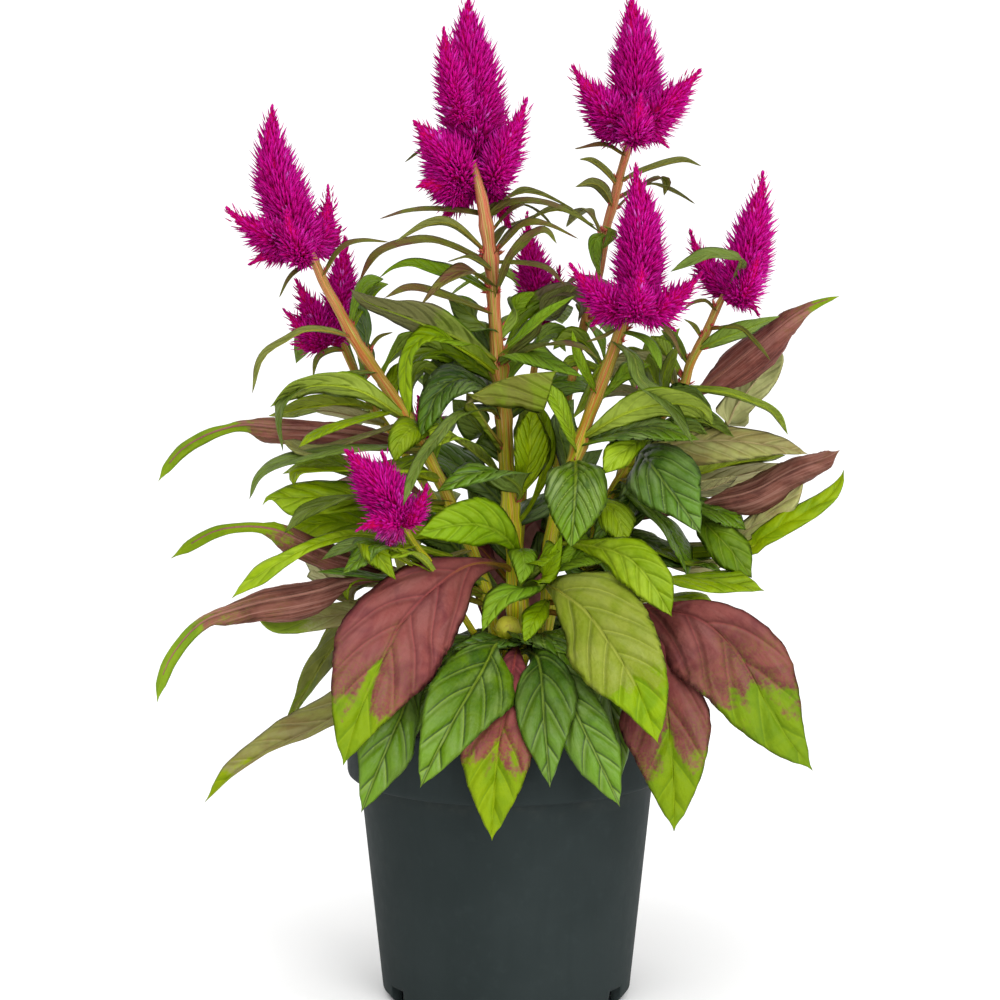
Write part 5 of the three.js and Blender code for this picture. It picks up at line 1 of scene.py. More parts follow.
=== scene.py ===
"""Plume celosia in a round nursery pot: the looks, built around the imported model.

Tables are in millimetres in the model's own frame (+Z up, pot axis on the origin, front towards -Y); meshes are in metres.
"""
import math
import random

import bpy
import numpy as np
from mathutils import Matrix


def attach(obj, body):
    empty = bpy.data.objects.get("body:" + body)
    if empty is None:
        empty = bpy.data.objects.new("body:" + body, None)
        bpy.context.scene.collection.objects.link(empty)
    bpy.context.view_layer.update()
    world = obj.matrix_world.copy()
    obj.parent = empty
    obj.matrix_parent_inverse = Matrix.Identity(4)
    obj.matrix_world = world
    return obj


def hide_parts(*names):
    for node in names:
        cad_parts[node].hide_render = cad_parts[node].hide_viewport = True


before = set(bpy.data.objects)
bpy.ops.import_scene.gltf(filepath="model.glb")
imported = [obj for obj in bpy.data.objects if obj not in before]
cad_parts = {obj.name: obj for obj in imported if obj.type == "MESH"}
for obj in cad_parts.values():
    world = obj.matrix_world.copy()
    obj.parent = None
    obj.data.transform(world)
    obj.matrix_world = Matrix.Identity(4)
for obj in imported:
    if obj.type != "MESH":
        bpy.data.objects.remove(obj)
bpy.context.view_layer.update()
MM = 0.001

# stems: name, centre line, radius at each point
STEMS = [
    ["main",[[3.1,0,94.1],[3.9,-1,122.7],[4.3,-2,147.8],[4.3,-3,168.7],[2.6,-4,193.5],[0.2,-4,218.1],[-1,-4,238.5],[-3,-4,258.8],[-4.7,-3,279],[-5.9,-3,299.1],[-8.2,-6,317.5],[-10.2,-8,329.6],[-12.2,-9,338.1],[-13,-9.5,343.7]],[3.57,3.39,3.29,3.22,3.04,2.93,2.79,2.57,2.36,2.36,2.36,2.14,1.5,0.5]],
    ["left",[[-2.6,4,93.2],[-3.5,3,126.1],[-5.9,0,155.7],[-11.6,-4,179.2],[-20.8,-8,200.3],[-28.8,-11,219.1],[-39.5,-14,239.8],[-48.7,-15,254.1],[-54.6,-16,263.1],[-61.7,-16,274.3],[-67.3,-16,285.1],[-72.4,-16,294.3],[-77.1,-16,305.1],[-82.2,-16,314.3]],[1.97,2.14,2.22,2.22,2.22,2.25,2.29,2.25,2.22,2.14,2.07,1.86,1.57,1.07]],
    ["centre_right",[[9.7,-2,94.5],[12.9,-3,127.3],[15.7,-4,152.3],[17.3,-5,173.2],[18.4,-7,192],[22.8,-9,209.9],[28.3,-11,226.4],[33.1,-12,241.2],[38.2,-13,255],[43,-14,268.5],[46.1,-14,278.1],[49.3,-14,286.1],[51.6,-14,294.1]],[2.5,2.68,2.72,2.72,2.72,2.64,2.57,2.5,2.39,2.25,2.07,1.79,1.14]],
    ["right_tall",[[20.2,4,196.4],[20.2,10,212],[22.3,15,227.8],[24.4,17,239.1],[25.6,18,247.6],[28.8,20,261.4],[31.7,21,274.8],[35.7,21,288.7],[38.1,21,296.9],[40.5,20,313.7],[43.3,19,324],[46,18,335.8],[49.2,17,347.2],[51.6,17,356.1]],[1.57,1.71,1.75,1.75,1.71,1.71,1.68,1.64,1.64,1.64,1.64,1.61,1.5,1.07]],
    ["right",[[14.7,8,92.3],[20.4,10,124.6],[26.9,12,153.6],[31,13,174.2],[38.3,13,195],[48.4,12,215.8],[58.5,10,232.6],[71.2,6,250.3],[74.3,4,260.3],[80.5,1,273.3],[84.4,0,282.7],[87.6,0,288.8]],[1.79,1.93,1.93,1.89,1.86,1.86,1.82,1.79,1.79,1.71,1.57,1.07]],
    ["left_back",[[-15,14,165.7],[-24,20,189.7],[-34.8,24,209.9],[-48.7,26,230.4],[-55.3,26,240.8],[-62.2,26,254.5],[-66.2,26,263.6],[-69.5,26,271.8]],[1.47,1.62,1.7,1.74,1.7,1.62,1.47,1.08]],
    ["back",[[5.2,12,178.5],[6.8,24,201.6],[8.1,34,225.2],[10.2,40,245.3],[13.1,43,263.7],[14.8,44,276.1]],[1.39,1.5,1.54,1.5,1.39,1.08]],
    ["front_left",[[-0.6,-8,128.3],[-11.5,-17,150.6],[-21.9,-27,169.6],[-30,-38,184.9],[-36.2,-45,194.1],[-40,-50,201.7],[-42.7,-51,207.4]],[1.54,1.39,1.31,1.31,1.31,1.31,1]],
    ["back_left",[[-4.7,18,144.1],[-15.1,34,174.9],[-22.7,46,198.3],[-27.8,52,213.5],[-30.7,54,223.8]],[1.47,1.54,1.54,1.43,1.16]],
    ["back_right",[[22.1,18,144.1],[34,36,172.4],[44.2,48,198],[51.9,55,219],[55.2,57,229.7]],[1.47,1.54,1.54,1.43,1.16]]
]
# plumes: name, lobes of (centre line, outline radius)
PLUMES = [
    ["left",[[[[-79.2,-14,304.9],[-83.1,-15,313],[-87.3,-16,325],[-90.8,-16,336.9],[-92.7,-16,348],[-93,-16,356.7],[-92.9,-16,365.4]],[4.9,10.6,11.8,10.6,7.7,4.5,0.8]],[[[-83.6,-20,310.3],[-90.4,-26,313.9],[-97.3,-30,317],[-103.4,-32,320.7],[-107.3,-32,323.5],[-110.4,-32,326.6]],[5.7,8.1,7.3,4.5,2.4,0.8]],[[[-85.3,-18,306.9],[-91.5,-22,307.6],[-96.9,-24,306.2],[-101.6,-25,303.5]],[3.7,5.3,3.7,0.8]],[[[-79.4,-10,308.6],[-75.4,-8,313.2],[-72.7,-6,319.5],[-71.4,-6,325.5],[-71.4,-6,333.1]],[5.3,7.7,6.1,3.2,0.8]],[[[-77.3,-4,306.5],[-72.6,0,308.5],[-69.4,2,311.6],[-66.6,3,316.3]],[3.7,5.7,4.1,0.8]],[[[-79.6,-22,304.9],[-82.2,-32,309.7],[-84.2,-38,315.7],[-85.6,-40,321.4],[-86.3,-41,326.2]],[4.5,6.9,5.7,3.2,0.8]],[[[-82,-6,307.4],[-86.6,8,314.3],[-90.2,16,321.8],[-92,19,328]],[4.5,7.3,5.3,0.8]]]],
    ["main",[[[[-10.7,8,330.5],[-11.5,8,340.5],[-13.1,7,354.6],[-14.3,6,368.7],[-14.7,5,381.9],[-15,5,392.7],[-15.4,5,401],[-15.4,5,407.4]],[5.7,11,13.8,14.2,12.2,8.1,4.1,0.8]],[[[-17.8,-8,359.5],[-20.1,-12,368.4],[-22.4,-14,378.7],[-24,-14,387.4],[-24.8,-14,396]],[5.3,7.3,6.5,4.1,0.8]],[[[-17.9,0,333.4],[-20.6,-8,338.8],[-24.5,-13,345.5],[-29.6,-15,351.5],[-33.5,-16,355.9],[-36.7,-16,359.5]],[6.1,10.6,11,8.1,4.1,0.8]],[[[-18.7,-2,329.6],[-23.4,-8,332.4],[-27.7,-12,334.3],[-31.7,-14,334.4],[-35.6,-15,333.3]],[4.9,7.3,7.7,4.9,0.8]],[[[-5.8,0,333.4],[-3,-7,340.3],[0.1,-9,348.4],[3.7,-10,356.4],[6.1,-10,362.7],[8.1,-10,368.3]],[5.7,8.9,8.1,5.3,2.8,0.8]],[[[-7.5,12,331.8],[-4.3,10,326.7],[-1.8,9,322.3],[-0.2,8,318.8],[1.8,8,314.7]],[4.5,6.9,6.1,3.7,0.8]],[[[-13.5,9,332.8],[-17.5,5,328.3],[-21.1,3,324.4],[-24,2,321.2],[-26.4,1,317.7]],[4.5,6.5,5.3,3.2,0.8]],[[[-10.8,20,331.6],[-7.5,30,341.1],[-5.1,34,351.1],[-3.5,36,361.2],[-2.6,36,367.3]],[4.9,9.3,7.7,4.1,0.8]]]],
    ["right_tall",[[[[50.4,17,348.4],[51.6,17,357.3],[52.3,17,369.4],[52.2,17,381.4],[51.8,17,391.9],[50.9,17,400.7],[50.1,17,407.5]],[4.9,10.6,12.2,11,8.5,4.9,0.8]],[[[48.2,12,354.4],[42.4,9,360.1],[36.7,6,366.3],[31.8,5,372.3],[29,5,375.9],[26.2,5,380.7]],[6.1,9.7,8.5,4.9,2.8,0.8]],[[[46.6,14,351],[41.3,12,353.6],[36.5,11,356],[31.2,11,358.8]],[3.7,5.7,4.1,0.8]],[[[53.8,12,354.4],[59.3,9,359.3],[65.6,6,365.5],[71.1,5,371.6],[74.3,5,375.1],[77.9,5,379.1]],[6.1,9.7,8.5,4.9,2.8,0.8]],[[[50.9,8,350.6],[51.7,-4,354.5],[52.2,-10,359.6],[52.9,-12,366],[53.3,-13,370]],[4.5,7.3,6.1,3.2,0.8]],[[[52,28,352.6],[53.1,40,358.9],[53.7,45,365.6],[54.1,47,372.9]],[4.5,7.3,5.3,0.8]],[[[53.9,14,351.8],[57.9,12,351.9],[61.9,11,350.4],[65.1,11,347.6]],[3.2,4.9,3.2,0.8]]]],
    ["centre_right",[[[[50.1,-14,282.5],[52.1,-14,291.3],[53.2,-14,303.3],[53.1,-14,315.3],[52.7,-14,326.5],[51.8,-14,334.4],[51.4,-14,342]],[4.9,10.6,11.4,10.2,7.3,3.7,0.8]],[[[47.5,-20,285.5],[41.4,-24,287.9],[35.8,-26,291.7],[31,-27,296.2],[28.2,-27,299.4],[25,-27,303.7]],[5.7,8.9,7.7,4.9,2.8,0.8]],[[[46.8,-18,282.9],[41.5,-20,282.7],[37.1,-21,281.2],[33.2,-21,278]],[3.7,5.3,3.7,0.8]],[[[53.9,-20,283.9],[59.3,-24,285.5],[65.1,-26,288.9],[70.2,-27,293],[73.7,-27,296.6],[77.7,-27,300.5]],[5.7,8.5,7.7,4.9,2.8,0.8]],[[[54.8,-18,281.3],[59.5,-20,280.7],[63.4,-21,279.2],[67.4,-21,276.5]],[3.7,4.9,3.2,0.8]],[[[50.6,-24,282.8],[51.4,-33,287.7],[52,-38,293.7],[52.7,-40,300.2],[53,-41,305]],[4.5,7.3,6.1,3.2,0.8]],[[[51.2,-4,284.7],[52.8,8,290.8],[53.8,14,297.6],[54.3,17,304.6]],[4.5,7.3,5.3,0.8]]]],
    ["right",[[[[89.2,0,285.9],[94,0,293.2],[97.1,0,303.7],[99.4,0,315],[101.3,0,325],[102.1,0,331],[102.8,0,338.6]],[4.9,10.2,10.6,8.9,5.7,3.2,0.8]],[[[89.4,4,289.6],[85.5,7,293.3],[81.1,9,298.8],[77.9,10,304.4],[75.8,10,308.9],[74.2,10,314.2]],[4.9,7.7,6.5,4.1,2.4,0.8]],[[[91.3,-6,287.3],[94.8,-14,291.3],[96.9,-18,296.5],[99.1,-20,303.1],[100.1,-21,307.6]],[4.5,7.3,6.1,3.2,0.8]],[[[91.4,10,287.4],[96.8,20,293.7],[99.5,25,299.8],[101.6,27,307]],[4.5,7.3,5.3,0.8]],[[[92.4,0,287.5],[96.3,-3,286.2],[99.1,-4,284.3],[101.5,-4,281.1]],[3.7,4.9,2.8,0.8]]]],
    ["left_back",[[[[-69.9,26,265.2],[-68.6,26,275.1],[-67.7,26,285],[-66.9,26,295.6],[-66.4,26,303.8],[-66,26,310.4]],[4.5,7.3,7.7,5.7,3.2,0.8]],[[[-71.9,24,266.3],[-76.3,23,272.9],[-79.5,22,279.6],[-82.2,21,285.5],[-85.9,21,292.8]],[4.9,7.7,7.3,4.5,0.8]],[[[-74.7,22,266.1],[-79.4,20,270],[-84.3,19,274.2],[-87.5,19,277.5],[-90.7,19,280.8]],[4.5,6.1,4.9,2.8,0.8]],[[[-73.8,22,264.8],[-78.7,21,265.4],[-83.2,20,265.9],[-87.6,20,266.7]],[2.8,4.1,2.8,0.8]],[[[-69.8,34,267.6],[-68,42,275.1],[-66.5,46,282.2],[-65.2,47,289.5]],[3.7,6.1,4.5,0.8]]]],
    ["back",[[[[13.9,44,274.9],[12.7,44,284],[11.4,44,294],[9.8,44,303.1],[8.9,44,309.7],[8.5,44,318]],[3.7,7.7,8.1,5.7,3.2,0.8]],[[[15.6,42,277.6],[18.8,40,284.4],[20.9,39,290.3],[22.1,39,296.9]],[3.2,4.9,2.8,0.8]],[[[13.9,45,273.1],[17.2,43,271.2],[19.7,42,270.1],[23,42,268.4]],[2.8,4.5,2.8,0.8]],[[[14,50,275.9],[9.9,58,281.8],[7.4,62,288.1],[5.7,63,295.6]],[3.2,5.3,3.7,0.8]]]],
    ["front_left",[[[[-41.2,-50,203.3],[-45.1,-51,210.6],[-49.7,-52,217.1],[-54.8,-53,224],[-59.1,-53,229.1],[-63.3,-53,233.5]],[4.5,8.9,10.2,8.1,4.5,0.8]],[[[-42,-48,206.1],[-43.6,-47,213.9],[-45.6,-46,221],[-47.5,-46,226.5],[-49.1,-46,231.7]],[3.7,6.5,5.3,2.8,0.8]],[[[-40.4,-52,202.8],[-36.4,-54,207.1],[-34,-55,212],[-32.4,-55,215.5],[-31.2,-55,219.9]],[3.2,5.3,4.5,2.8,0.8]],[[[-42.7,-54,202.7],[-47.3,-58,204.5],[-51.9,-60,204.8],[-55,-61,204.2],[-58.5,-61,202.6]],[3.2,6.1,4.9,2.8,0.8]],[[[-42,-51,201],[-44.3,-53,198.6],[-45.8,-54,196.3],[-47,-54,192.7]],[2.8,4.5,3.2,0.8]]]],
    ["back_left",[[[[-30.7,54,222.1],[-31.5,54,229.3],[-31.5,54,236],[-30.7,54,242.7]],[2.8,5.3,4.9,0.8]],[[[-31.1,50,223.9],[-33.9,48,228.4],[-36,47,232.7],[-36.8,47,241.5]],[2.4,4.1,3.2,0.8]]]],
    ["back_right",[[[[55.2,57,227.6],[56,57,234.8],[56.4,57,240.7],[56,57,248.3]],[2.8,5.3,4.9,0.8]],[[[55.3,60,228.5],[58.8,64,232.2],[61.4,66,236.2],[63.5,67,240.3]],[2.4,4.1,3.2,0.8]]]]
]
# leaves: name, stem, kind, own node, midrib, upper normal, half widths, fold at the midrib, curl to the margins
LEAVES = [
    ["leaf_front_left_maroon","main","M",1,[[3.75,-2.86,173.57],[-0.3,-8.05,179.24],[-13.85,-26,183.27],[-26.43,-42,178.32],[-39.99,-57,166.95],[-47.19,-68,155.45],[-52.85,-76,144.31],[-57.01,-81,134.62],[-60.41,-85,124.77],[-63.5,-87,114.12]],[[0.45,-0.79,-0.4],[0.76,-0.64,-0.14],[0.76,-0.59,0.29],[0.5,-0.69,0.52],[0.34,-0.76,0.55],[0.23,-0.81,0.55],[0.16,-0.87,0.47],[0.1,-0.92,0.38],[0.06,-0.96,0.26],[0.03,-0.98,0.18]],[[1,1.09],[1.07,1.08],[2.88,7.21],[12.31,16.65],[18.19,21.7],[21.18,21.58],[16.74,16.37],[12.05,11.35],[6.62,5.84],[0.32,0.32]],[0.21,0.21,0.21,0.21,0.21,0.21,0.21,0.21,0.21,0.21],[-0.38,-0.38,-0.38,-0.38,-0.38,-0.38,-0.38,-0.38,-0.38,-0.38]],
    ["leaf_front_right_maroon","centre_right","M",1,[[16.41,-4.48,160.86],[19.25,-9.65,164.96],[50.15,-30,166.5],[64.04,-42,167.44],[76.2,-53,165.42],[86.45,-61,158.5],[94.35,-68,148.29],[101.57,-73,135.76],[109.22,-77,123.46],[119.36,-79,110.37]],[[-0.56,-0.68,-0.47],[-0.61,-0.78,0.12],[-0.58,-0.79,0.18],[-0.64,-0.73,0.25],[-0.5,-0.77,0.39],[-0.3,-0.85,0.43],[-0.18,-0.91,0.36],[-0.11,-0.95,0.28],[-0.06,-0.98,0.19],[-0.02,-0.99,0.14]],[[1.07,1.04],[1.08,1.01],[3.3,1.62],[15.1,3.28],[22.97,8.78],[23.6,14.2],[20.01,17.22],[16.06,14.11],[9.08,7.81],[0.27,0.27]],[0.21,0.21,0.21,0.21,0.21,0.21,0.21,0.21,0.21,0.21],[-0.38,-0.38,-0.38,-0.38,-0.38,-0.38,-0.38,-0.38,-0.38,-0.38]],
    ["leaf_front_centre_maroon","main","M",1,[[4.15,-1.37,138.96],[4.43,-10.63,147.08],[2.93,-42,145.63],[0.5,-64,134.72],[-3.03,-74,120.83],[-4.59,-78,106.55],[-5.37,-79,93.21],[-5.77,-79,82.41]],[[-0.05,-0.66,-0.75],[0.72,0.09,0.69],[0.15,-0.23,0.96],[0.12,-0.62,0.77],[0.04,-0.9,0.44],[0,-0.98,0.18],[-0.01,-1,0.04],[-0.01,-1,0]],[[1.08,1.07],[0.98,0.98],[5.62,5.63],[12.26,11.85],[15.67,14.14],[11.71,11.35],[5.49,5.56],[0.29,0.27]],[0.21,0.21,0.21,0.21,0.21,0.21,0.21,0.21],[-0.38,-0.38,-0.38,-0.38,-0.38,-0.38,-0.38,-0.38]],
    ["leaf_lower_right_maroon","centre_right","M",1,[[15.62,-4.02,155.4],[19.05,-10.66,160.77],[53.07,-40,152.94],[60.38,-58,140.32],[63.24,-67,127.33],[64.64,-73,112.63],[65.44,-75,97.88],[65.48,-76,85.29]],[[-0.54,-0.68,-0.5],[-0.66,-0.7,0.28],[-0.54,-0.68,0.48],[-0.22,-0.71,0.67],[-0.08,-0.88,0.46],[-0.05,-0.96,0.26],[-0.04,-0.99,0.11],[-0.04,-1,0.08]],[[1.08,1.08],[1.03,0.99],[6.4,6.4],[14.19,12.69],[19.24,16.94],[13.69,13.38],[7.1,7.08],[0.34,0.32]],[0.21,0.21,0.21,0.21,0.21,0.21,0.21,0.21],[-0.38,-0.38,-0.38,-0.38,-0.38,-0.38,-0.38,-0.38]],
    ["leaf_front_right_olive","centre_right","O",1,[[16.67,-4.91,168.52],[15.74,-8.72,171.67],[21.34,-30,172.59],[30.96,-48,168.12],[38.53,-62,160.29],[44.93,-72,152.25],[50.59,-79,143.32],[54.77,-83,133.45],[58.63,-85,122.4]],[[0.28,-0.65,-0.7],[-0.98,-0.17,0.09],[-0.76,-0.34,0.56],[-0.55,-0.54,0.64],[-0.39,-0.66,0.65],[-0.29,-0.77,0.57],[-0.16,-0.89,0.44],[-0.06,-0.97,0.25],[-0.03,-0.99,0.17]],[[1.05,1.08],[1.07,0.98],[5.31,9.26],[13.1,20.66],[17.26,19.67],[16.39,17.18],[11.67,13.31],[5.91,7.86],[0.23,0.29]],[0.21,0.21,0.21,0.21,0.21,0.21,0.21,0.21,0.21],[-0.38,-0.38,-0.38,-0.38,-0.38,-0.38,-0.38,-0.38,-0.38]],
    ["leaf_front_left_green","main","D",1,[[4.07,-2,142.27],[2.68,-8.49,147.6],[-3.84,-34,152.21],[-7.78,-50,147.99],[-12.45,-64,141.91],[-18.22,-76,134.39],[-23.59,-84,125.75],[-28.98,-88,115.93],[-33.61,-90,106.08]],[[0.28,-0.65,-0.71],[0.87,-0.33,-0.37],[0.78,-0.19,0.59],[0.4,-0.4,0.82],[0.37,-0.54,0.75],[0.29,-0.69,0.66],[0.16,-0.87,0.47],[0.05,-0.96,0.27],[0.01,-0.98,0.2]],[[1.04,1.08],[1.08,0.99],[2.09,2.02],[11.19,15.06],[14.99,17.31],[14.9,13.66],[10.96,9.78],[5.84,5.46],[0.33,0.23]],[0.21,0.21,0.21,0.21,0.21,0.21,0.21,0.21,0.21],[-0.38,-0.38,-0.38,-0.38,-0.38,-0.38,-0.38,-0.38,-0.38]],
    ["leaf_front_centre_green","main","D",1,[[4,-1.73,137.07],[6.42,-9.49,144.41],[11.73,-36,147.72],[13.57,-52,143.55],[14.22,-66,135.92],[14.91,-76,126.04],[16.04,-81,114.39],[16.82,-82,104.27]],[[-0.33,-0.7,-0.63],[-0.87,-0.32,-0.39],[-0.63,-0.12,0.77],[-0.14,-0.37,0.92],[-0.06,-0.59,0.81],[-0.04,-0.82,0.57],[-0.02,-0.96,0.26],[0,-1,0.1]],[[1.09,1.03],[1.02,0.98],[3.23,3.69],[7.92,11.12],[11.45,13.79],[9.8,10.17],[4.77,4.35],[0.34,0.25]],[0.21,0.21,0.21,0.21,0.21,0.21,0.21,0.21],[-0.38,-0.38,-0.38,-0.38,-0.38,-0.38,-0.38,-0.38]],
    ["leaf_lower_centre_green","centre_right","D",1,[[14.09,-3.56,140.38],[14.99,-12.57,148],[21.14,-48,141.95],[24.84,-64,135.52],[29.39,-73,127],[35.15,-79,115.94],[40.2,-81,105.64],[44.13,-81,96.47]],[[-0.15,-0.65,-0.75],[-0.73,-0.09,0.68],[-0.39,-0.29,0.88],[-0.3,-0.56,0.77],[-0.19,-0.82,0.53],[-0.08,-0.95,0.32],[0.02,-0.99,0.11],[0.06,-1,0.02]],[[1.09,1.05],[0.98,1.08],[5.59,5.6],[8.66,9.46],[10.22,10.99],[9.36,9.86],[5.13,5.11],[0.32,0.24]],[0.21,0.21,0.21,0.21,0.21,0.21,0.21,0.21],[-0.38,-0.38,-0.38,-0.38,-0.38,-0.38,-0.38,-0.38]],
    ["leaf_lower_left_green","main","D",1,[[3.75,-0.98,128.03],[-0.76,-9.34,137.62],[-32.32,-50,143.96],[-41.77,-70,129.56],[-46.7,-77,119.09],[-52.1,-81,106.43],[-56.83,-81,94.07]],[[0.37,-0.78,-0.51],[0.8,-0.6,-0.03],[0.72,-0.54,0.44],[0.26,-0.73,0.64],[0.11,-0.92,0.39],[0.01,-0.99,0.16],[-0.05,-1,0.02]],[[1.01,1],[0.97,1.08],[4.77,4.81],[8.66,7.93],[11.78,10.64],[5.93,5.96],[0.25,0.31]],[0.21,0.21,0.21,0.21,0.21,0.21,0.21],[-0.38,-0.38,-0.38,-0.38,-0.38,-0.38,-0.38]],
    ["leaf_low_left_olive","left","L",1,[[-4.29,2.25,135.22],[-5.47,-1.16,138.36],[-34.96,-18,139.33],[-48.84,-28,132.28],[-64.72,-34,124.92],[-79.35,-39,117.8],[-94.36,-43,111.33],[-108.2,-46,102.62],[-120.61,-47,90.22]],[[-0.61,0.64,0.47],[0.07,0.09,0.99],[-0.09,-0.09,0.99],[-0.3,-0.26,0.92],[-0.31,-0.32,0.9],[-0.31,-0.33,0.89],[-0.36,-0.36,0.86],[-0.54,-0.4,0.74],[-0.63,-0.41,0.66]],[[1.08,1.13],[5.35,5.36],[13.12,13.14],[13.3,13.3],[14.88,14.03],[12.94,10.47],[9.42,7.02],[6.25,4.69],[0.59,0.47]],[0.45,0.45,0.45,0.45,0.45,0.45,0.45,0.45,0.45],[-0.38,-0.38,-0.38,-0.38,-0.38,-0.38,-0.38,-0.38,-0.38]],
    ["leaf_small_front_a","main","G",0,[[4.66,-2.39,162.67],[8.97,-8.93,169.69],[4.95,-30,174.21],[-2.24,-38,171.17],[-6.61,-42,165.83],[-9.78,-44,158.94]],[[-0.91,-0.24,0.34],[-0.33,0.36,0.87],[0.15,-0.01,0.99],[-0.04,-0.55,0.84],[-0.28,-0.78,0.56],[-0.35,-0.84,0.41]],[[2.31,2.32],[1.09,1.14],[7.71,8.59],[7.28,4.91],[4.03,3.21],[0.32,0.25]],[0.21,0.21,0.21,0.21,0.21,0.21],[-0.38,-0.38,-0.38,-0.38,-0.38,-0.38]],
    ["leaf_small_front_b","centre_right","G",0,[[16.08,-4.07,160.86],[16.39,-9.67,165.62],[11.74,-32,163.62],[8.91,-38,158.63],[6.91,-40,153.75]],[[0.46,0.59,0.66],[0.31,0.05,0.95],[0.24,-0.29,0.93],[0.05,-0.79,0.62],[-0.05,-0.92,0.4]],[[1.09,1.15],[1.38,1.41],[5.44,4.97],[3.26,3.3],[0.27,0.25]],[0.21,0.21,0.21,0.21,0.21],[-0.38,-0.38,-0.38,-0.38,-0.38]],
    ["leaf_small_front_c","main","D",0,[[4.28,-2.14,143.15],[4.92,-6.32,147.55],[-2.64,-24,151.96],[-12.63,-34,153.02],[-21.74,-40,150.91]],[[-0.95,0.14,0.27],[-0.07,0.39,0.92],[0.22,0.05,0.97],[0.22,-0.32,0.92],[0.09,-0.45,0.89]],[[5.39,5.4],[1.59,1.55],[9.95,11.64],[3.98,5.24],[0.3,0.31]],[0.21,0.21,0.21,0.21,0.21],[-0.38,-0.38,-0.38,-0.38,-0.38]],
    ["leaf_small_front_d","centre_right","D",0,[[14.3,-3.1,140.92],[9.49,-7.08,147.1],[10.21,-26,152.33],[16.54,-34,151.8],[26.02,-40,148.89]],[[0.83,-0.37,0.41],[0.75,0.18,0.63],[0.27,0.23,0.93],[-0.02,-0.26,0.97],[0.04,-0.39,0.92]],[[1.86,1.87],[4.63,4.71],[10.6,10.56],[5.13,5.23],[0.42,0.44]],[0.21,0.21,0.21,0.21,0.21],[-0.38,-0.38,-0.38,-0.38,-0.38]],
    ["leaf_centre_heart","centre_right","D",1,[[27.68,-10.38,223.42],[27.64,-28,219.96],[27.11,-36,212.29],[26.25,-41,202.64],[25.47,-42,192.38]],[[-0.05,-0.19,0.98],[0,-0.4,0.92],[0.01,-0.8,0.6],[-0.01,-0.96,0.29],[-0.02,-0.99,0.1]],[[1.04,1.05],[11.21,11.65],[12.34,13.09],[7.97,8.4],[0.32,0.34]],[0.21,0.21,0.21,0.21,0.21],[-0.38,-0.38,-0.38,-0.38,-0.38]],
    ["leaf_right_heart","right","D",1,[[51.18,11.66,221.81],[52.87,4.08,225.4],[57.98,-26,222.89],[63.58,-36,216.3],[69.66,-43,208.55],[76.75,-45,198.47]],[[-0.58,-0.45,-0.68],[-0.88,-0.14,0.46],[-0.59,-0.33,0.74],[-0.37,-0.73,0.57],[-0.18,-0.93,0.33],[-0.05,-0.99,0.16]],[[1.03,1.06],[1.02,1.02],[13.85,12.58],[12.13,14.99],[5.81,8.79],[0.26,0.25]],[0.21,0.21,0.21,0.21,0.21,0.21],[-0.38,-0.38,-0.38,-0.38,-0.38,-0.38]],
    ["leaf_mid_right_a","centre_right","H",1,[[17.92,-6.37,184.81],[23.53,-13.76,189.58],[39.49,-36,190.99],[49.45,-48,188.16],[57.12,-55,180.16],[64.98,-57,167.35]],[[-0.66,-0.69,-0.29],[-0.81,-0.58,0.05],[-0.76,-0.59,0.29],[-0.49,-0.73,0.48],[-0.14,-0.94,0.3],[-0.02,-0.99,0.14]],[[1.08,1.04],[0.97,1.04],[5.66,4.77],[9.55,9.19],[7.56,8.75],[0.33,0.28]],[0.21,0.21,0.21,0.21,0.21,0.21],[-0.38,-0.38,-0.38,-0.38,-0.38,-0.38]],
    ["leaf_mid_right_b","right","B",0,[[38.66,13.01,196.67],[58.45,5.84,201.68],[74.53,0,200.32],[82.77,-14,195.14],[90.54,-20,187.15],[98.48,-23,177.07]],[[-0.4,-0.82,0.41],[-0.34,-0.82,0.46],[-0.39,-0.69,0.61],[-0.2,-0.65,0.74],[0.09,-0.86,0.51],[0.18,-0.9,0.41]],[[1.12,1.13],[1.04,1.08],[1.4,1.33],[6.7,6.77],[8.78,8.31],[0.32,0.31]],[0.21,0.21,0.21,0.21,0.21,0.21],[-0.38,-0.38,-0.38,-0.38,-0.38,-0.38]],
    ["leaf_mid_right_c","right","H",1,[[28.82,12.48,164.41],[42.79,1.29,173.14],[54.08,-8,174.49],[69.64,-22,176.9],[83.14,-32,177.8],[93.62,-37,176.64],[102.66,-39,174.57]],[[-0.19,0.44,0.88],[-0.15,0.28,0.95],[-0.03,0.12,0.99],[-0.04,0.09,1],[-0.04,-0.08,1],[0.05,-0.31,0.95],[0.12,-0.4,0.91]],[[2.85,2.85],[5.37,5.43],[6.76,6.79],[17.8,17.84],[19.65,15.51],[8.45,7.53],[0.44,0.46]],[0.21,0.21,0.21,0.21,0.21,0.21,0.21],[-0.38,-0.38,-0.38,-0.38,-0.38,-0.38,-0.38]],
    ["leaf_mid_left_bright","main","G",1,[[3.65,-3.54,176.27],[5.63,-8.66,181.7],[-0.65,-32,195.18],[-10.54,-44,201.91],[-22.29,-52,202.77],[-35.19,-56,199.83]],[[-0.32,-0.75,-0.59],[0.26,-0.56,-0.79],[0.65,-0.58,-0.49],[0.67,-0.74,-0.02],[0.41,-0.89,0.2],[0.24,-0.95,0.21]],[[1.08,1.09],[1.01,1.08],[5.6,3.99],[11.08,8.71],[7.89,6.71],[0.32,0.32]],[0.21,0.21,0.21,0.21,0.21,0.21],[-0.38,-0.38,-0.38,-0.38,-0.38,-0.38]],
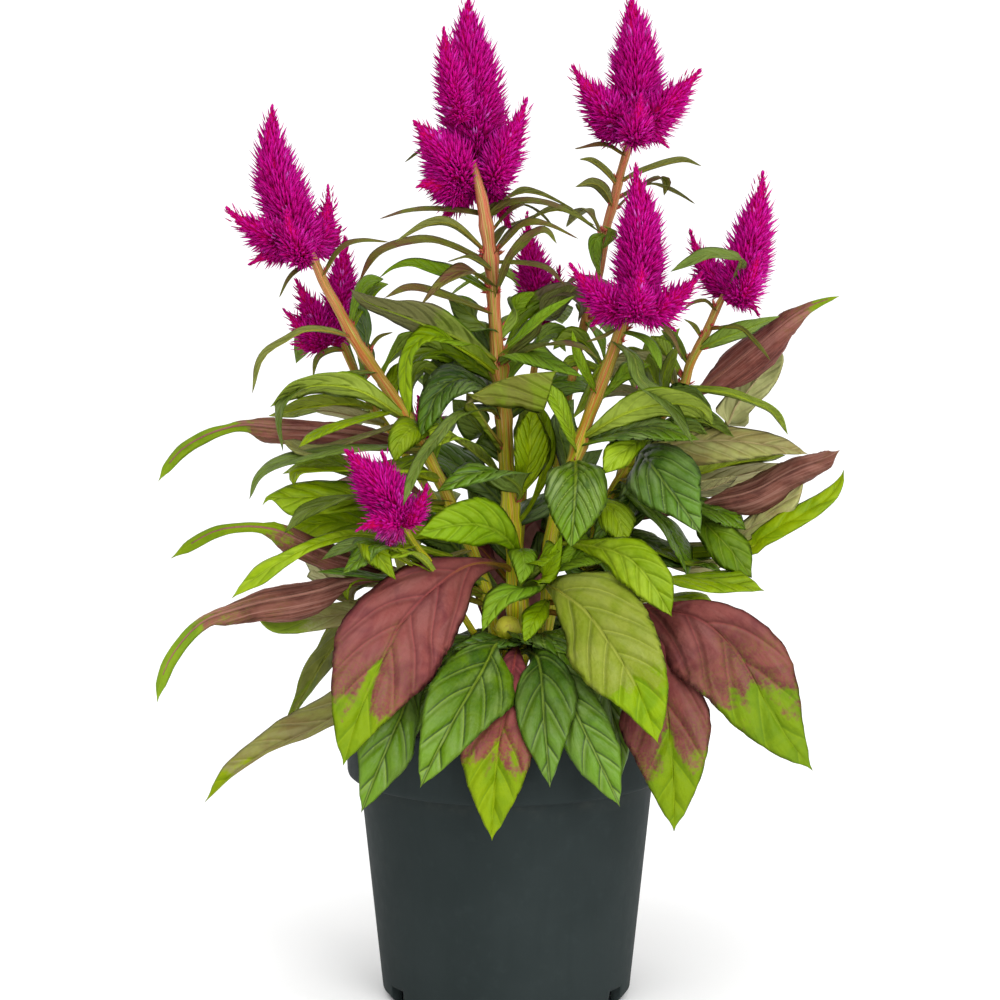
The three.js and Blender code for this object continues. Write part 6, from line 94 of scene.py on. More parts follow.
    ["leaf_centre_upright","main","H",0,[[1.28,-4.34,203.31],[6.21,-5.13,208.83],[9.43,-12,222.52],[9.4,-14,233.34],[10.6,-13,245.35]],[[-0.41,-0.88,0.24],[0.22,-0.87,-0.44],[0.74,-0.6,-0.31],[0.55,-0.83,-0.06],[0.44,-0.9,0.03]],[[1.11,1.1],[1.16,1.17],[10.95,10.14],[8.61,8.13],[0.3,0.35]],[0.21,0.21,0.21,0.21,0.21],[-0.38,-0.38,-0.38,-0.38,-0.38]],
    ["leaf_centre_dark","main","D",0,[[1.6,-4.09,203.17],[5.52,-8.43,209.96],[-0.24,-24,219.38],[-10.58,-33,221.48],[-19.27,-38,219],[-27.56,-40,214.5]],[[-0.9,-0.31,0.32],[-0.81,0.42,0.42],[0.17,0.32,0.93],[0.15,-0.23,0.96],[-0.16,-0.47,0.87],[-0.3,-0.53,0.79]],[[2.25,2.25],[1.56,1.54],[13.3,10.88],[9.68,10.56],[5.76,5.77],[0.4,0.4]],[0.21,0.21,0.21,0.21,0.21,0.21],[-0.38,-0.38,-0.38,-0.38,-0.38,-0.38]],
    ["leaf_centre_folded","main","P",1,[[-0.03,-3.97,226.36],[-2.27,-7.85,230],[-9.83,-20,242.62],[-13.76,-28,250.46],[-8.18,-33,255.87],[1.7,-36,259.81],[11.17,-37,261.52],[19.85,-37,262.31]],[[0.9,-0.14,0.41],[0.91,-0.17,0.38],[0.92,-0.15,0.37],[0.91,0.34,0.22],[-0.62,-0.46,0.64],[-0.34,-0.6,0.73],[-0.14,-0.63,0.76],[-0.07,-0.64,0.77]],[[3.38,3.47],[3.1,3.1],[3.07,3.11],[2.48,5.79],[10.03,3.38],[13.6,3.5],[17.09,2.25],[1.11,0.65]],[-0.87,-0.87,-0.87,-0.87,-0.87,-0.87,-0.87,-0.87],[-0.35,-0.35,-0.35,-0.35,-0.35,-0.35,-0.35,-0.35]],
    ["leaf_c1","main","G",0,[[-2.95,-3.59,258.59],[-2.83,-7.3,261.96],[6.54,-18,267.71],[18.44,-24,263.58],[30.33,-27,258.74]],[[0.73,0.47,0.49],[-0.09,0.49,0.87],[-0.24,-0.21,0.95],[0.09,-0.57,0.82],[0.16,-0.61,0.77]],[[1.38,1.38],[1.6,1.66],[8.93,8.98],[4.68,4.68],[0.32,0.34]],[0.21,0.21,0.21,0.21,0.21],[-0.38,-0.38,-0.38,-0.38,-0.38]],
    ["leaf_c2","centre_right","H",0,[[28.6,-11.36,227.44],[23.7,-22,240.86],[19.65,-25,249.68],[13.67,-25,257.7]],[[0.96,-0.24,0.16],[0.91,-0.39,0.13],[0.68,-0.67,0.29],[0.57,-0.71,0.42]],[[2.52,2.53],[6.64,6.64],[5.01,5.56],[0.34,0.38]],[0.21,0.21,0.21,0.21],[-0.38,-0.38,-0.38,-0.38]],
    ["leaf_upper_left_broad","main","B",1,[[-3.09,-3.71,260.72],[-5.09,-6.73,263.61],[-20.59,-18,274.12],[-36.35,-26,281.77],[-50.05,-31,287.45],[-61.75,-34,294.48]],[[-0.84,0.55,-0.01],[-0.31,0.82,0.47],[-0.05,0.73,0.69],[0.13,0.56,0.82],[0.31,0.39,0.87],[0.45,0.25,0.86]],[[1.29,1.27],[1.08,1.03],[6.4,6.44],[12.58,13.34],[12.97,12.97],[1.41,1.42]],[0.21,0.21,0.21,0.21,0.21,0.21],[-0.38,-0.38,-0.38,-0.38,-0.38,-0.38]],
    ["leaf_arch_left","left","H",0,[[-40.17,-14.47,240.22],[-56.32,-26,252.61],[-70,-31,256.82],[-81.75,-34,255.19],[-93.57,-36,247.87]],[[-0.35,0.87,0.36],[-0.11,0.8,0.59],[-0.08,0.52,0.85],[-0.4,0.4,0.82],[-0.53,0.37,0.76]],[[1.33,1.34],[4.96,5],[11.04,10.11],[11.14,11.17],[0.73,0.72]],[0.21,0.21,0.21,0.21,0.21],[-0.38,-0.38,-0.38,-0.38,-0.38]],
    ["leaf_l1","left","K",0,[[-52,-15.82,260.1],[-64.93,-18.05,259.09],[-75.27,-20,254.69],[-87.1,-38,251.71],[-89.77,-41,243.34],[-88.24,-42,230.75]],[[-0.04,-0.23,0.97],[-0.18,-0.23,0.96],[-0.32,0,0.95],[-0.5,-0.12,0.86],[-0.83,-0.53,0.15],[-0.82,-0.56,-0.06]],[[2.88,2.8],[2.89,2.87],[4.55,4.55],[5.97,6.02],[2.86,2.87],[0.39,0.44]],[0.21,0.21,0.21,0.21,0.21,0.21],[-0.38,-0.38,-0.38,-0.38,-0.38,-0.38]],
    ["leaf_l2","left_back","H",0,[[-54.74,25.72,239.51],[-65.89,14,243.16],[-81.92,8,242.28],[-96.82,5,238.98]],[[-0.54,0.67,0.5],[-0.37,0.67,0.65],[-0.26,0.52,0.81],[-0.28,0.47,0.84]],[[1,1.05],[3.63,3.59],[9.38,8.41],[0.61,0.59]],[0.21,0.21,0.21,0.21],[-0.38,-0.38,-0.38,-0.38]],
    ["leaf_l3","left_back","L",0,[[-49.68,26.07,232.52],[-56.74,20,235.8],[-70.07,16,239.61],[-81.77,13,240.82]],[[-0.25,0.67,0.7],[-0.04,0.63,0.78],[0.06,0.44,0.89],[0,0.38,0.93]],[[1.18,1.14],[3.57,4.34],[7.38,7.41],[0.86,0.89]],[0.21,0.21,0.21,0.21],[-0.38,-0.38,-0.38,-0.38]],
    ["leaf_arch_vertical","main","G",0,[[-2.77,-3.84,256.62],[-14.6,-20,268.33],[-24.44,-28,274.42],[-33.85,-33,274.96],[-39.33,-36,268.15],[-40.14,-37,256.75],[-38.21,-37,243.62]],[[0.08,0.55,0.83],[0.28,0.39,0.88],[0.38,-0.1,0.92],[-0.16,-0.4,0.9],[-0.63,-0.68,0.37],[-0.6,-0.8,0],[-0.54,-0.84,-0.08]],[[1.25,1.26],[6.91,6.98],[14.62,14.61],[5.92,5.91],[3.92,3.93],[3.64,3.62],[0.25,0.27]],[0.21,0.21,0.21,0.21,0.21,0.21,0.21],[-0.38,-0.38,-0.38,-0.38,-0.38,-0.38,-0.38]],
    ["leaf_c3","main","D",0,[[-1.67,-3.9,246.48],[-16.66,-14,256.38],[-26.61,-19,252.55],[-31.37,-22,243.28],[-34.57,-23,233.75]],[[0.56,-0.02,0.83],[0.36,-0.23,0.9],[-0.31,-0.62,0.72],[-0.54,-0.75,0.39],[-0.6,-0.75,0.28]],[[4.55,4.45],[12.06,13.04],[8.29,8.85],[5.65,6.17],[0.36,0.3]],[0.21,0.21,0.21,0.21,0.21],[-0.38,-0.38,-0.38,-0.38,-0.38]],
    ["leaf_c4","left","H",0,[[-35.93,-13.26,233.44],[-34.3,-14.69,237.48],[-38.9,-25,237.24],[-43.18,-30,232.29],[-44.35,-32,225.35]],[[-0.45,0.77,0.45],[0.58,0.11,0.81],[0.6,-0.55,0.58],[0.42,-0.85,0.31],[0.38,-0.9,0.2]],[[1.23,1.3],[5.4,5.42],[6.41,6.45],[4.92,5.42],[0.27,0.28]],[0.21,0.21,0.21,0.21,0.21],[-0.38,-0.38,-0.38,-0.38,-0.38]],
    ["leaf_c5","main","Y",0,[[0.57,-3.96,213.65],[-4.73,-8.41,219.3],[-14.63,-22,229.99],[-21.72,-29,235.36],[-29.22,-33,231.5]],[[0.77,-0.14,0.62],[0.38,0.43,0.82],[0.33,0.39,0.86],[0.23,-0.17,0.96],[-0.19,-0.47,0.86]],[[3.58,3.55],[2.31,2.28],[4.16,8.26],[19.13,5.38],[0.39,0.35]],[0.21,0.21,0.21,0.21,0.21],[-0.38,-0.38,-0.38,-0.38,-0.38]],
    ["leaf_c6","main","K",0,[[-1,-4.34,238.63],[-8.08,-9.5,244.74],[-20.09,-32,243.77],[-27.45,-44,236.99],[-33.53,-56,229.93],[-37.19,-68,222.99],[-40.24,-72,213.78]],[[0.75,-0.36,0.56],[0.17,0.07,0.98],[-0.09,-0.17,0.98],[-0.22,-0.39,0.89],[-0.26,-0.41,0.88],[-0.33,-0.6,0.73],[-0.45,-0.76,0.48]],[[1.89,1.98],[5.4,5.41],[3.18,3.16],[3.42,3.42],[3.14,3.08],[2.45,2.34],[0.32,0.32]],[0.21,0.21,0.21,0.21,0.21,0.21,0.21],[-0.38,-0.38,-0.38,-0.38,-0.38,-0.38,-0.38]],
    ["leaf_r1","centre_right","K",0,[[43.42,-14.1,271.52],[50.21,-25,266.9],[52.82,-31,258.82],[59.4,-36,253.05],[66.78,-40,245.2],[73.47,-42,233.93]],[[0.39,-0.15,0.91],[0.49,-0.33,0.81],[0.55,-0.43,0.71],[0.5,-0.39,0.77],[0.64,-0.45,0.62],[0.72,-0.47,0.51]],[[2.34,2.36],[4.52,4.48],[5.02,5.05],[6.66,6.63],[4.71,4.72],[0.5,0.49]],[0.21,0.21,0.21,0.21,0.21,0.21],[-0.38,-0.38,-0.38,-0.38,-0.38,-0.38]],
    ["leaf_r2","centre_right","G",0,[[45.21,-13.89,275.98],[55.16,-19,273.43],[59.5,-21,268.04],[61.5,-22,260.55]],[[0.08,-0.32,0.94],[0.27,-0.43,0.86],[0.65,-0.61,0.46],[0.72,-0.64,0.28]],[[1.35,1.4],[3.07,3.04],[3.25,3.2],[0.42,0.33]],[0.21,0.21,0.21,0.21],[-0.38,-0.38,-0.38,-0.38]],
    ["leaf_r3","right_tall","G",0,[[32.19,21.43,276.35],[38.01,12,270.86],[40.03,10,260.45]],[[0.38,-0.28,0.88],[0.61,-0.47,0.64],[0.86,-0.44,0.25]],[[1.22,1.24],[3.52,3.49],[0.49,0.51]],[0.21,0.21,0.21],[-0.38,-0.38,-0.38]],
    ["leaf_right_arch","centre_right","H",1,[[30.07,-11.38,231.79],[44.73,-26,242.99],[56.77,-33,248.69],[69.21,-38,249.72],[77.76,-41,247.32],[81.3,-42,241.09]],[[0.55,0.78,0.3],[0.37,0.81,0.45],[0.11,0.64,0.76],[0.25,0.51,0.82],[0.62,0.38,0.69],[0.85,0.31,0.43]],[[0.89,0.86],[4.73,5.13],[9.27,10.56],[11.86,12.68],[8.42,9.68],[0.67,0.74]],[0.21,0.21,0.21,0.21,0.21,0.21],[-0.38,-0.38,-0.38,-0.38,-0.38,-0.38]],
    ["leaf_r4","centre_right","D",0,[[29.34,-11.24,229.5],[47.4,-18,235.9],[61.24,-22,237.64],[77.09,-25,233.22]],[[-0.38,-0.16,0.91],[-0.32,-0.24,0.92],[-0.02,-0.41,0.91],[0.16,-0.47,0.87]],[[2.63,2.64],[11.43,10.2],[8.99,8.24],[0.37,0.38]],[0.21,0.21,0.21,0.21],[-0.38,-0.38,-0.38,-0.38]],
    ["leaf_r5","right","H",0,[[71.03,5.9,250.67],[87.35,-3,250.18],[98.42,-7,247.03],[107.59,-9,242.41],[113.26,-10,233.21]],[[0.35,0.61,0.71],[0.36,0.55,0.75],[0.43,0.44,0.79],[0.67,0.36,0.64],[0.82,0.34,0.47]],[[1.49,1.41],[3.22,3.99],[4.42,4.37],[5.04,5],[0.71,0.64]],[0.21,0.21,0.21,0.21,0.21],[-0.38,-0.38,-0.38,-0.38,-0.38]],
    ["leaf_r6","right","G",0,[[77.62,2.18,266.63],[86.59,-6,272.01],[94.76,-10,275.67],[101.4,-12,279.1],[109.31,-13,281.62]],[[0.38,0.76,0.52],[0.24,0.77,0.59],[-0.07,0.69,0.72],[-0.26,0.44,0.86],[-0.25,0.3,0.92]],[[0.9,1],[3.9,3.85],[5.71,5.72],[5.98,5.98],[1.11,1.09]],[0.21,0.21,0.21,0.21,0.21],[-0.38,-0.38,-0.38,-0.38,-0.38]],
    ["leaf_r7","right","T",0,[[81.78,0.96,274.8],[92.38,-16,277.52],[98.43,-22,272.96],[105.14,-24,264.78]],[[0.74,0.53,0.42],[0.72,0.48,0.5],[0.76,0.32,0.56],[0.77,0.33,0.55]],[[0.58,0.57],[1.37,1.34],[3.07,3.07],[0.53,0.57]],[0.21,0.21,0.21,0.21],[-0.38,-0.38,-0.38,-0.38]],
    ["leaf_r8","right","G",0,[[64.66,8.72,241.04],[63.55,-2,254.53],[65.84,-4,262.07],[69.37,-5,269.07]],[[0.85,0.37,0.36],[0.88,0.43,0.21],[0.89,0.35,-0.29],[0.87,0.27,-0.4]],[[1.66,1.64],[4.41,4.44],[5.64,5.65],[0.64,0.59]],[0.21,0.21,0.21,0.21],[-0.38,-0.38,-0.38,-0.38]],
    ["leaf_r9","back_right","G",0,[[54.42,56.72,226.04],[59.6,44,260.7],[65.3,42,264.26],[71.79,40,271.13]],[[0.66,0.73,0.17],[0.57,0.81,0.15],[-0.04,0.92,0.39],[0.02,0.97,0.26]],[[1.05,1.08],[3.76,3.77],[4.18,4.21],[0.26,0.27]],[0.21,0.21,0.21,0.21],[-0.38,-0.38,-0.38,-0.38]],
    ["leaf_r10","centre_right","H",0,[[29.49,-11.67,230.19],[43,-10.58,233.5],[54.1,-10,232.4],[49.36,-20,230.12],[44.03,-25,226.78],[38.4,-28,219.96]],[[-0.14,-0.6,0.79],[-0.04,-0.53,0.85],[0.36,-0.09,0.93],[0.44,-0.56,0.7],[0.18,-0.86,0.48],[0.14,-0.94,0.3]],[[1.38,1.46],[1.58,1.62],[2.76,2.8],[4.59,4.68],[6.05,6.01],[0.28,0.28]],[0.21,0.21,0.21,0.21,0.21,0.21],[-0.38,-0.38,-0.38,-0.38,-0.38,-0.38]],
    ["leaf_r11","centre_right","H",0,[[20.89,-8.56,203.57],[26.85,-7.01,205.82],[40.37,-16,205.23],[44.64,-22,199.66],[47.43,-24,190.24]],[[0.12,-0.94,0.32],[-0.27,-0.52,0.81],[-0.04,-0.42,0.91],[0.32,-0.76,0.56],[0.47,-0.82,0.31]],[[1.06,1.02],[1.42,1.51],[5.51,5.55],[8.43,8.45],[0.35,0.26]],[0.21,0.21,0.21,0.21,0.21],[-0.38,-0.38,-0.38,-0.38,-0.38]],
    ["leaf_r12","right","D",0,[[58.12,10.03,232.49],[74.26,0,237.99],[83.02,-3,236.75],[92.65,-5,230.5]],[[0.34,0.81,0.48],[0.29,0.75,0.59],[0.44,0.53,0.73],[0.54,0.48,0.68]],[[1.03,1.03],[5.15,5.24],[8.56,8.61],[0.48,0.55]],[0.21,0.21,0.21,0.21],[-0.38,-0.38,-0.38,-0.38]],
    ["leaf_r13","centre_right","G",0,[[17.32,-5.26,179.24],[16.42,-10.18,181.88],[23.88,-20,183.07],[33.4,-25,186.75],[42.13,-28,185.22]],[[0.32,0.4,0.86],[-0.15,0.18,0.97],[-0.44,-0.21,0.87],[-0.35,-0.61,0.71],[-0.13,-0.72,0.68]],[[1.41,1.43],[5.34,5.4],[7.63,7.58],[6.65,6.59],[0.28,0.28]],[0.21,0.21,0.21,0.21,0.21],[-0.38,-0.38,-0.38,-0.38,-0.38]],
    ["leaf_r14","centre_right","D",0,[[17.55,-6.53,186.54],[29.82,-6,173.33],[44.1,-4,168.04],[60.45,-2,164.38]],[[0.72,-0.19,0.66],[0.57,-0.2,0.79],[0.3,-0.25,0.92],[0.24,-0.26,0.93]],[[2.79,2.82],[9.94,9.92],[9.06,9],[0.5,0.5]],[0.21,0.21,0.21,0.21],[-0.38,-0.38,-0.38,-0.38]],
    ["leaf_r15","main","G",0,[[3.87,-3.86,180.72],[4.61,-9.3,186.36],[6.17,-24,187.81],[6.94,-30,183.13],[5.34,-33,175.95]],[[0.32,0.7,0.63],[0.03,0.33,0.94],[0.06,-0.15,0.99],[0.1,-0.8,0.6],[0.02,-0.92,0.38]],[[1.06,1.09],[1.13,1.24],[6.17,6.11],[4.85,4.87],[0.26,0.28]],[0.21,0.21,0.21,0.21,0.21],[-0.38,-0.38,-0.38,-0.38,-0.38]],
    ["leaf_left_long","left","K",1,[[-33.39,-12.16,228.41],[-59.55,-28,230.81],[-76.35,-35,229.38],[-89.18,-40,226.48],[-97.74,-43,220.93],[-101.71,-44,211.9]],[[0.04,0.08,1],[0.02,0,1],[-0.08,-0.15,0.99],[-0.28,-0.24,0.93],[-0.65,-0.37,0.66],[-0.81,-0.42,0.4]],[[4.55,4.49],[8.97,8.96],[8.15,8.23],[6.67,6.65],[3.84,3.84],[0.5,0.57]],[0.21,0.21,0.21,0.21,0.21,0.21],[-0.38,-0.38,-0.38,-0.38,-0.38,-0.38]],
    ["leaf_left_broad","left","H",1,[[-21.53,-8.03,202.11],[-56.54,-26,210.39],[-72.24,-32,211.69],[-85.15,-36,211.89],[-93.76,-38,212.19],[-96.9,-39,208.74]],[[0.45,-0.55,0.7],[0.4,-0.56,0.72],[0.25,-0.59,0.77],[0.19,-0.61,0.77],[-0.05,-0.63,0.77],[-0.43,-0.69,0.59]],[[1.47,1.45],[7.01,7.05],[9.15,9.11],[7.49,9.73],[1.6,1.6],[0.27,0.32]],[0.21,0.21,0.21,0.21,0.21,0.21],[-0.38,-0.38,-0.38,-0.38,-0.38,-0.38]],
    ["leaf_left_broad_low","left","H",0,[[-17.19,-6.72,192.34],[-48.85,-18,196.59],[-64.66,-24,200.38],[-78.48,-28,199.79],[-90.39,-30,194.45]],[[0.31,-0.58,0.75],[0.34,-0.58,0.74],[0.28,-0.59,0.76],[-0.03,-0.62,0.78],[-0.22,-0.65,0.73]],[[1.48,1.4],[7.66,7.73],[10.89,10.84],[8.26,8.99],[0.36,0.35]],[0.21,0.21,0.21,0.21,0.21],[-0.38,-0.38,-0.38,-0.38,-0.38]],
    ["leaf_left_narrow","left","K",0,[[-23.22,-8.57,206.07],[-57.31,-38,212.19],[-69.74,-44,211.5],[-78.25,-48,208.52],[-82.91,-50,204.85],[-87.62,-51,199.43]],[[-0.02,0.23,0.97],[0,0.15,0.99],[-0.11,-0.13,0.99],[-0.35,-0.24,0.91],[-0.6,-0.34,0.73],[-0.67,-0.36,0.65]],[[3.43,3.34],[6.7,6.72],[8.29,8.3],[7.54,7.53],[4.68,4.71],[0.57,0.59]],[0.21,0.21,0.21,0.21,0.21,0.21],[-0.38,-0.38,-0.38,-0.38,-0.38,-0.38]],
    ["leaf_left_low","left","H",1,[[-11.8,-3.79,179.38],[-50.5,-30,194.86],[-64.06,-40,196.87],[-77.52,-49,194.32],[-87.25,-52,189.63],[-96.29,-53,184.21],[-103.82,-53,178.62],[-108.59,-53,173.82]],[[0.6,-0.53,0.6],[0.57,-0.52,0.63],[0.35,-0.52,0.78],[0.06,-0.59,0.8],[-0.23,-0.67,0.7],[-0.37,-0.69,0.62],[-0.46,-0.71,0.54],[-0.5,-0.72,0.49]],[[1.44,1.37],[2.1,2.15],[3.14,3.19],[2.95,2.93],[3.64,3.66],[5.19,5.25],[2.1,2.59],[0.32,0.32]],[0.21,0.21,0.21,0.21,0.21,0.21,0.21,0.21],[-0.38,-0.38,-0.38,-0.38,-0.38,-0.38,-0.38,-0.38]],
    ["leaf_l4","left","H",0,[[-32.89,-11.79,225.42],[-50.81,-16,220.66],[-64.69,-20,222.44],[-77.35,-23,223.67],[-89.66,-25,219.52]],[[-0.17,-0.34,0.93],[-0.02,-0.29,0.96],[0.17,-0.24,0.96],[-0.04,-0.33,0.94],[-0.24,-0.38,0.89]],[[1.85,1.76],[7.58,7.52],[11.44,11.45],[6.14,7],[0.5,0.52]],[0.21,0.21,0.21,0.21,0.21],[-0.38,-0.38,-0.38,-0.38,-0.38]],
    ["leaf_l5","front_left","K",0,[[-32.43,-40.98,189.19],[-53.04,-50,196.48],[-63.53,-54,194.74],[-72.9,-56,189.9]],[[0.39,-0.16,0.91],[0.25,-0.18,0.95],[-0.21,-0.33,0.92],[-0.36,-0.38,0.85]],[[1.84,1.74],[3.25,3.24],[5.07,5.04],[0.4,0.48]],[0.21,0.21,0.21,0.21],[-0.38,-0.38,-0.38,-0.38]],
    ["leaf_l6","front_left","D",0,[[-30.76,-39.01,185.92],[-52.07,-56,195.86],[-58.23,-60,190.56],[-64.45,-62,185.34]],[[0.35,0.11,0.93],[0.18,-0.01,0.98],[-0.44,-0.45,0.78],[-0.48,-0.46,0.75]],[[3.35,3.34],[9.1,9.03],[6.32,6.26],[0.41,0.39]],[0.21,0.21,0.21,0.21],[-0.38,-0.38,-0.38,-0.38]],
    ["leaf_l7","front_left","H",0,[[-28.5,-35.37,181.28],[-50.44,-58,194.6],[-47.61,-62,188.91],[-43.28,-64,183.31]],[[0.45,0.09,0.89],[0.16,0.17,0.97],[-0.14,-0.91,0.4],[0,-0.94,0.34]],[[3.35,3.44],[8.9,8.95],[3.16,3.22],[0.23,0.28]],[0.21,0.21,0.21,0.21],[-0.38,-0.38,-0.38,-0.38]],
    ["leaf_l8","front_left","H",0,[[-36.28,-44.31,193.71],[-42.05,-49,193.52],[-51.11,-50,189.29]],[[0.03,-0.08,1],[-0.14,-0.36,0.92],[-0.33,-0.46,0.82]],[[2.08,2.08],[3.13,3.11],[0.35,0.45]],[0.21,0.21,0.21],[-0.38,-0.38,-0.38]],
    ["leaf_l9","left","L",0,[[-14.74,-6.22,186.22],[-59.02,-18,173.35],[-65,-20,169.21],[-74.15,-22,172.01]],[[-0.23,-0.17,0.96],[-0.27,-0.18,0.95],[-0.05,-0.13,0.99],[0.31,-0.12,0.94]],[[2.46,2.5],[7.32,7.26],[10.69,10.7],[0.75,0.76]],[0.21,0.21,0.21,0.21],[-0.38,-0.38,-0.38,-0.38]],
    ["leaf_l10","left_back","L",0,[[-15.34,13.58,165.2],[-65.68,-2,172.64],[-75.63,-6,178.68],[-84.4,-8,184.76]],[[0.07,0.24,0.97],[0.12,0.29,0.95],[0.31,0.57,0.76],[0.44,0.44,0.78]],[[4.47,4.53],[13.38,13.35],[8.4,8.45],[0.75,0.8]],[0.21,0.21,0.21,0.21],[-0.38,-0.38,-0.38,-0.38]],
    ["leaf_l11","left","L",0,[[-39.8,-14.3,239.68],[-70.39,-26,230.54],[-82.14,-30,229.88],[-89.55,-32,234.17]],[[-0.19,-0.24,0.95],[-0.14,-0.23,0.96],[0.23,-0.15,0.96],[0.53,-0.2,0.82]],[[1.69,1.64],[4.42,4.47],[9.14,9.11],[0.57,0.67]],[0.21,0.21,0.21,0.21],[-0.38,-0.38,-0.38,-0.38]],
    ["leaf_l12","left","H",0,[[-42.7,-14.16,244.28],[-64.19,-30,240.71],[-75.85,-36,237.11],[-82.47,-39,231.93]],[[-0.09,-0.09,0.99],[-0.11,-0.15,0.98],[-0.28,-0.32,0.91],[-0.44,-0.4,0.8]],[[2.37,2.42],[5.12,5.11],[4.53,4.46],[0.41,0.44]],[0.21,0.21,0.21,0.21],[-0.38,-0.38,-0.38,-0.38]],
    ["leaf_l13","left","H",0,[[-26.84,-10.17,214.73],[-42.42,-30,221.85],[-74.06,-34,222.43],[-83.49,-36,221.91],[-84.27,-37,216.45]],[[-0.24,0.49,0.84],[0.1,0.11,0.99],[0.04,-0.23,0.97],[-0.44,-0.22,0.87],[-0.86,-0.46,0.21]],[[1.07,1.06],[8.98,8.96],[3.35,3.32],[6.15,6.15],[0.46,0.51]],[0.21,0.21,0.21,0.21,0.21],[-0.38,-0.38,-0.38,-0.38,-0.38]],
    ["leaf_rolled_upper_left","left","R",1,[[-30.48,-11.04,222.44],[-33.96,-8.46,225.36],[-46.79,0,229.42],[-59.23,-3,232.68],[-75.25,-6,234.71],[-91.2,-9,235.92],[-104.68,-12,237.53],[-111.72,-15,236.72],[-119.95,-18,234.29],[-128.9,-22,229.58],[-134.23,-26,224.1],[-138.76,-30,217.03]],[[0.09,0.8,-0.6],[0.28,0.77,-0.58],[0.07,0.89,-0.44],[-0.26,0.89,-0.37],[-0.21,0.9,-0.39],[-0.22,0.9,-0.39],[-0.27,0.88,-0.39],[-0.24,0.86,-0.45],[-0.16,0.87,-0.47],[-0.12,0.86,-0.5],[-0.03,0.85,-0.52],[0.01,0.87,-0.5]],[[1.35,1.32],[1.31,1.34],[6.65,7.56],[10.41,11.29],[10.78,10.84],[11.28,11.33],[3.06,3.13],[2.37,2.36],[2.94,2.95],[3.17,3.11],[2.56,2.58],[0.21,0.3]],[0,0,0,0,0,0,0,0,0,0,0,0],[1.22,1.22,2.3,2.3,2.3,2.3,0.91,0.91,0.91,0.91,0.91,0.52]],
    ["leaf_rolled_mid_left","left","R",1,[[-6.21,-0.65,160.32],[-11.15,-1.38,163.19],[-43.3,-2,174.7],[-58.68,-26,183.67],[-72.21,-36,189.78],[-81.75,-43,195.35],[-90.2,-47,199.99],[-98.07,-47,201.59],[-106.02,-46,201.43],[-114.79,-45,199.67],[-124.09,-43,194.54],[-133.44,-41,187.79]],[[-0.31,0.9,-0.31],[-0.18,0.9,-0.39],[-0.53,0.81,-0.26],[-0.79,0.6,-0.16],[-0.64,0.74,-0.19],[-0.59,0.79,-0.19],[-0.34,0.88,-0.34],[0.02,0.9,-0.43],[0.15,0.9,-0.4],[0.27,0.91,-0.32],[0.34,0.91,-0.22],[0.34,0.92,-0.2]],[[1.33,1.27],[1.3,1.27],[7.49,7.51],[12.21,12.23],[12.25,12.26],[12.26,13.17],[7.51,8.5],[2.41,2.45],[2.41,2.37],[2.93,2.91],[2.89,2.86],[0.31,0.29]],[0,0,0,0,0,0,0,0,0,0,0,0],[1.22,1.22,2.3,2.3,2.3,2.3,2.3,0.91,0.91,0.91,0.91,0.52]],
    ["leaf_rolled_low_left","left","R",1,[[-7.81,-2,167.43],[-42.74,-24,177.24],[-61.77,-30,177.05],[-73.55,-35,174.28],[-85.36,-38,171.97],[-98.72,-41,170.09],[-110.53,-43,166.82],[-118.42,-44,164.18],[-124.66,-46,159.71],[-130.04,-49,153.83],[-134.22,-52,147.17],[-136.83,-55,139.72],[-137.84,-58,133.09]],[[-0.57,0.76,-0.32],[-0.48,0.79,-0.38],[-0.26,0.85,-0.46],[-0.19,0.86,-0.48],[-0.13,0.88,-0.46],[-0.08,0.89,-0.45],[-0.01,0.9,-0.44],[0.02,0.9,-0.43],[0.02,0.89,-0.46],[0.05,0.88,-0.46],[0.11,0.9,-0.43],[0.14,0.9,-0.42],[0.16,0.89,-0.43]],[[1.36,1.42],[1.68,1.7],[2.44,2.39],[14.07,14.13],[16.87,16.93],[14.15,13.11],[8.93,8.46],[3.13,3.15],[3.31,3.28],[3.39,3.29],[3.14,3.14],[2.38,2.36],[0.23,0.24]],[0,0,0,0,0,0,0,0,0,0,0,0,0],[1.22,1.22,1.22,2.3,2.3,2.3,2.3,0.91,0.91,0.91,0.91,0.91,0.52]],
    ["leaf_rolled_upper_right","right","R",1,[[63.46,8.88,239.89],[78.93,14,248.5],[85.42,14,253.43],[93.86,13,260.11],[103.01,11,268.11],[112.13,9,276.07],[120.33,11,281.57],[127.6,16,284.33],[136.23,22,286.19]],[[-0.03,0.88,-0.48],[0.06,0.9,-0.43],[0.28,0.92,-0.28],[0.35,0.91,-0.23],[0.37,0.91,-0.2],[0.24,0.92,-0.31],[-0.11,0.85,-0.52],[-0.37,0.76,-0.54],[-0.41,0.75,-0.51]],[[1.37,1.38],[2.75,2.69],[12.18,12.18],[18.77,18.71],[16.93,16.9],[12.22,11.31],[3.38,3.29],[1.87,1.97],[0.3,0.26]],[0,0,0,0,0,0,0,0,0],[1.22,1.22,2.3,2.3,2.3,2.3,0.91,0.91,0.52]],
